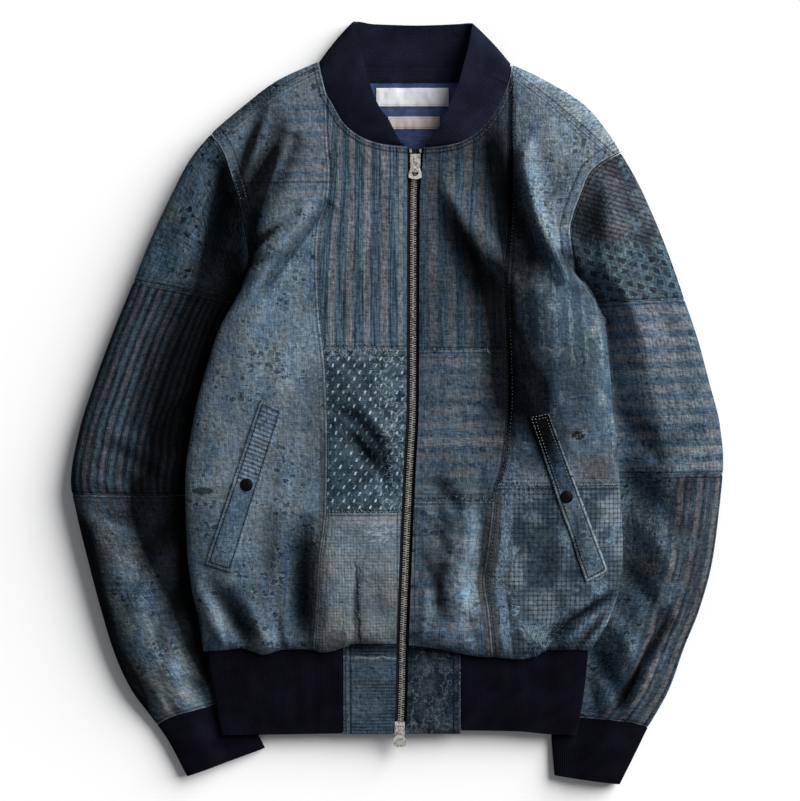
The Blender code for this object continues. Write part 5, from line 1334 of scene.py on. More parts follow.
def waistband(finish):
    """The waistband, from the left tab round the back to the right tab."""
    low = HEM_BACK_Y - 3 * SEAM
    v = BAND_ROWS
    side = np.concatenate([SEAM / BAND_SIDE + np.arange(0, BAND_RIBBED, RIB_CELL) / BAND_SIDE,
                           1 - BAND_ROLLED / BAND_SIDE])
    below = np.concatenate([BACK_ROLLED, np.arange(8.4, BAND_BACK - 8, RIB_PITCH),
                            [363.9, 365.9, 367.5, 368.8, 369.6]]) / BAND_BACK

    def tuck_line(tab_x, sign):
        inward = (1 - side) * BAND_SIDE
        x = tab_x + sign * side * BAND_SIDE
        return low + (hem_line(x) + BAND_TUCK - low) * ease(inward / 14.0)

    def front_part(tab_x, side_name, sign):
        hem_x = tab_x + (float(read(BAND, side_name, BAND_FOOT_Y)) - tab_x) * side
        bottom, top = up(BAND_HEM, hem_x), tuck_line(tab_x, sign)
        y = bottom[None] + (top - bottom)[None] * v
        x = tab_x + sign * SEAM + (read(BAND, side_name, y) - tab_x - sign * SEAM) * side[None]
        return np.stack([x, y], axis=-1)

    def band_look(x, y):
        s, _ = side_fraction(BAND, x, y)
        soft = crumple(x, y, 0.5) + 0.5 * uneven(x, y * 0.25, 9.0, 31)
        hem = ease((y - up(BAND_HEM, x)) / 9.0)
        return band_top(x, y) + soft * (1 - s ** 6) * (0.3 + 0.7 * hem)

    hem_x = BAND_HEM[0][0] + (BAND_HEM[-1][0] - BAND_HEM[0][0]) * below
    y = up(BAND_HEM, hem_x)[None] + (low - up(BAND_HEM, hem_x))[None] * v
    left, right = read(BAND, "left", y), read(BAND, "right", y)
    back = np.stack([left + (right - left) * below[None], y], axis=-1)
    parts, ribs = [], []
    for plan, height, sign in ((front_part(TAB_LEFT_X, "left", -1), band_look, 1),
                               (back, lambda x, y: underside(BAND, x, y), -1),
                               (front_part(TAB_RIGHT_X, "right", 1)[:, ::-1], band_look, 1)):
        x, y = plan[..., 0], plan[..., 1]
        parts.append((lifted(plan, height(x, y)), sign * height_normals(height, x, y, 0.3)))
        ribs.append(np.full(len(below), 0.5 * RIB_PITCH) if sign < 0 else
                    np.minimum(side, BAND_RIBBED / BAND_SIDE) * BAND_SIDE)
    ribs[2] = ribs[2][::-1]
    points, out = (np.concatenate(both, axis=1) for both in zip(*parts))
    ribs = np.broadcast_to(np.concatenate(ribs), points.shape[:2])
    uv = np.stack([lengths_along(points, 1), points[..., 1]], -1)
    knit_piece("hem_rib", points, out, ribs, uv, finish)


def evened(values, reach):
    """The running mean along a grid's second direction."""
    padded = np.pad(values, ((0, 0), (reach, reach), (0, 0)), mode="edge")
    total = np.cumsum(padded, axis=1)
    return (total[:, 2 * reach:] - total[:, :-2 * reach]) / (2 * reach)


COLLAR_STATIONS = 820
COLLAR_GAP = 0.25      # from the neckline to the collar's sewn edge
CORNER_GAP = 1.3       # wider where the neckline turns most
CORNER_AT = 334.0      # how far along the neckline that is
CORNER_REACH = 12.0
COLLAR_FULLNESS = 1.8  # how far it swells between its edges
COLLAR_EVENED = 14     # its normals are evened over this many stations to each side


def collar(finish):
    """The ribbed stand collar, folded over at the two sides of the neck."""
    neckline = LEFT_NECK + BACK_NECK[1:-1] + RIGHT_NECK[::-1]
    length = np.hypot(*np.diff(np.array(neckline), axis=0).T).sum()
    rows = np.array(COLLAR["rows"])
    count = len(rows)
    station = np.linspace(0, count - 1, COLLAR_STATIONS)
    arc = smooth_read(np.arange(count), rows[:, 0], station)
    at = along(neckline, arc / length)
    gap = COLLAR_GAP + CORNER_GAP * np.exp(-((arc - CORNER_AT) / CORNER_REACH) ** 2)
    on_front = np.interp(arc, [128, 146, 320, 336], [1, 0, 0, 1])
    free = np.stack([smooth_read(np.arange(count), rows[:, k], station) for k in (1, 2, 3)], axis=-1)
    seam = lifted(at + unit(free[:, :2] - at) * gap[:, None],
                  (front_look(at[:, 0], at[:, 1]) - 0.4) * on_front)
    v = np.concatenate([[0.0, 0.02, 0.05], np.linspace(0.1, 0.9, 12), [0.95, 0.985, 1.0]])
    v = v[:, None, None]
    flat = seam[None] * (1 - v) + free[None] * v
    out = unit(evened(-grid_normals(flat, False), COLLAR_EVENED))
    fuller = COLLAR_FULLNESS * np.sin(np.pi * v[..., 0]) ** 0.8 * np.ones(flat.shape[:2])
    fuller = fuller * (0.15 + 0.85 * ease(flat[..., 2] / 9.0))
    points = flat + out * fuller[..., None]
    points[..., 2] = np.maximum(points[..., 2], 0.0)
    out = unit(evened(-grid_normals(points, False), COLLAR_EVENED))
    middle = (seam + free) / 2
    ribs = np.broadcast_to(lengths_along(middle[None], 1), points.shape[:2])
    uv = np.stack([ribs, lengths_along(points, 0)], -1)
    knit_piece("collar", points, out, ribs, uv, finish)


# --------------------------------------------------------------------- inside the neck


NECK_SEAM_Y = 330.0    # the lining starts here at the back of the neck
LINING_RUN = 130.0     # and rises over this length
LINING_LOW = 3.4
LINING_RISE = 9.0
NECK_X = 17.0          # the middle of the neck
NECK_HALF = 95.0
# Each piece inside the neck: its left and right edges, its lower and upper ones, the size of its
# mesh, its thickness and how far it lies above the lining.
INSIDE = dict(columns=("name", "left", "right", "low", "high", "cell", "thick", "lift", "slot"), rows=(
    ("lining", -52.0, 88.0, 214.0, 332.5, 2.0, 1.0, 0.0, "blue_nylon"),
    ("neck_tape", -50.0, 86.0, 321.5, 337.0, 1.5, 1.0, 1.3, "navy_rib"),
    ("label_main", -21.0, 52.0, 297.5, 316.5, 1.5, 1.0, 1.3, "white_label"),
    ("label_small", -9.0, 43.0, 274.5, 287.5, 1.5, 1.0, 1.3, "cream_label")))


def lining_height(x, y):
    """Upper face of the lining inside the neck."""
    slope = ease((NECK_SEAM_Y - y) / LINING_RUN)
    across_it = np.clip(np.abs(x - NECK_X) / NECK_HALF, 0, 1)
    return LINING_LOW + LINING_RISE * slope * dome(across_it, 2.0)


def lining_look(x, y):
    """The lining with the soft puckers of thin nylon."""
    pucker = 0.9 * uneven(x, y * 0.5, 11.0, 41) + 0.35 * uneven(x, y * 0.6, 4.0, 42)
    return lining_height(x, y) + pucker * ease((NECK_SEAM_Y - y) / 8.0)


def rectangle(left, right, low, high, cell):
    """Plan points between two x and two y."""
    one, two = steps_of(right - left, cell), steps_of(high - low, cell)
    return np.stack(np.meshgrid(left + (right - left) * one, low + (high - low) * two), -1)


def inside_neck(finishes):
    """The lining that shows, the neck tape over its seam and the two blank labels."""
    none = dict(columns=SPOTS["columns"], rows=())
    for node, left, right, low, high, cell, thick, lift, slot in INSIDE["rows"]:
        plan = rectangle(left, right, low, high, cell)
        cloth_piece(node, plan, lining_look, thick, finishes[node],
                    spots=none, lift=lift, zip_side=-1,
                    detail=lambda x, y: np.zeros(np.shape(x)))


# ----------------------------------------------------------------- pockets and waist tabs

WELT_THICKNESS = 2.0
WELT_LIFT = WELT_THICKNESS + 0.5       # the top of a welt above the cloth it is sewn on
WELTS = dict(columns=("name", "top left", "top right", "bottom right", "bottom left", "snap"),
             rows=(
    ("left", (-135.0, 2.5), (-113.0, -7.5), (-164.0, -168.5), (-190.0, -160.5), (-149.0, -81.5)),
    ("right", (131.0, -13.5), (151.0, -9.5), (210.0, -167.5), (188.0, -178.5), (168.0, -93.5))))


def tab_look(x, y):
    """Outer surface of the waistband's cloth ends, held down by the zip."""
    held = zip_hold(x, y)
    level = band_top(x, y)
    return level + (zip_level(y) - level) * held + 0.6 * crumple(x, y) * (1 - held)


def upright(x):
    """x of an upright line."""
    return lambda y: np.full(np.shape(y), x)


def small_pieces(finishes):
    """The pocket welts, which lie on the front, and the cloth ends of the waistband."""
    for name, top_left, top_right, low_right, low_left, _ in WELTS["rows"]:
        v, u = np.linspace(0.0, 1.0, 80), np.linspace(0.0, 1.0, 15)
        plan = patch(straight(low_left, low_right), straight(top_left, top_right),
                     straight(low_left, top_left)(v), straight(low_right, top_right)(v), u, v)
        slot, finish = finishes["welt", name]
        cloth_piece(f"welt_{name}", plan, front_look, WELT_THICKNESS, finish,
                    lift=WELT_LIFT, zip_side=-1)
    for name, near, far, free in (("left", upright(TAB_LEFT_X + SEAM), zip_edge(-1), "right"),
                                  ("right", zip_edge(1), upright(TAB_RIGHT_X - SEAM), "left")):
        ends = [float(side(np.array(ZIP_HEM_Y))) for side in (near, far)]
        tops = [float(hem_line(x)) - 2 * SEAM for x in ends]
        v = np.linspace(0.0, 1.0, 42)
        sides = [on(side, TAB_BOTTOM_Y + (high - TAB_BOTTOM_Y) * v)
                 for side, high in zip((near, far), tops)]
        plan = patch(straight(sides[0][0], sides[1][0]),
                     crossing(lambda x: hem_line(x) - 2 * SEAM, *ends),
                     *sides, np.linspace(0.0, 1.0, 26), v)
        slot, finish = finishes["tab", name]
        cloth_piece(f"hem_tab_{name}", plan, tab_look, CLOTH, finish,
                    free=(free, "bottom"), zip_side=-1)

# --------------------------------------------------------------------------- finishes


class Signal:
    """A number that changes over a surface, with arithmetic that adds its Math nodes."""

    def __init__(self, finish, socket):
        self.finish, self.socket = finish, socket

    def maths(self, operation, other=None, swapped=False):
        pair = (other, self) if swapped else (self, other)
        sockets = {k: value for k, value in enumerate(pair) if value is not None}
        return self.finish.node("ShaderNodeMath", {"operation": operation}, sockets)

    def __add__(self, other):
        return self.maths("ADD", other)

    def __radd__(self, other):
        return self.maths("ADD", other, True)

    def __sub__(self, other):
        return self.maths("SUBTRACT", other)

    def __rsub__(self, other):
        return self.maths("SUBTRACT", other, True)

    def __mul__(self, other):
        return self.maths("MULTIPLY", other)

    def __rmul__(self, other):
        return self.maths("MULTIPLY", other, True)

    def __truediv__(self, other):
        return self.maths("DIVIDE", other)

    def __abs__(self):
        return self.maths("ABSOLUTE")

    def least(self, other):
        return self.maths("MINIMUM", other)

    def most(self, other):
        return self.maths("MAXIMUM", other)

    def fraction(self):
        return self.maths("FRACT")

    def whole(self):
        return self.maths("FLOOR")

    def above(self, level, soft):
        """0 below a level and 1 above it, with a soft step."""
        return self.finish.node("ShaderNodeMapRange", {"interpolation_type": "SMOOTHSTEP"},
                                {0: self, 1: level - soft, 2: level + soft, 3: 0.0, 4: 1.0})

    def below(self, level, soft):
        """1 below a level and 0 above it, with a soft step."""
        return 1 - self.above(level, soft)

    def within(self, low, high, soft):
        """1 between two levels, with soft steps."""
        return self.above(low, soft) * self.below(high, soft)

    def lines(self, half_width, soft):
        """Thin wandering lines, where a noise passes its middle value."""
        return abs(self - 0.5).below(half_width, soft)

    def swing(self, amount):
        """A noise as swings to both sides of 0."""
        return amount * (self - 0.5)

    def off_line(self, pitch, start=0.0):
        """Distance from the nearest of a row of lines, a pitch apart."""
        part = ((self - start) / pitch).fraction()
        return (0.5 - abs(part - 0.5)) * pitch


NOISE_STEP = (17.3, 5.7, 3.1)      # from the start of one noise to that of the next


class Finish:
    """One material and the nodes that make it.  Sizes in it are in millimetres."""

    def __init__(self, name, roughness=0.95, specular=0.02, metallic=0.0):
        self.material = bpy.data.materials.new(name)
        self.material.use_nodes = True
        self.tree = self.material.node_tree
        self.shader = self.tree.nodes["Principled BSDF"]
        self.put(self.shader.inputs["Roughness"], roughness)
        self.put(self.shader.inputs["Specular IOR Level"], specular)
        self.put(self.shader.inputs["Metallic"], metallic)
        self.noises = 0

    def put(self, socket, value):
        if isinstance(value, Signal):
            self.tree.links.new(value.socket, socket)
        elif isinstance(value, tuple) and len(value) == 3 and socket.type == "RGBA":
            socket.default_value = (*value, 1.0)
        else:
            socket.default_value = value

    def node(self, kind, settings, sockets, output=0):
        """Adds a node: its settings first, then its sockets by name or number."""
        made = self.tree.nodes.new(kind)
        for name, value in settings.items():
            setattr(made, name, value)
        for name, value in sockets.items():
            self.put(made.inputs[name], value)
        return Signal(self, made.outputs[output])

    def x_and_y(self, place):
        """The first two parts of a place."""
        x = self.node("ShaderNodeSeparateXYZ", {}, {0: place}, 0)
        return x, Signal(self, x.socket.node.outputs[1])

    def on_cloth(self):
        """Starts on the cloth's own map, and gives its two directions."""
        self.place = self.shade(self.node("ShaderNodeUVMap", {"uv_map": "cloth"}, {}), 1 / MM)
        return self.x_and_y(self.place)

    def in_space(self):
        """The place in the piece, in millimetres."""
        return self.shade(self.node("ShaderNodeTexCoord", {}, {}, 3), 1 / MM)

    def seen_from_above(self):
        """x and y of the place in the piece."""
        return self.x_and_y(self.in_space())

    def field(self, name):
        """A named number of the piece's mesh."""
        return self.node("ShaderNodeAttribute", {"attribute_name": name}, {}, 2)

    def noise(self, size, stretch=(1.0, 1.0), detail=1.0, rough=0.55):
        """Soft noise with lumps of a size, stretched along the cloth's two directions."""
        return self.node("ShaderNodeTexNoise", {},
                         {"Vector": self.spot(size, stretch), "Scale": 1.0,
                          "Detail": detail, "Roughness": rough})

    def spot(self, size, stretch):
        """The place counted in a size, from a new start each time."""
        self.noises += 1
        scale = (1 / (size * stretch[0]), 1 / (size * stretch[1]), 1 / size)
        start = tuple(step * self.noises for step in NOISE_STEP)
        return self.node("ShaderNodeVectorMath", {"operation": "MULTIPLY_ADD"},
                         {0: self.place, 1: scale, 2: start})

    def scatter(self, size, stretch=(1.0, 1.0)):
        """Distance from the nearest of many scattered points, in sizes, and its own number."""
        away = self.node("ShaderNodeTexVoronoi", {"voronoi_dimensions": "2D"},
                         {"Vector": self.spot(size, stretch), "Scale": 1.0})
        own = Signal(self, away.socket.node.outputs["Color"])
        return away, self.node("ShaderNodeSeparateXYZ", {}, {0: own}, 0)

    def mix(self, first, second, factor):
        """The first colour turned into the second by a factor."""
        return self.node("ShaderNodeMix", {"data_type": "RGBA"}, {0: factor, 6: first, 7: second}, 2)

    def shade(self, colour, amount):
        """A colour made brighter or darker by an amount, or a place counted in other units."""
        return self.node("ShaderNodeVectorMath", {"operation": "SCALE"}, {0: colour, "Scale": amount})

    def tint(self, colour, parts):
        """A colour with its red, green and blue parts each multiplied."""
        return self.node("ShaderNodeVectorMath", {"operation": "MULTIPLY"}, {0: colour, 1: parts})

    def bump(self, height, distance, strength=1.0):
        """Raises the surface by a height of 0 to 1, times a distance in millimetres."""
        made = self.node("ShaderNodeBump", {}, {"Height": height, "Strength": strength,
                                                "Distance": distance * MM})
        self.put(self.shader.inputs["Normal"], made)

    def lay(self, colour, factor):
        """Lays a colour over the cloth's colour so far, by a factor."""
        self.cloth = self.mix(self.cloth, colour, factor)

    def colour(self, value):
        """Ends with the surface's colour."""
        self.put(self.shader.inputs["Base Color"], value)


# Dyes and threads, as red, green and blue.
INDIGO_DEEP = (0.010, 0.018, 0.032)
INDIGO = (0.036, 0.062, 0.090)
BLUE = (0.070, 0.112, 0.152)
BLUE_PALE = (0.150, 0.205, 0.262)
TEAL = (0.052, 0.092, 0.124)
TEAL_DEEP = (0.019, 0.034, 0.047)
GREY_BLUE = (0.120, 0.158, 0.190)
GREY_PALE = (0.215, 0.262, 0.300)
BEIGE = (0.158, 0.156, 0.166)
BEIGE_DARK = (0.074, 0.074, 0.080)
BROWN = (0.052, 0.047, 0.049)
BLACK_BLUE = (0.007, 0.009, 0.014)
THREAD = (0.34, 0.40, 0.44)
DYED = (0.060, 0.105, 0.172)
OLIVE = (0.112, 0.116, 0.108)
COOLER = (0.84, 1.0, 1.10)         # how a drift multiplies each of the three
WARMER = (1.02, 1.03, 0.90)

# The deepest, the middle and the palest dye of each patched cloth.
DYES = dict(
    left_side=((0.018, 0.032, 0.052), (0.070, 0.101, 0.128), (0.142, 0.180, 0.212)),
    right_side=(INDIGO_DEEP, (0.072, 0.099, 0.122), (0.162, 0.195, 0.222)),
    banded=(INDIGO_DEEP, (0.044, 0.069, 0.091), (0.104, 0.141, 0.173)),
    left_upper=(BLACK_BLUE, (0.030, 0.052, 0.074), (0.074, 0.110, 0.138)),
    left_lower=(BLACK_BLUE, (0.034, 0.052, 0.068), (0.112, 0.138, 0.156)),
    right_middle=(INDIGO_DEEP, (0.042, 0.067, 0.092), (0.084, 0.120, 0.152)),
    right_lower=(INDIGO_DEEP, (0.052, 0.078, 0.100), (0.096, 0.130, 0.158)),
    left_yoke=(BLACK_BLUE, (0.040, 0.060, 0.078), (0.090, 0.120, 0.142)),
    right_yoke=(INDIGO, (0.150, 0.190, 0.220), (0.225, 0.265, 0.295)),
    back=(INDIGO_DEEP, INDIGO, BLUE_PALE),
    left_welt=(INDIGO_DEEP, (0.062, 0.096, 0.128), (0.120, 0.165, 0.210)),
    right_welt_top=(INDIGO_DEEP, (0.016, 0.025, 0.035), (0.034, 0.050, 0.064)),
    right_welt_low=(INDIGO_DEEP, (0.050, 0.076, 0.096), (0.090, 0.122, 0.146)))


def weave(f, strength=1.0, slub=9.0):
    """Brightness of a plain weave, about 1: its threads both ways, its slubs and its grain."""
    weft = f.noise(1.3, (slub, 1.0))
    warp = f.noise(1.3, (1.0, slub))
    grain = f.noise(3.4, detail=4.0, rough=0.7)
    f.threads = (weft + warp + grain) / 3
    return (1 + strength * (weft.swing(1.5) + warp.swing(1.5) + grain.swing(2.9))).most(0.25)


def new_cloth(name, strength, slub=9.0):
    """Starts a woven cloth: its finish, its two directions and the brightness of its weave."""
    f = Finish(name)
    x, y = f.on_cloth()
    return f, x, y, weave(f, strength, slub)


def boro(f, dyes, spots=0.7, web=0.5, fade=52.0, spot_size=4.6, level=0.56):
    """Faded patched cloth: a drifting fade, clusters of dark marks and worn pale outlines.

    spots and web say how strong the marks and the outlines are, fade and spot_size how large the
    fade and the marks, and a lower level spreads the marks.
    """
    deep, mid, pale = dyes
    f.cloth = f.mix(mid, pale, f.noise(fade, detail=3.0).above(0.50, 0.17))
    dyed = f.noise(21.0, (0.8, 1.2), 3.0)
    f.lay(f.mix(mid, DYED, 0.75), dyed.above(0.55, 0.05) * 0.5)
    f.lay(f.mix(pale, OLIVE, 0.7), dyed.below(0.44, 0.05) * 0.4)
    groups = f.noise(26.0, detail=1.0).above(level - 0.04, 0.06)
    away, own = f.scatter(1.65 * spot_size, (1.25, 0.9))
    near = (own * 0.60 - 0.16) - away - f.noise(3.2, detail=2.0).swing(1.1)
    mark = near.above(0.0, 0.07)
    rim = near.above(-0.13, 0.05) - mark
    f.lay(f.shade(pale, 1.5), rim * groups * 0.65)
    f.lay(deep, mark * (groups + 0.15).least(1.0) * spots)
    fleck = f.noise(0.6 * spot_size, (1.25, 0.85), 2.0)
    f.lay(deep, fleck.above(0.62, 0.03) * spots * (0.22 + 0.5 * groups))
    f.lay(f.shade(pale, 1.3), fleck.below(0.37, 0.03) * 0.35)
    if web:
        lines = f.noise(7.5, detail=2.5).lines(0.018, 0.012)
        f.lay(f.shade(pale, 1.45), lines * (1 - groups) * web)


# Lines of painted shade in the grooves beside a seam: how far from it each starts and ends, how soft it
# is and how much it darkens.
GROOVE_SHADE = dict(columns=("low", "high", "soft", "dark"), rows=(
    (1.6, 3.4, 0.8, 0.50),
    (6.4, 7.4, 0.4, 0.35)))
# Painted shade along a felled strip, in the same columns: at the foot of its raised edge and near its
# seam, and the strip a little darker.
FELLED = dict(columns=GROOVE_SHADE["columns"], rows=(
    (9.6, 11.6, 0.7, 0.60),
    (2.4, 3.4, 0.4, 0.35),
    (3.0, 9.0, 1.0, 0.16)))


def darkened(distance, table):
    """Brightness of a cloth with the lines of painted shade of a table beside its seam."""
    light = None
    for low, high, soft, dark in table["rows"]:
        line = 1 - dark * distance.within(low, high, soft)
        light = line if light is None else light * line
    return light


def sewn(f, light, seams=True):
    """Ends a patch with its fields: its marks with their painted shade and highlights, its browning,
    ridges worn paler and creases darkened as painted shade, worn edges, and painted shade in the
    grooves by its seams.
    """
    tone, brown = f.field("tone"), f.field("brown")
    wear_and_crease_shade, edge = f.field("wear_and_crease_shade"), f.field("edge")
    drift = f.noise(30.0, detail=2.0)
    f.lay(f.tint(f.cloth, COOLER), 0.15 + 0.5 * drift.above(0.53, 0.06))
    f.lay(f.tint(f.cloth, WARMER), drift.below(0.43, 0.06) * 0.5)
    f.lay(BROWN, brown.most(0.0).least(0.85))
    # Painted shade and highlights from the spots, and from crease heights: ridges paler as worn cloth,
    # troughs darker as painted shade.
    rubbed_and_shaded = (1 + tone).most(0.05) * (1 + 0.085 * wear_and_crease_shade).most(0.25).least(1.5)
    if seams:
        worn = edge.within(0.3, 1.5, 0.5) * f.noise(2.2, detail=1.0).above(0.48, 0.10)
        # Painted shade in the grooves beside the seams and along the felled strips.
        groove = darkened(edge, GROOVE_SHADE)
        f.lay(GREY_PALE, worn * 0.22)
        trim = f.field("trim")
        f.lay(GREY_PALE, trim.within(1.0, 2.1, 0.4) * f.noise(3.0, detail=1.0).above(0.44, 0.08) * 0.45)
        felled = darkened(trim, FELLED)
        rubbed_and_shaded = rubbed_and_shaded * groove * felled
    f.colour(f.shade(f.cloth, light * rubbed_and_shaded))
    puckers = f.noise(5.5, detail=2.0)
    f.bump(0.45 * f.threads + puckers, 1.3, 0.9)
    return f.material


def stripes(f, x, pitch, start, half_width, soft=0.5):
    """1 on each of a row of stripes with slightly uneven edges."""
    wobble = f.noise(3.0, (1.0, 5.0)).swing(1.3)
    return (x + wobble).off_line(pitch, start).below(half_width, soft)


def oval(x, y, centre, squares):
    """0 at a centre and 1 at an oval round it; squares are of its two half widths."""
    over, down = x - centre[0], y - centre[1]
    return over * over / squares[0] + down * down / squares[1]


def black_seam(f):
    """A dark uneven line along a column seam."""
    inset = f.field("inset") + f.noise(9.0, detail=2.0).swing(1.6)
    f.lay(BLACK_BLUE, inset.below(2.2, 0.7) * 0.85)


def selvedge(f, inset, width, y, low, high):
    """A browned selvedge strip with fine lines, along a seam between two heights."""
    strip = inset.below(width, 0.8) * y.within(low, high, 8.0)
    lines = inset.off_line(2.6).below(0.55, 0.3)
    f.lay(f.mix(BEIGE_DARK, BROWN, lines), strip * 0.8)


def left_side_cloth():
    """The left side panel: pale and speckled, banded at the shoulder."""
    f, x, y, light = new_cloth("mottled_denim_left", 0.65)
    boro(f, DYES["left_side"], 0.75, 0.25, spot_size=4.4)
    bands = (stripes(f, y, 13.5, 4.0, 3.4, 1.2) * y.within(200.0, 305.0, 12.0) * x.above(-122.0, 12.0))
    between = (stripes(f, y, 13.5, 10.75, 2.6, 1.4) * y.within(200.0, 305.0, 12.0)
               * x.above(-122.0, 12.0))
    f.lay((0.052, 0.088, 0.124), between * 0.5)
    f.lay(BEIGE, bands * 0.62)
    f.lay(INDIGO, abs(y - 219.0).below(1.2, 0.5) * 0.8)
    streak = abs(x + 117.0 - 0.06 * (y + 175.0)).below(1.6, 0.8) * y.within(-204.0, -146.0, 6.0)
    f.lay((0.030, 0.060, 0.125), streak * 0.6)
    lens = oval(x, y, (-196.0, -88.0), (120.0, 14.0)) + f.noise(6.0, detail=2.0).swing(1.6)
    f.lay((0.020, 0.030, 0.040), lens.below(1.0, 0.15) * 0.9)
    upper = (x + 103.0 - 0.8 * (y - 152.0)) / 1.28
    slash = abs(upper).below(2.2, 1.2) * y.within(118.0, 196.0, 8.0)
    f.lay(INDIGO, slash * 0.7)
    selvedge(f, f.field("inset"), 7.0, y, -245.0, -30.0)
    return sewn(f, light)


def right_side_cloth():
    """The right side panel: pale slubby denim above, dark weave below the chest."""
    f, x, y, light = new_cloth("mottled_denim_right", 0.75, 14.0)
    boro(f, DYES["right_side"], 0.6, 0.6)
    dark = y.within(-60.0, 165.0, 22.0) * f.noise(34.0, detail=2.0).above(0.43, 0.08)
    f.lay((0.026, 0.045, 0.067), dark * 0.8)
    chain = stripes(f, x, 15.5, 146.0, 2.4, 1.0) * y.within(40.0, 160.0, 14.0)
    f.lay(GREY_BLUE, chain * f.noise(3.0, (1.0, 1.6)).above(0.47, 0.06) * 0.7)
    stain = y.within(-82.0, -50.0, 5.0) * x.above(178.0, 10.0)
    f.lay(BROWN, stain * 0.5)
    black_seam(f)
    torn = oval(x, y, (181.0, -33.0), (30.0, 16.0)) + f.noise(5.0, detail=2.0).swing(2.4)
    f.lay(BLACK_BLUE, torn.below(1.0, 0.25) * 0.9)
    return sewn(f, light)


def left_stripe_cloth():
    """Beige and blue stripes with fine streaks down the left of the zip."""
    f, x, _, light = new_cloth("striped_cloth_left", 0.75)
    streak = f.noise(1.25, (1.0, 42.0), 2.0)
    broad = f.noise(4.0, (1.0, 14.0), 1.0)
    blue = f.mix(TEAL_DEEP, (0.092, 0.138, 0.178), streak.above(0.50, 0.16))
    beige = f.mix((0.118, 0.122, 0.132), (0.205, 0.200, 0.208), streak.above(0.50, 0.2))
    on = stripes(f, x, 17.7, -65.5, 3.5)
    f.cloth = f.mix(blue, beige, on * (0.72 + 0.5 * (broad - 0.4)).least(1.0))
    by_zip = x.within(2.0, 5.0, 0.6)
    f.lay(BEIGE, by_zip * 0.8)
    f.lay(BLUE, x.above(6.0, 0.6) * 0.8)
    marks = f.noise(3.4, (0.8, 1.7), 1.0).above(0.63, 0.04)
    f.lay(INDIGO, marks * 0.55)
    return sewn(f, 0.84 * light)


def right_stripe_cloth():
    """The darker stripes down the right of the zip, nearly worn away."""
    f, x, y, light = new_cloth("striped_cloth_right", 0.85)
    streak = f.noise(1.4, (1.0, 30.0), 2.0)
    worn = f.noise(24.0, (0.7, 1.6), 2.0)
    f.cloth = f.mix((0.028, 0.046, 0.062), (0.066, 0.098, 0.124), streak.above(0.5, 0.2))
    on = stripes(f, x, 18.4, 36.0, 4.2, 1.6) * (0.45 + 0.55 * worn.above(0.46, 0.14))
    f.lay((0.110, 0.104, 0.106), on * 0.68)
    f.lay(BLACK_BLUE, stripes(f, x, 18.4, 42.2, 1.2, 0.8) * 0.35)
    rows = stripes(f, y, 13.0, 60.0, 3.2, 2.0) * f.noise(20.0).above(0.5, 0.1)
    f.lay(TEAL_DEEP, rows * 0.35)
    by_zip = x.below(24.0, 8.0) * f.noise(20.0, (0.5, 2.0), 2.0).above(0.44, 0.1)
    f.lay((0.070, 0.115, 0.145), by_zip * 0.5)
    black_seam(f)
    return sewn(f, 0.80 * light)


def kasuri_cloth():
    """Dark cloth with staggered white dashes, worn to a pale web by the zip and on top."""
    f, x, y, light = new_cloth("kasuri", 0.8)
    row = (y / 6.7).whole()
    shift = (row / 2).fraction() * 10.6
    jitter = f.noise(8.0).swing(1.4)
    down = ((y / 6.7).fraction() - 0.5) * 6.7
    side = (((x + shift + jitter) / 10.6).fraction() - 0.5) * 10.6 - 0.35 * down
    dash = abs(side).below(0.85, 0.45) * abs(down).below(1.7, 0.5)
    base = f.mix((0.016, 0.030, 0.042), (0.052, 0.080, 0.101), f.noise(13.0, detail=3.0)
                 .above(0.50, 0.16))
    f.cloth = f.mix(base, (0.36, 0.43, 0.46), dash * f.noise(5.0).above(0.40, 0.10))
    lines = f.noise(8.0, detail=2.5).lines(0.020, 0.016)
    near = x.above(-20.0, 9.0).most(y.above(42.0, 5.0))
    f.lay((0.088, 0.126, 0.152), near * f.noise(9.0, detail=2.0).above(0.51, 0.07) * 0.40)
    f.lay((0.24, 0.31, 0.35), lines * near.most(0.15) * 0.55)
    return sewn(f, light)


def check_cloth():
    """Fine beige and grey check with darns and a mended tear."""
    f, x, y, light = new_cloth("fine_check", 0.55)
    across_it = x.off_line(3.1).below(0.62, 0.4)
    down_it = y.off_line(3.1).below(0.62, 0.4)
    base = f.mix((0.106, 0.134, 0.154), (0.178, 0.196, 0.208), f.noise(34.0, detail=3.0)
                 .above(0.5, 0.14))
    f.cloth = f.mix(base, (0.062, 0.075, 0.090), (across_it + down_it) * 0.36)
    darn = x.within(-32.0, -3.0, 1.0) * y.within(-138.0, -120.0, 1.0)
    scribble = f.noise(4.6, (2.2, 0.8), 2.0).lines(0.045, 0.02)
    f.lay(f.mix((0.075, 0.105, 0.135), (0.22, 0.26, 0.29), scribble), darn * 0.75)
    f.lay((0.22, 0.23, 0.24), y.within(-121.0, -113.0, 0.8) * 0.4)
    f.lay(INDIGO, (abs(x - 0.5).below(0.7, 0.4)).most(abs(x - 3.4).below(0.5, 0.3)) * 0.75)
    line = f.noise(26.0, (1.0, 1.0), 2.0).swing(4.5)
    line = line + f.noise(11.0, detail=2.0).swing(5.0)
    tear = abs(x + 40.0 + 0.05 * (y + 198.0) + line).below(1.1, 0.6)
    f.lay(TEAL_DEEP, tear * y.within(-240.0, -158.0, 5.0) * 0.9)
    spot = oval(x, y, (-63.0, -236.0), (130.0, 110.0))
    f.lay(BEIGE_DARK, spot.below(1.0, 0.2) * 0.8)
    return sewn(f, light)


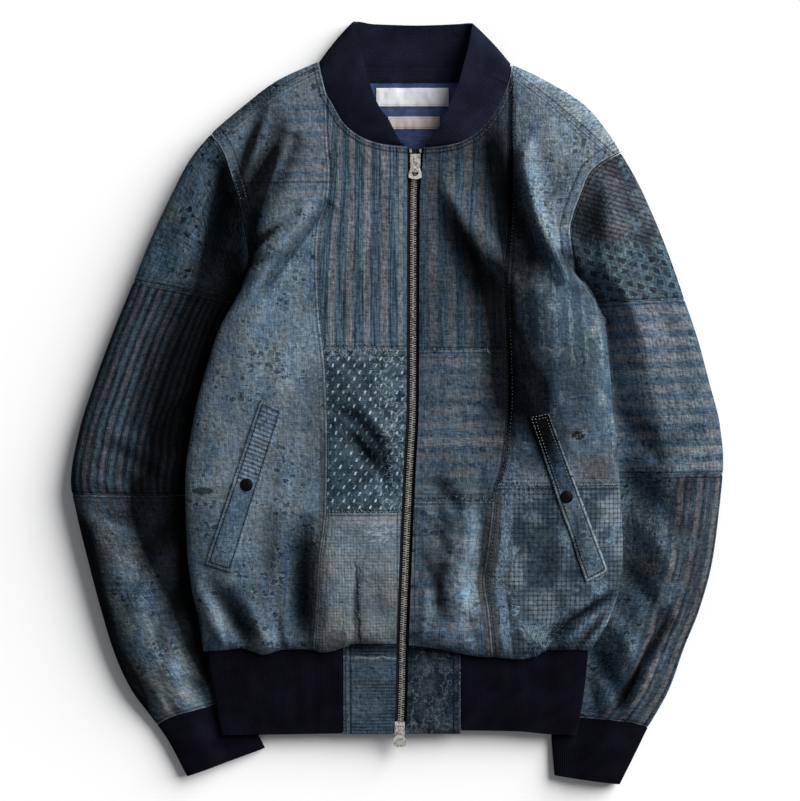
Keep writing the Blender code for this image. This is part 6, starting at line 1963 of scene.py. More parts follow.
def banded_cloth(name, y_start, pitch, contrast, brightness):
    """Worn cloth with soft bands across it, and a darned line at its foot or head."""
    f, x, y, light = new_cloth(name, 0.75, 12.0)
    boro(f, DYES["banded"], 0.6, 0.2, 30.0)
    band = stripes(f, y, pitch, y_start, 0.27 * pitch, 2.2)
    pale = f.mix(GREY_BLUE, BEIGE, f.noise(18.0, detail=2.0).above(0.5, 0.08))
    f.lay(pale, band * contrast * f.noise(9.0, (2.0, 1.0)).above(0.42, 0.12))
    warp = stripes(f, x, 21.0, 24.0, 3.0, 1.6)
    f.lay(INDIGO, warp * 0.35)
    darn = y.within(-43.0, -35.0, 1.2) * f.noise(2.2, (3.0, 0.6), 1.0).above(0.5, 0.06)
    f.lay((0.22, 0.215, 0.21), darn * 0.7)
    f.lay(BLACK_BLUE, (abs(x - 17.6).below(0.5, 0.3)) * 0.6)
    inset = f.field("inset")
    selvedge(f, inset, 8.0, y, -250.0, -92.0)
    f.lay(BLACK_BLUE, inset.below(2.4, 0.8) * y.above(-92.0, 5.0) * 0.85)
    return sewn(f, brightness * light)


def gingham_cloth():
    """Small blue gingham with darned places, a pale strip and a dark patch."""
    f, x, y, light = new_cloth("small_gingham", 0.55)
    inset = f.field("inset")
    columns = x.off_line(4.8, 1.2).below(0.75, 0.5)
    rows = y.off_line(4.8).below(0.75, 0.5)
    base = f.mix((0.050, 0.070, 0.088), (0.150, 0.182, 0.208), f.noise(30.0, detail=3.0)
                 .above(0.51, 0.10))
    f.cloth = f.mix(base, (0.012, 0.022, 0.036), (columns + rows) * 0.47)
    worn = f.noise(20.0, detail=2.0).above(0.56, 0.03)
    mended = f.mix((0.062, 0.096, 0.126), (0.150, 0.200, 0.245),
                   f.noise(5.0, detail=2.0).lines(0.05, 0.03))
    f.lay(mended, worn * 0.85)
    strip = inset.within(10.0, 19.0, 0.8)
    pale = f.mix((0.150, 0.205, 0.265), INDIGO, f.noise(4.0, (0.8, 1.6), 2.0).lines(0.035, 0.02))
    f.lay(pale, strip * 0.8)
    wander = f.noise(22.0, detail=3.0).swing(26.0)
    block = (x + wander).within(130.0, 161.0, 4.0) * (y + wander).within(-184.0, -124.0, 6.0)
    f.lay(f.mix((0.010, 0.018, 0.027), (0.034, 0.060, 0.082),
                f.noise(6.0, detail=3.0).above(0.5, 0.12)), block * 0.75)
    selvedge(f, inset, 7.0, y, -256.0, -92.0)
    return sewn(f, 0.84 * light)


def left_sleeve_upper():
    """Dark mottled denim."""
    f, _, _, light = new_cloth("left_upper_denim", 1.0)
    boro(f, DYES["left_upper"], 0.9, 0.25, 40.0, 4.2)
    return sewn(f, light)


def left_sleeve_middle():
    """Narrow beige, blue and near-black stripes down the sleeve."""
    f, x, _, light = new_cloth("narrow_stripes", 0.8)
    streak = f.noise(1.2, (1.0, 30.0), 2.0)
    base = f.mix((0.018, 0.026, 0.034), (0.046, 0.064, 0.080), streak.above(0.5, 0.15))
    f.cloth = f.mix(base, (0.085, 0.086, 0.094), stripes(f, x, 17.6, 5.0, 1.9) * 0.7)
    f.lay((0.062, 0.090, 0.112), stripes(f, x, 17.6, 13.8, 1.7) * 0.8)
    f.lay(BLACK_BLUE, x.within(-4.0, 9.0, 0.8) * 0.7)
    f.lay(BLACK_BLUE, stripes(f, x, 8.8, 9.4, 0.9) * 0.6)
    return sewn(f, light)


def left_sleeve_lower():
    """Mottled cloth with rows of short running stitches."""
    f, x, y, light = new_cloth("mended_denim", 0.75)
    boro(f, DYES["left_lower"], 0.6, 0.25, 36.0, 4.2, 0.60)
    dash = (y.off_line(7.4).below(0.7, 0.4) * x.off_line(4.4).below(1.2, 0.4)
            * f.noise(32.0).above(0.5, 0.06))
    f.lay(THREAD, dash * 0.22)
    stripe = stripes(f, x, 15.0, 30.0, 3.2, 1.5) * f.noise(60.0).above(0.5, 0.08)
    f.lay(BEIGE_DARK, stripe * 0.5)
    return sewn(f, light)


def right_sleeve_upper():
    """Dark ribs across the sleeve with broken teal dashes."""
    f, _, _, light = new_cloth("dark_ribs", 0.85)
    across_x, across_y = f.seen_from_above()
    lean = 0.95 * across_y + 0.26 * across_x + f.noise(16.0).swing(1.6)
    rib = lean.off_line(4.5).below(0.8, 0.55)
    base = f.mix((0.036, 0.042, 0.050), (0.080, 0.083, 0.092), f.noise(26.0, detail=3.0)
                 .above(0.5, 0.12))
    f.cloth = f.mix(base, BLACK_BLUE, rib * 0.68)
    dashes = f.noise(3.2, (2.0, 1.0), 1.5).above(0.56, 0.04) * f.noise(20.0).above(0.46, 0.08)
    f.lay((0.090, 0.140, 0.172), dashes * 0.45)
    low = (across_y + f.noise(12.0, detail=2.0).swing(16.0)).below(160.0, 6.0)
    down = lean.off_line(9.6) / 2.6
    block = down.most((across_x + 3.9 * (lean / 9.6 + 0.5).whole()).off_line(11.6) / 3.5)
    block = block + f.noise(4.4, detail=2.0).swing(2.0)
    woven = f.noise(14.0, detail=2.0).above(0.42, 0.06)
    f.lay((0.050, 0.078, 0.100), low * 0.7)
    f.lay((0.110, 0.160, 0.188), low * woven * block.within(1.0, 1.5, 0.15) * 0.50)
    f.lay((0.020, 0.023, 0.029), low * block.below(0.95, 0.15) * (0.35 + 0.5 * woven))
    return sewn(f, light)


def right_sleeve_middle():
    """Beige and blue bands across the sleeve."""
    f, x, _, light = new_cloth("banded_denim", 0.95)
    boro(f, DYES["right_middle"], 0.7, 0.3, 30.0)
    across_x, across_y = f.seen_from_above()
    band = stripes(f, across_y - 0.03 * across_x, 15.6, 6.0, 4.0, 1.2)
    pale = f.mix((0.130, 0.132, 0.140), (0.170, 0.186, 0.198), f.noise(16.0).above(0.5, 0.1))
    shown = f.noise(7.0, (2.4, 1.0), 2.0).above(0.36, 0.12)
    f.lay(pale, band * shown * 0.86)
    twill = stripes(f, across_x + 0.12 * across_y, 3.9, 0.0, 0.8, 0.6)
    f.lay(INDIGO, twill * band * 0.35)
    f.lay(BEIGE, stripes(f, x, 26.0, 70.0, 2.4, 1.2) * 0.25)
    return sewn(f, light)


def right_sleeve_lower():
    """Brown and blue stripes down the outer side, mottled inside."""
    f, x, _, light = new_cloth("brown_stripes", 0.95)
    boro(f, DYES["right_lower"], 0.75, 0.75, 30.0)
    outer = x.below(58.0, 4.0)
    bars = stripes(f, x, 19.0, 11.0, 2.6, 1.0).most(0.55 * stripes(f, x, 19.0, 2.5, 1.3, 0.7))
    striped = f.mix((0.034, 0.050, 0.068), (0.108, 0.104, 0.108), bars)
    striped = f.mix(striped, BLACK_BLUE, stripes(f, x, 19.0, 6.4, 0.9, 0.5) * 0.7)
    _, across_y = f.seen_from_above()
    ribs = stripes(f, across_y, 7.6, 3.0, 1.4, 0.9) * across_y.within(-186.0, -104.0, 14.0)
    f.lay(BEIGE_DARK, ribs * f.noise(24.0).above(0.38, 0.08) * 0.65)
    f.lay(striped, outer * f.noise(30.0, detail=1.0).above(0.34, 0.10) * 0.9)
    return sewn(f, 0.82 * light)


def yoke_cloth(left):
    """The yokes: dark and speckled on the left, pale slubby denim on the right."""
    f, x, y, light = new_cloth("yoke_denim_left" if left else "yoke_denim_right", 0.9, 14.0)
    if left:
        boro(f, DYES["left_yoke"], 0.8, 0.4)
    else:
        boro(f, DYES["right_yoke"], 0.35, 0.3)
        f.lay(INDIGO, (y - 0.75 * x).off_line(5.4).below(0.6, 0.4) * 0.4)
    return sewn(f, light)


def back_cloth():
    """The back: wide worn patches of plain, striped and banded cloth."""
    f, x, y, light = new_cloth("back_patchwork", 1.0)
    boro(f, DYES["back"], 0.7, 0.5)
    stripe = stripes(f, x, 17.7, 4.0, 3.8)
    low = y.below(-30.0, 0.8)
    f.lay(f.mix(TEAL, BEIGE, stripe), x.within(-60.0, 70.0, 0.8) * 0.8)
    f.lay(f.mix(INDIGO, GREY_BLUE, stripes(f, y, 13.0, 0.0, 3.4)), low * x.above(0.0, 0.8) * 0.8)
    return sewn(f, light)


def welt_cloth(left):
    """A pocket welt: patched with fine stripes on the left, dark then plain on the right."""
    f, x, y, light = new_cloth("welt_left_cloth" if left else "welt_right_cloth", 0.8)
    if left:
        boro(f, DYES["left_welt"], 0.4, 0.4)
        lean = y + 0.35 * x
        lines = lean.off_line(4.6).below(0.7, 0.4)
        f.lay(INDIGO_DEEP, lines * y.above(-76.0, 1.0) * 0.7)
        pale_lines = (lean - 2.0).off_line(4.6).below(0.7, 0.4)
        f.lay((0.20, 0.25, 0.29), pale_lines * y.within(-82.0, -30.0, 2.0) * 0.6)
        f.lay((0.055, 0.092, 0.130), y.within(-122.0, -86.0, 1.0) * 0.8)
        outline, inner = (0.150, 0.195, 0.235), 0.9
    else:
        boro(f, DYES["right_welt_top"], 0.4, 0.1)
        top = f.cloth
        boro(f, DYES["right_welt_low"], 0.5, 0.3)
        f.cloth = f.mix(top, f.cloth, y.below(-88.0, 3.0))
        outline, inner = (0.210, 0.250, 0.275), 0.7
    edge = f.field("edge")
    f.lay(BLACK_BLUE, edge.within(2.6, 3.9, 0.4) * inner)
    f.lay(outline, edge.within(0.5, 2.0, 0.4) * f.noise(4.0).above(0.40, 0.1) * 0.85)
    return sewn(f, light, seams=False)


def tab_cloth(left):
    """The waistband's cloth ends: finely striped on the left, dark and mottled on the right, with the
    front hem's shadow painted across their tops.
    """
    f, x, y, light = new_cloth("tab_left_cloth" if left else "tab_right_cloth", 0.8)
    if left:
        base = f.mix((0.018, 0.030, 0.042), (0.044, 0.066, 0.086), f.noise(20.0, detail=2.0)
                     .above(0.5, 0.12))
        f.cloth = f.mix(base, (0.064, 0.086, 0.104), y.off_line(3.3).below(0.75, 0.4) * 0.6)
        mend = y.within(-276.0, -262.0, 1.5) * f.noise(12.0, (2.0, 1.0), 2.0).above(0.46, 0.06)
        f.lay((0.050, 0.086, 0.135), mend * 0.7)
        f.lay(GREY_PALE, abs(y + 255.0 + f.noise(14.0).swing(6.0)).below(0.9, 0.5) * 0.6)
        f.lay(BLACK_BLUE, abs(x + 46.0).below(0.8, 0.4) * 0.8)
        f.lay((0.10, 0.13, 0.155), (x + 49.5).within(-3.0, 2.2, 0.6) * 0.5)
    else:
        f.cloth = f.mix((0.011, 0.017, 0.026), (0.036, 0.046, 0.058),
                        f.noise(16.0, detail=3.0).above(0.52, 0.12))
        arcs = f.noise(11.0, (1.0, 1.5), 2.5).lines(0.015, 0.014)
        f.lay((0.110, 0.130, 0.150), arcs * 0.6)
        f.lay(BLACK_BLUE, abs(x - 57.0).below(0.7, 0.4) * 0.8)
    # Painted shadow of the front's hem across the top of the tab.
    hem_shadow = 1 - 0.6 * (y + f.noise(20.0).swing(4.0)).above(-252.0, 7.0)
    return sewn(f, light * hem_shadow * (0.94 if left else 0.88))


def knit_finish(name, brightness, dye=(1.0, 1.0, 1.0)):
    """Dark navy rib knit: small loops on each rib, a little lint, paler on its ridges; brightness
    paints the whole copy lighter or darker as painted light and shade.
    """
    f = Finish(name, roughness=0.9, specular=0.015)
    x, y = f.on_cloth()
    ridge = x.off_line(RIB_PITCH, RIB_PITCH / 2).below(0.55, 0.5)
    loops = y.off_line(1.4).below(0.35, 0.3)
    soft = f.noise(26.0, detail=3.0)
    f.cloth = f.mix((0.0042, 0.0038, 0.0074), (0.0098, 0.0094, 0.0186), soft.above(0.5, 0.2))
    f.lay((0.016, 0.0155, 0.030), ridge * 0.4)
    lint = f.noise(1.6, detail=1.0).above(0.72, 0.03)
    f.lay((0.040, 0.046, 0.070), lint * 0.3)
    f.colour(f.shade(f.tint(f.cloth, dye), brightness * (0.85 + 0.3 * loops)))
    f.bump(0.6 * loops + f.noise(1.4), 0.35, 0.6)
    return f.material


def nylon_finish():
    """Shiny blue lining with fine crosswise puckers."""
    f = Finish("lining_nylon", roughness=0.5, specular=0.12)
    f.on_cloth()
    drift = f.noise(18.0, detail=2.0)
    f.colour(f.mix((0.022, 0.038, 0.100), (0.050, 0.078, 0.180), drift.above(0.5, 0.18)))
    f.bump(f.noise(5.0, (2.2, 0.8), 2.0) + 0.2 * f.noise(0.9), 1.2, 0.8)
    return f.material


def label_finish(name, colour, border):
    """A blank woven label with a fine border line."""
    f = Finish(name, roughness=0.8, specular=0.1)
    x, y = f.on_cloth()
    edge = f.field("edge")
    line = edge.within(1.2, 2.1, 0.3)
    if border:
        line = line * (x + y).off_line(2.0).below(0.6, 0.3)
        made = f.mix(colour, border, line * 0.9)
    else:
        made = f.mix(colour, f.shade(colour, 0.8), line * 0.6)
    twill = (x + y).off_line(1.1).below(0.28, 0.2)
    f.colour(f.shade(made, 0.96 + 0.05 * twill + f.noise(7.0, detail=2.0).swing(0.10)))
    f.bump(twill, 0.08, 0.5)
    return f.material


def tape_finish():
    """The zip's black woven tape."""
    f = Finish("black_zip_tape", roughness=0.9, specular=0.03)
    _, y = f.on_cloth()
    rows = y.off_line(1.3).below(0.3, 0.25)
    f.colour(f.shade(f.mix((0.006, 0.006, 0.008), (0.016, 0.016, 0.019), f.noise(3.0)),
                     0.8 + 0.4 * rows))
    f.bump(rows, 0.15, 0.8)
    return f.material


def metal_finish(name, colour, dark, roughness):
    """Aged metal: darker in its tarnish, with soft scratches."""
    f = Finish(name, roughness=roughness, specular=0.5, metallic=1.0)
    f.place = f.in_space()
    tarnish = f.noise(2.2, detail=3.0)
    scratch = f.noise(0.5, (1.0, 8.0), 1.0)
    f.colour(f.mix(dark, colour, tarnish.above(0.46, 0.16)))
    f.put(f.shader.inputs["Roughness"], roughness - 0.1 + 0.25 * tarnish + 0.1 * scratch)
    f.bump(scratch + tarnish, 0.05, 0.6)
    return f.material


def snap_finish():
    """A dark lacquered snap cap."""
    f = Finish("lacquered_cap", roughness=0.4, specular=0.03)
    f.place = f.in_space()
    worn = f.noise(1.6, detail=3.0)
    f.colour(f.mix((0.0025, 0.002, 0.003), (0.012, 0.010, 0.011), worn.above(0.68, 0.06)))
    f.put(f.shader.inputs["Roughness"], 0.28 + 0.3 * worn)
    f.bump(worn, 0.04, 0.5)
    return f.material


def thread_finish(name, colour):
    """Sewing thread with a slight twist."""
    f = Finish(name, roughness=0.85, specular=0.05)
    f.place = f.in_space()
    f.colour(f.shade(colour, 0.7 + 0.6 * f.noise(2.5, detail=2.0)))
    f.bump(f.noise(0.3), 0.05, 0.5)
    return f.material


# ------------------------------------------------------------- stitches and loose threads


def plan_reach(line):
    """Running length of a plan line."""
    return np.concatenate([[0.0], np.cumsum(np.hypot(*np.diff(line, axis=0).T))])


def beside(line, offset):
    """A plan line moved to its left by an offset."""
    line = np.asarray(line, float)
    run = unit(np.gradient(line, axis=0))
    return line + offset * np.stack([-run[:, 1], run[:, 0]], axis=-1)


def dense(line, step=4.0):
    """A table's plan line read at close steps."""
    count = max(3, round(plan_reach(np.asarray(line, float))[-1] / step))
    return along(line, np.linspace(0.0, 1.0, count))


def joined(name, places, faces, finish, smooth=True):
    """One mesh of many small like shapes: places is shapes by points by 3, in millimetres."""
    count, points = places.shape[:2]
    start = (np.arange(count) * points)[:, None, None]
    every_face = []
    for corners in (4, 3):
        alike = [face for face in faces if len(face) == corners]
        if alike:
            every_face += (np.array(alike)[None] + start).reshape(-1, corners).tolist()
    mesh = bpy.data.meshes.new(name)
    mesh.from_pydata((places.reshape(-1, 3) * MM).tolist(), [], every_face)
    if smooth:
        mesh.shade_smooth()
    mesh.materials.append(finish)
    piece = bpy.data.objects.new(name, mesh)
    bpy.context.collection.objects.link(piece)
    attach(piece, "jacket")
    return piece


STITCH_FACES = ((0, 2, 4), (2, 1, 4), (1, 3, 4), (3, 0, 4), (2, 0, 5), (1, 2, 5), (3, 1, 5), (0, 3, 5))


STITCH_LIFT = 0.05     # middle of a stitch above the cloth
STITCH_SUNK = 0.17     # its ends below it


def stitches(name, lines, pitch, length, width, finish, seed, height=front_look):
    """Short stitches along plan lines on a surface."""
    dice = np.random.default_rng(seed)
    centres, runs = [], []
    for line in lines:
        line = np.asarray(line, float)
        reach = plan_reach(line)
        at = np.arange(0.5 * pitch, reach[-1], pitch)
        at = at + dice.uniform(-0.12, 0.12, at.shape) * pitch
        spots = [np.stack([np.interp(at + step, reach, line[:, k]) for k in (0, 1)], -1)
                 for step in (0, 0.4, -0.4)]
        centres.append(spots[0])
        runs.append(unit(spots[1] - spots[2] + 1e-9))
    plan, run = np.concatenate(centres), np.concatenate(runs)
    run = unit(run + dice.uniform(-0.09, 0.09, run.shape))
    size = length * dice.uniform(0.8, 1.12, len(plan))
    x, y = plan.T
    up_way = height_normals(height, x, y, 0.6)
    ends = [lifted(plan + sign * run * size[:, None] / 2,
                   height(*(plan + sign * run * size[:, None] / 2).T)) for sign in (-1, 1)]
    centre = lifted(plan, height(x, y)) + up_way * STITCH_LIFT
    side = unit(np.cross(up_way, ends[1] - ends[0])) * width / 2
    rise = up_way * width * 0.45
    sunk = up_way * -STITCH_SUNK
    places = np.stack([ends[0] + sunk, ends[1] + sunk, centre - side, centre + side,
                       centre + rise, centre - rise], axis=1)
    return joined(name, places, STITCH_FACES, finish)


def strands(name, points, thickness, finish):
    """Loose threads: points is strands by points by 3, in millimetres."""
    count, steps = points.shape[:2]
    run = unit(np.gradient(points, axis=1) + 1e-9)
    side = unit(np.cross(run, np.array([0.13, 0.21, 1.0])))
    upward = np.cross(side, run)
    taper = thickness / 2 * np.sqrt(np.clip(np.sin(np.linspace(0.06, 0.97, steps) * np.pi),
                                            0.05, 1))[None, :, None]
    corners = [points + taper * (math.cos(a) * side + math.sin(a) * upward)
               for a in np.array([0.5, 2.6, 4.7])]
    places = np.stack(corners, axis=2).reshape(count, steps * 3, 3)
    faces = [(3 * i + j, 3 * i + (j + 1) % 3, 3 * i + 3 + (j + 1) % 3, 3 * i + 3 + j)
             for i in range(steps - 1) for j in range(3)]
    piece = joined(name, places, faces, finish)
    tips = [(2, 1, 0), (3 * steps - 3, 3 * steps - 2, 3 * steps - 1)]
    mesh = bmesh.new()
    mesh.from_mesh(piece.data)
    mesh.verts.ensure_lookup_table()
    for k in range(count):
        for tip in tips:
            mesh.faces.new([mesh.verts[k * steps * 3 + n] for n in tip])
    bmesh.ops.recalc_face_normals(mesh, faces=mesh.faces)
    mesh.to_mesh(piece.data)
    mesh.free()
    return piece


def seam_stitches(thread, dark_thread):
    """The rows of sewing beside the seams, the zip, the neck, the armholes and the hem."""
    rows, fine = [], []
    heights = np.linspace(-236.0, 250.0, 140)
    for sign in (-1, 1):
        fine.append(on(lambda y: zip_edge(sign)(y) + sign * 3.4, heights))
    for seam, top_y in ((LEFT_SEAM, 300.0), (RIGHT_SEAM, 322.0)):
        line = on(seam_of(seam), np.linspace(-240.0, top_y, 170))
        fine.append(beside(line, 2.6))
        rows.append(beside(line, -2.6))
    for hole, sign, start in ((LEFT_ARMHOLE, -1, 15), (RIGHT_ARMHOLE, 1, 5)):
        rows += [beside(dense(hole)[start:], sign * offset) for offset in (2.6, 8.4)]
    for neck, sign in ((LEFT_NECK, 1), (RIGHT_NECK, -1)):
        rows.append(beside(dense(neck[:-1]), sign * 4.4))
    for seam in (LEFT_FORWARD_SEAM, RIGHT_FORWARD_SEAM):
        rows += [beside(dense(seam), offset) for offset in (-2.6, 2.6)]
    for low, high in ((-186.0, -4.0), (18.0, 186.0)):
        x = np.linspace(low, high, 60)
        fine.append(np.stack([x, hem_line(x) + 6.0], axis=-1))
    stitches("seam_stitches", rows, 3.6, 2.7, 0.62, thread, 3)
    stitches("fine_stitches", fine, 3.0, 2.2, 0.5, dark_thread, 4)


def border(corners, inset):
    """A closed plan line inside four corners."""
    corners = np.array(corners, float)
    centre = corners.mean(axis=0)
    line = []
    for a, b in zip(corners, np.roll(corners, -1, axis=0)):
        run = unit(b - a)
        inward = np.array([-run[1], run[0]])
        inward = inward * np.sign(inward @ (centre - a))
        line.append(np.linspace(a + run * inset + inward * inset, b - run * inset + inward * inset, 40))
    return np.concatenate(line)


# Rows of running stitches that hold the mends down: their two x, their lowest and highest y,
# the step between rows and their lean.
MENDING = dict(columns=("x0", "x1", "low", "high", "step", "lean"), rows=(
    (-64, -14, 49, 60, 3.4, 0),
    (-32, -3, -137, -121, 3, 0.05),
    (20, 103, -42, -34, 2.6, 0.01),
    (112, 176, -90, -80, 3.6, 0),
    (-118, -86, 204, 232, 4.2, 0.05),
    (124, 168, -236, -214, 4.4, -0.12),
    (-176, -120, -150, -128, 4.2, 0.1)))


def patch_stitches(thread, blue_thread, cream):
    """Sewing round the pocket welts and the waistband's cloth ends, and rows of mending."""
    on_welt = lambda x, y: front_look(x, y) + WELT_LIFT
    for name, top_left, top_right, low_right, low_left, _ in WELTS["rows"]:
        corners = (top_left, top_right, low_right, low_left)
        lines = [border(corners, inset) for inset in (1.7, 4.6)]
        stitches(f"welt_stitches_{name}", lines, 3.2, 2.3, 0.55,
                 thread if name == "left" else cream, 7, on_welt)
    tabs = [on(upright(TAB_LEFT_X + offset), np.linspace(-330, -252, 40)) for offset in (2.6, 7.4)]
    tabs += [on(upright(TAB_RIGHT_X - offset), np.linspace(-328, -256, 40)) for offset in (2.6, 6.6)]
    stitches("tab_stitches", tabs, 3.2, 2.4, 0.55, thread, 8, tab_look)
    mending = []
    for x0, x1, low, high, step, lean in MENDING["rows"]:
        for k, y in enumerate(np.arange(low, high, step)):
            x = np.linspace(x0, x1, 30)
            wander = 0.8 * uneven(x, np.full(30, y), 12.0, 60 + k)
            mending.append(np.stack([x, y + lean * (x - x0) + wander], axis=-1))
    stitches("mending_stitches", mending, 4.4, 2.6, 0.5, blue_thread, 9)


# Where patches have worn through: a line between two points, how many threads stand off it, how
# long they are and which way they point, in degrees.
FRAYS = dict(columns=("x0", "y0", "x1", "y1", "count", "length", "way"), rows=(
    (-68, 52.5, -2, 53, 90, 4.5, 250),
    (-66, 50.5, 2, 51, 50, 3.5, 80),
    (-22, 40, -4, -80, 70, 5, 200),
    (-66, -109, 4, -109.5, 60, 3.5, 90),
    (24, 52.5, 96, 52.5, 20, 2.6, 265),
    (22, -97, 96, -98, 30, 3.6, 85),
    (100, -82.5, 222, -82.5, 90, 3.8, 90),
    (-34, -158, -40, -238, 40, 3.4, 190),
    (172, -40, 184, -30, 26, 3.4, 40),
    (112, -90, 114, -230, 70, 4, 20),
    (126, -226, 150, -250, 60, 12, 100)))


def frayed_edges(pale_thread):
    """Loose threads where patches have worn through."""
    dice = np.random.default_rng(21)
    points = []
    for x0, y0, x1, y1, count, length, way in FRAYS["rows"]:
        for t in dice.uniform(0, 1, count):
            at = np.array([x0 + (x1 - x0) * t, y0 + (y1 - y0) * t])
            at = at + dice.normal(0, 0.9, 2)
            turn = math.radians(way) + dice.normal(0, 0.55)
            size = length * dice.uniform(0.4, 1.3)
            s = np.linspace(0, 1, 6)
            bend = dice.normal(0, 0.5)
            heading = turn + bend * s
            plan = at + np.stack([np.cos(heading), np.sin(heading)], -1) * (size * s)[:, None]
            lift = 0.25 + 0.9 * np.sin(np.pi * s) * dice.uniform(0, 1)
            points.append(lifted(plan, front_look(*plan.T) + lift))
    strands("loose_threads", np.array(points), 0.34, pale_thread)


# -------------------------------------------------------------------------------- zip

TAPE = 1.0
TAPE_BELOW = CLOTH + 0.75         # top face of the tape under the cloth's face
TAPE_ENDS = (-331.0, 253.2)
TAPE_CELL = 1.6
TAPE_COLUMNS = np.array([0.35, 1.2, 2.4, 4.2, 6.6, 9.4, 12.6, 16.2])   # out from the middle line
TEETH_HIGH = 2.6
TOOTH_LONG = 1.15
TOOTH_BEVEL = 0.32
TOOTH_PITCH = 2.3
TOOTH_REACH = (-0.9, 3.15)      # from past the middle line out over the tape's edge
CHAIN_ENDS = (-327.0, 243.5)


def tape_top(y):
    """Height of the zip tapes' upper face."""
    return zip_level(y) - TAPE_BELOW


def deselect():
    """Leaves nothing selected."""
    for thing in bpy.context.selected_objects:
        thing.select_set(False)


def zip_tooth():
    """One tooth, as points and faces: a block with a bevelled head, modelled as by hand."""
    deselect()
    width = TOOTH_REACH[1] - TOOTH_REACH[0]
    bpy.ops.mesh.primitive_cube_add(size=1.0, scale=(width * MM, TOOTH_LONG * MM, TEETH_HIGH * MM))
    tooth = bpy.context.object
    bpy.ops.object.transform_apply(location=False, rotation=False, scale=True)
    bpy.ops.object.mode_set(mode="EDIT")
    bpy.ops.mesh.select_all(action="SELECT")
    bpy.ops.mesh.bevel(offset=TOOTH_BEVEL * MM, segments=1)
    bpy.ops.object.mode_set(mode="OBJECT")
    points = np.array([vertex.co for vertex in tooth.data.vertices]) / MM
    faces = [tuple(polygon.vertices) for polygon in tooth.data.polygons]
    bpy.data.objects.remove(tooth)
    return points, faces


def zip_line(tape, teeth):
    """The woven tapes and the two rows of teeth between the sliders."""
    y = np.arange(*TAPE_ENDS, TAPE_CELL)
    for name, sign in (("left", -1), ("right", 1)):
        x = read(ZIP, "x", y)[:, None] + (sign * TAPE_COLUMNS)[::sign][None]
        plan = np.stack([x, np.repeat(y[:, None], len(TAPE_COLUMNS), axis=1)], axis=-1)
        base = lifted(plan, tape_top(plan[..., 1]))
        out = grid_normals(base, False)
        out = out * np.where(out[..., 2:] < 0, -1.0, 1.0)
        flat = np.zeros(x.shape)
        fields = dict(tone=flat, brown=flat, wear_and_crease_shade=flat, edge=flat)
        uv = np.stack([x, plan[..., 1]], -1)
        piece = shell(f"zip_tape_{name}_woven", base, out, TAPE, uv, fields, tape)
        declare(piece, [f"zip_tape_{name}"], base)
    points, faces = zip_tooth()
    rows = []
    for sign in (-1, 1):
        at = np.arange(CHAIN_ENDS[0] + (0.5 + sign * 0.25) * TOOTH_PITCH, CHAIN_ENDS[1], TOOTH_PITCH)
        centre = np.stack([read(ZIP, "x", at) + sign * sum(TOOTH_REACH) / 2, at,
                           tape_top(at) - TAPE / 2], axis=-1)
        rows.append(points[None] + centre[:, None])
    piece = joined("zip_teeth_rows", np.concatenate(rows), faces, teeth, smooth=False)
    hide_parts("zip_chain")


# ------------------------------------------------------------------------- the jacket


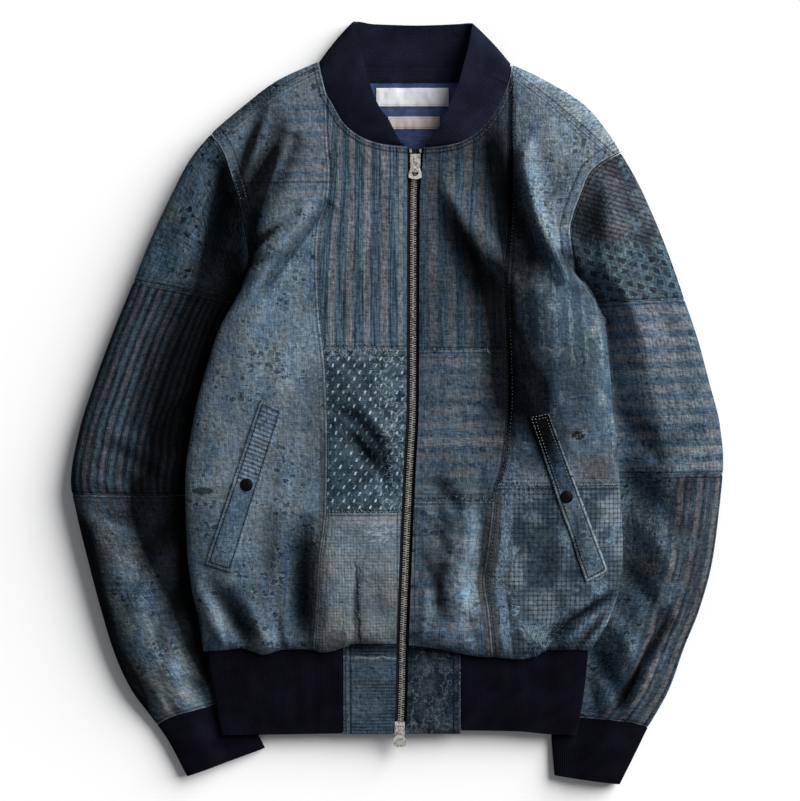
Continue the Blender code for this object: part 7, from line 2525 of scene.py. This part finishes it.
def dress():
    """Cuts every cloth, sews the details on and finishes the metal."""
    left_side, right_side = left_side_cloth(), right_side_cloth()
    front_column([("front_left_check", "check_cloth", check_cloth()),
                  ("front_left_kasuri", "kasuri_cloth", kasuri_cloth()),
                  ("front_left_stripe", "striped_cloth", left_stripe_cloth())],
                 LEFT_NECK, LEFT_SEAM, -1, LEFT_PATCHES)
    front_column([("front_right_creased", "worn_denim",
                   banded_cloth("creased_plaid", -104.0, 17.0, 0.62, 1.0)),
                  ("front_right_worn", "worn_denim",
                   banded_cloth("worn_bands", 8.0, 15.6, 0.76, 0.78)),
                  ("front_right_stripe", "dark_striped_cloth", right_stripe_cloth())],
                 RIGHT_NECK, RIGHT_SEAM, 1, RIGHT_PATCHES)
    side_front("front_left_side", left_side, LEFT_SEAM, "left",
               LEFT_ARMHOLE, LEFT_FORWARD_SEAM, LEFT_SEAM[0][1], -1, LEFT_HEM[0][1])
    side_front("front_right_side", right_side, RIGHT_SEAM, "right",
               RIGHT_ARMHOLE, RIGHT_FORWARD_SEAM, RIGHT_SEAM[0][1], 1, SIDE_PATCH_Y)
    gingham_panel("front_right_gingham", gingham_cloth())
    yokes({True: yoke_cloth(True), False: yoke_cloth(False)})
    back_panel(back_cloth())
    sleeves({("left", "upper"): ("left_upper_denim", left_sleeve_upper()),
             ("left", "middle"): ("left_striped_cloth", left_sleeve_middle()),
             ("left", "lower"): ("left_lower_denim", left_sleeve_lower()),
             ("right", "upper"): ("right_ribbed_cloth", right_sleeve_upper()),
             ("right", "middle"): ("right_banded_cloth", right_sleeve_middle()),
             ("right", "lower"): ("right_striped_cloth", right_sleeve_lower())})
    # The cuffs and waistband take a darker copy of the knit, as painted shade, and the collar and neck
    # tape a brighter, bluer copy, as painted light.
    knit = knit_finish("navy_rib_knit_painted_shade", 0.46)
    cuffs(knit)
    waistband(knit)
    collar_knit = knit_finish("navy_collar_knit_painted_light", 1.06, (0.97, 1.20, 1.12))
    collar(collar_knit)
    inside_neck({"lining": nylon_finish(), "neck_tape": collar_knit,
                 "label_main": label_finish("white_label_weave", (0.76, 0.76, 0.79), None),
                 "label_small": label_finish("cream_label_weave", (0.59, 0.53, 0.50),
                                             (0.42, 0.12, 0.13))})
    small_pieces({("welt", "left"): ("mottled_denim", welt_cloth(True)),
                  ("welt", "right"): ("mottled_denim", welt_cloth(False)),
                  ("tab", "left"): ("left_striped_cloth", tab_cloth(True)),
                  ("tab", "right"): ("worn_denim", tab_cloth(False))})
    thread = thread_finish("grey_blue_thread", (0.110, 0.140, 0.165))
    dark_thread = thread_finish("navy_thread", (0.030, 0.042, 0.058))
    cream = thread_finish("cream_thread", (0.300, 0.310, 0.315))
    pale = thread_finish("pale_thread", (0.200, 0.260, 0.310))
    seam_stitches(thread, dark_thread)
    patch_stitches(dark_thread, pale, cream)
    frayed_edges(pale)
    nickel = metal_finish("worn_nickel", (0.42, 0.40, 0.37), (0.11, 0.105, 0.10), 0.35)
    brass = metal_finish("tooth_metal", (0.30, 0.29, 0.265), (0.070, 0.066, 0.060), 0.4)
    zip_line(tape_finish(), brass)
    metals = dict(slider_top=nickel, slider_bottom=nickel, pull_top=nickel, pull_bottom=nickel,
                  zip_stop_left=brass, zip_stop_right=brass)
    cap = snap_finish()
    for node, finish in dict(metals, snap_left=cap, snap_right=cap).items():
        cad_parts[node].data.materials[0] = finish


# -------------------------------------------------------------- floor, light and camera

SUN_WAY = (0.75, 0.55)         # where the sun stands, seen from above
SUN_HEIGHT = 25.5              # degrees above the floor
SUN_BREADTH = 50.0             # degrees, which softens its shadows
SUN_POWER = 6.4
SKY_LIGHT = (0.14, 0.145, 0.155, 1.0)    # the sky as it lights the jacket
SKY_SEEN = (1.0, 1.0, 1.0, 1.0)          # and as the camera sees it
FLOOR_LIGHT = (0.30, 0.30, 0.30)         # the floor likewise
FLOOR_SEEN = (0.98, 0.975, 0.97)
FLOOR_GLOW = 0.02
FLOOR_SIZE = 8.0
FLOOR_Z = -0.0005              # just clear of the jacket's back
LENS = 120.0
SENSOR = 36.0
SHOWN_WIDTH = 0.801            # what the picture's width takes in at SHOWN_Z
SHOWN_Z = 0.02
CAMERA_OVER = (0.003, 0.002)


def seen_directly(f):
    """1 for what the camera sees, straight or in metal, and 0 for light on the object."""
    rays = f.node("ShaderNodeLightPath", {}, {}, 0)
    outputs = rays.socket.node.outputs
    return (rays.most(Signal(f, outputs["Is Glossy Ray"]))
            .most(Signal(f, outputs["Is Transmission Ray"])))


def lay_floor():
    """A pale floor, white where the camera sees it."""
    f = Finish("pale_floor", roughness=0.95, specular=0.0)
    seen = seen_directly(f)
    f.colour(f.mix(FLOOR_LIGHT, FLOOR_SEEN, seen))
    f.put(f.shader.inputs["Emission Color"], f.mix((0.0, 0.0, 0.0), (1.0, 1.0, 1.0), seen))
    f.put(f.shader.inputs["Emission Strength"], FLOOR_GLOW)
    deselect()
    bpy.ops.mesh.primitive_plane_add(size=FLOOR_SIZE, location=(0.0, 0.0, FLOOR_Z))
    floor = bpy.context.object
    floor.name = "floor"
    bpy.ops.object.transform_apply(location=True, rotation=False, scale=False)
    floor.data.materials.append(f.material)


def light_sun():
    """A soft sun from the upper right."""
    height = math.radians(SUN_HEIGHT)
    way = Vector((*SUN_WAY, 0.0)).normalized() * math.cos(height)
    way = way + Vector((0, 0, math.sin(height)))
    sun = bpy.data.lights.new("sun", "SUN")
    sun.energy = SUN_POWER
    sun.angle = math.radians(SUN_BREADTH)
    lamp = bpy.data.objects.new("sun", sun)
    lamp.rotation_euler = way.to_track_quat("Z", "Y").to_euler()
    bpy.context.collection.objects.link(lamp)


def open_sky():
    """A dim sky, white where the camera sees it, straight or in metal."""
    world = bpy.data.worlds.new("sky")
    world.use_nodes = True
    bpy.context.scene.world = world
    nodes, links = world.node_tree.nodes, world.node_tree.links
    rays, sky = nodes.new("ShaderNodeLightPath"), nodes["Background"]
    most = [nodes.new("ShaderNodeMath") for _ in range(2)]
    for node in most:
        node.operation = "MAXIMUM"
    links.new(rays.outputs["Is Camera Ray"], most[0].inputs[0])
    links.new(rays.outputs["Is Glossy Ray"], most[0].inputs[1])
    links.new(most[0].outputs[0], most[1].inputs[0])
    links.new(rays.outputs["Is Transmission Ray"], most[1].inputs[1])
    mix = nodes.new("ShaderNodeMix")
    mix.data_type = "RGBA"
    mix.inputs[6].default_value = SKY_LIGHT
    mix.inputs[7].default_value = SKY_SEEN
    links.new(most[1].outputs[0], mix.inputs[0])
    links.new(mix.outputs[2], sky.inputs["Color"])


def hang_camera():
    """The camera, straight above the jacket."""
    camera = bpy.data.cameras.new("overhead")
    camera.lens, camera.sensor_width = LENS, SENSOR
    viewer = bpy.data.objects.new("overhead", camera)
    viewer.location = (*CAMERA_OVER, SHOWN_Z + SHOWN_WIDTH * LENS / SENSOR)
    bpy.context.collection.objects.link(viewer)
    bpy.context.scene.camera = viewer
    bpy.context.scene.view_settings.view_transform = "Standard"


def stage():
    """What the jacket is shown on, in and by."""
    lay_floor()
    light_sun()
    open_sky()
    hang_camera()


dress()
stage()
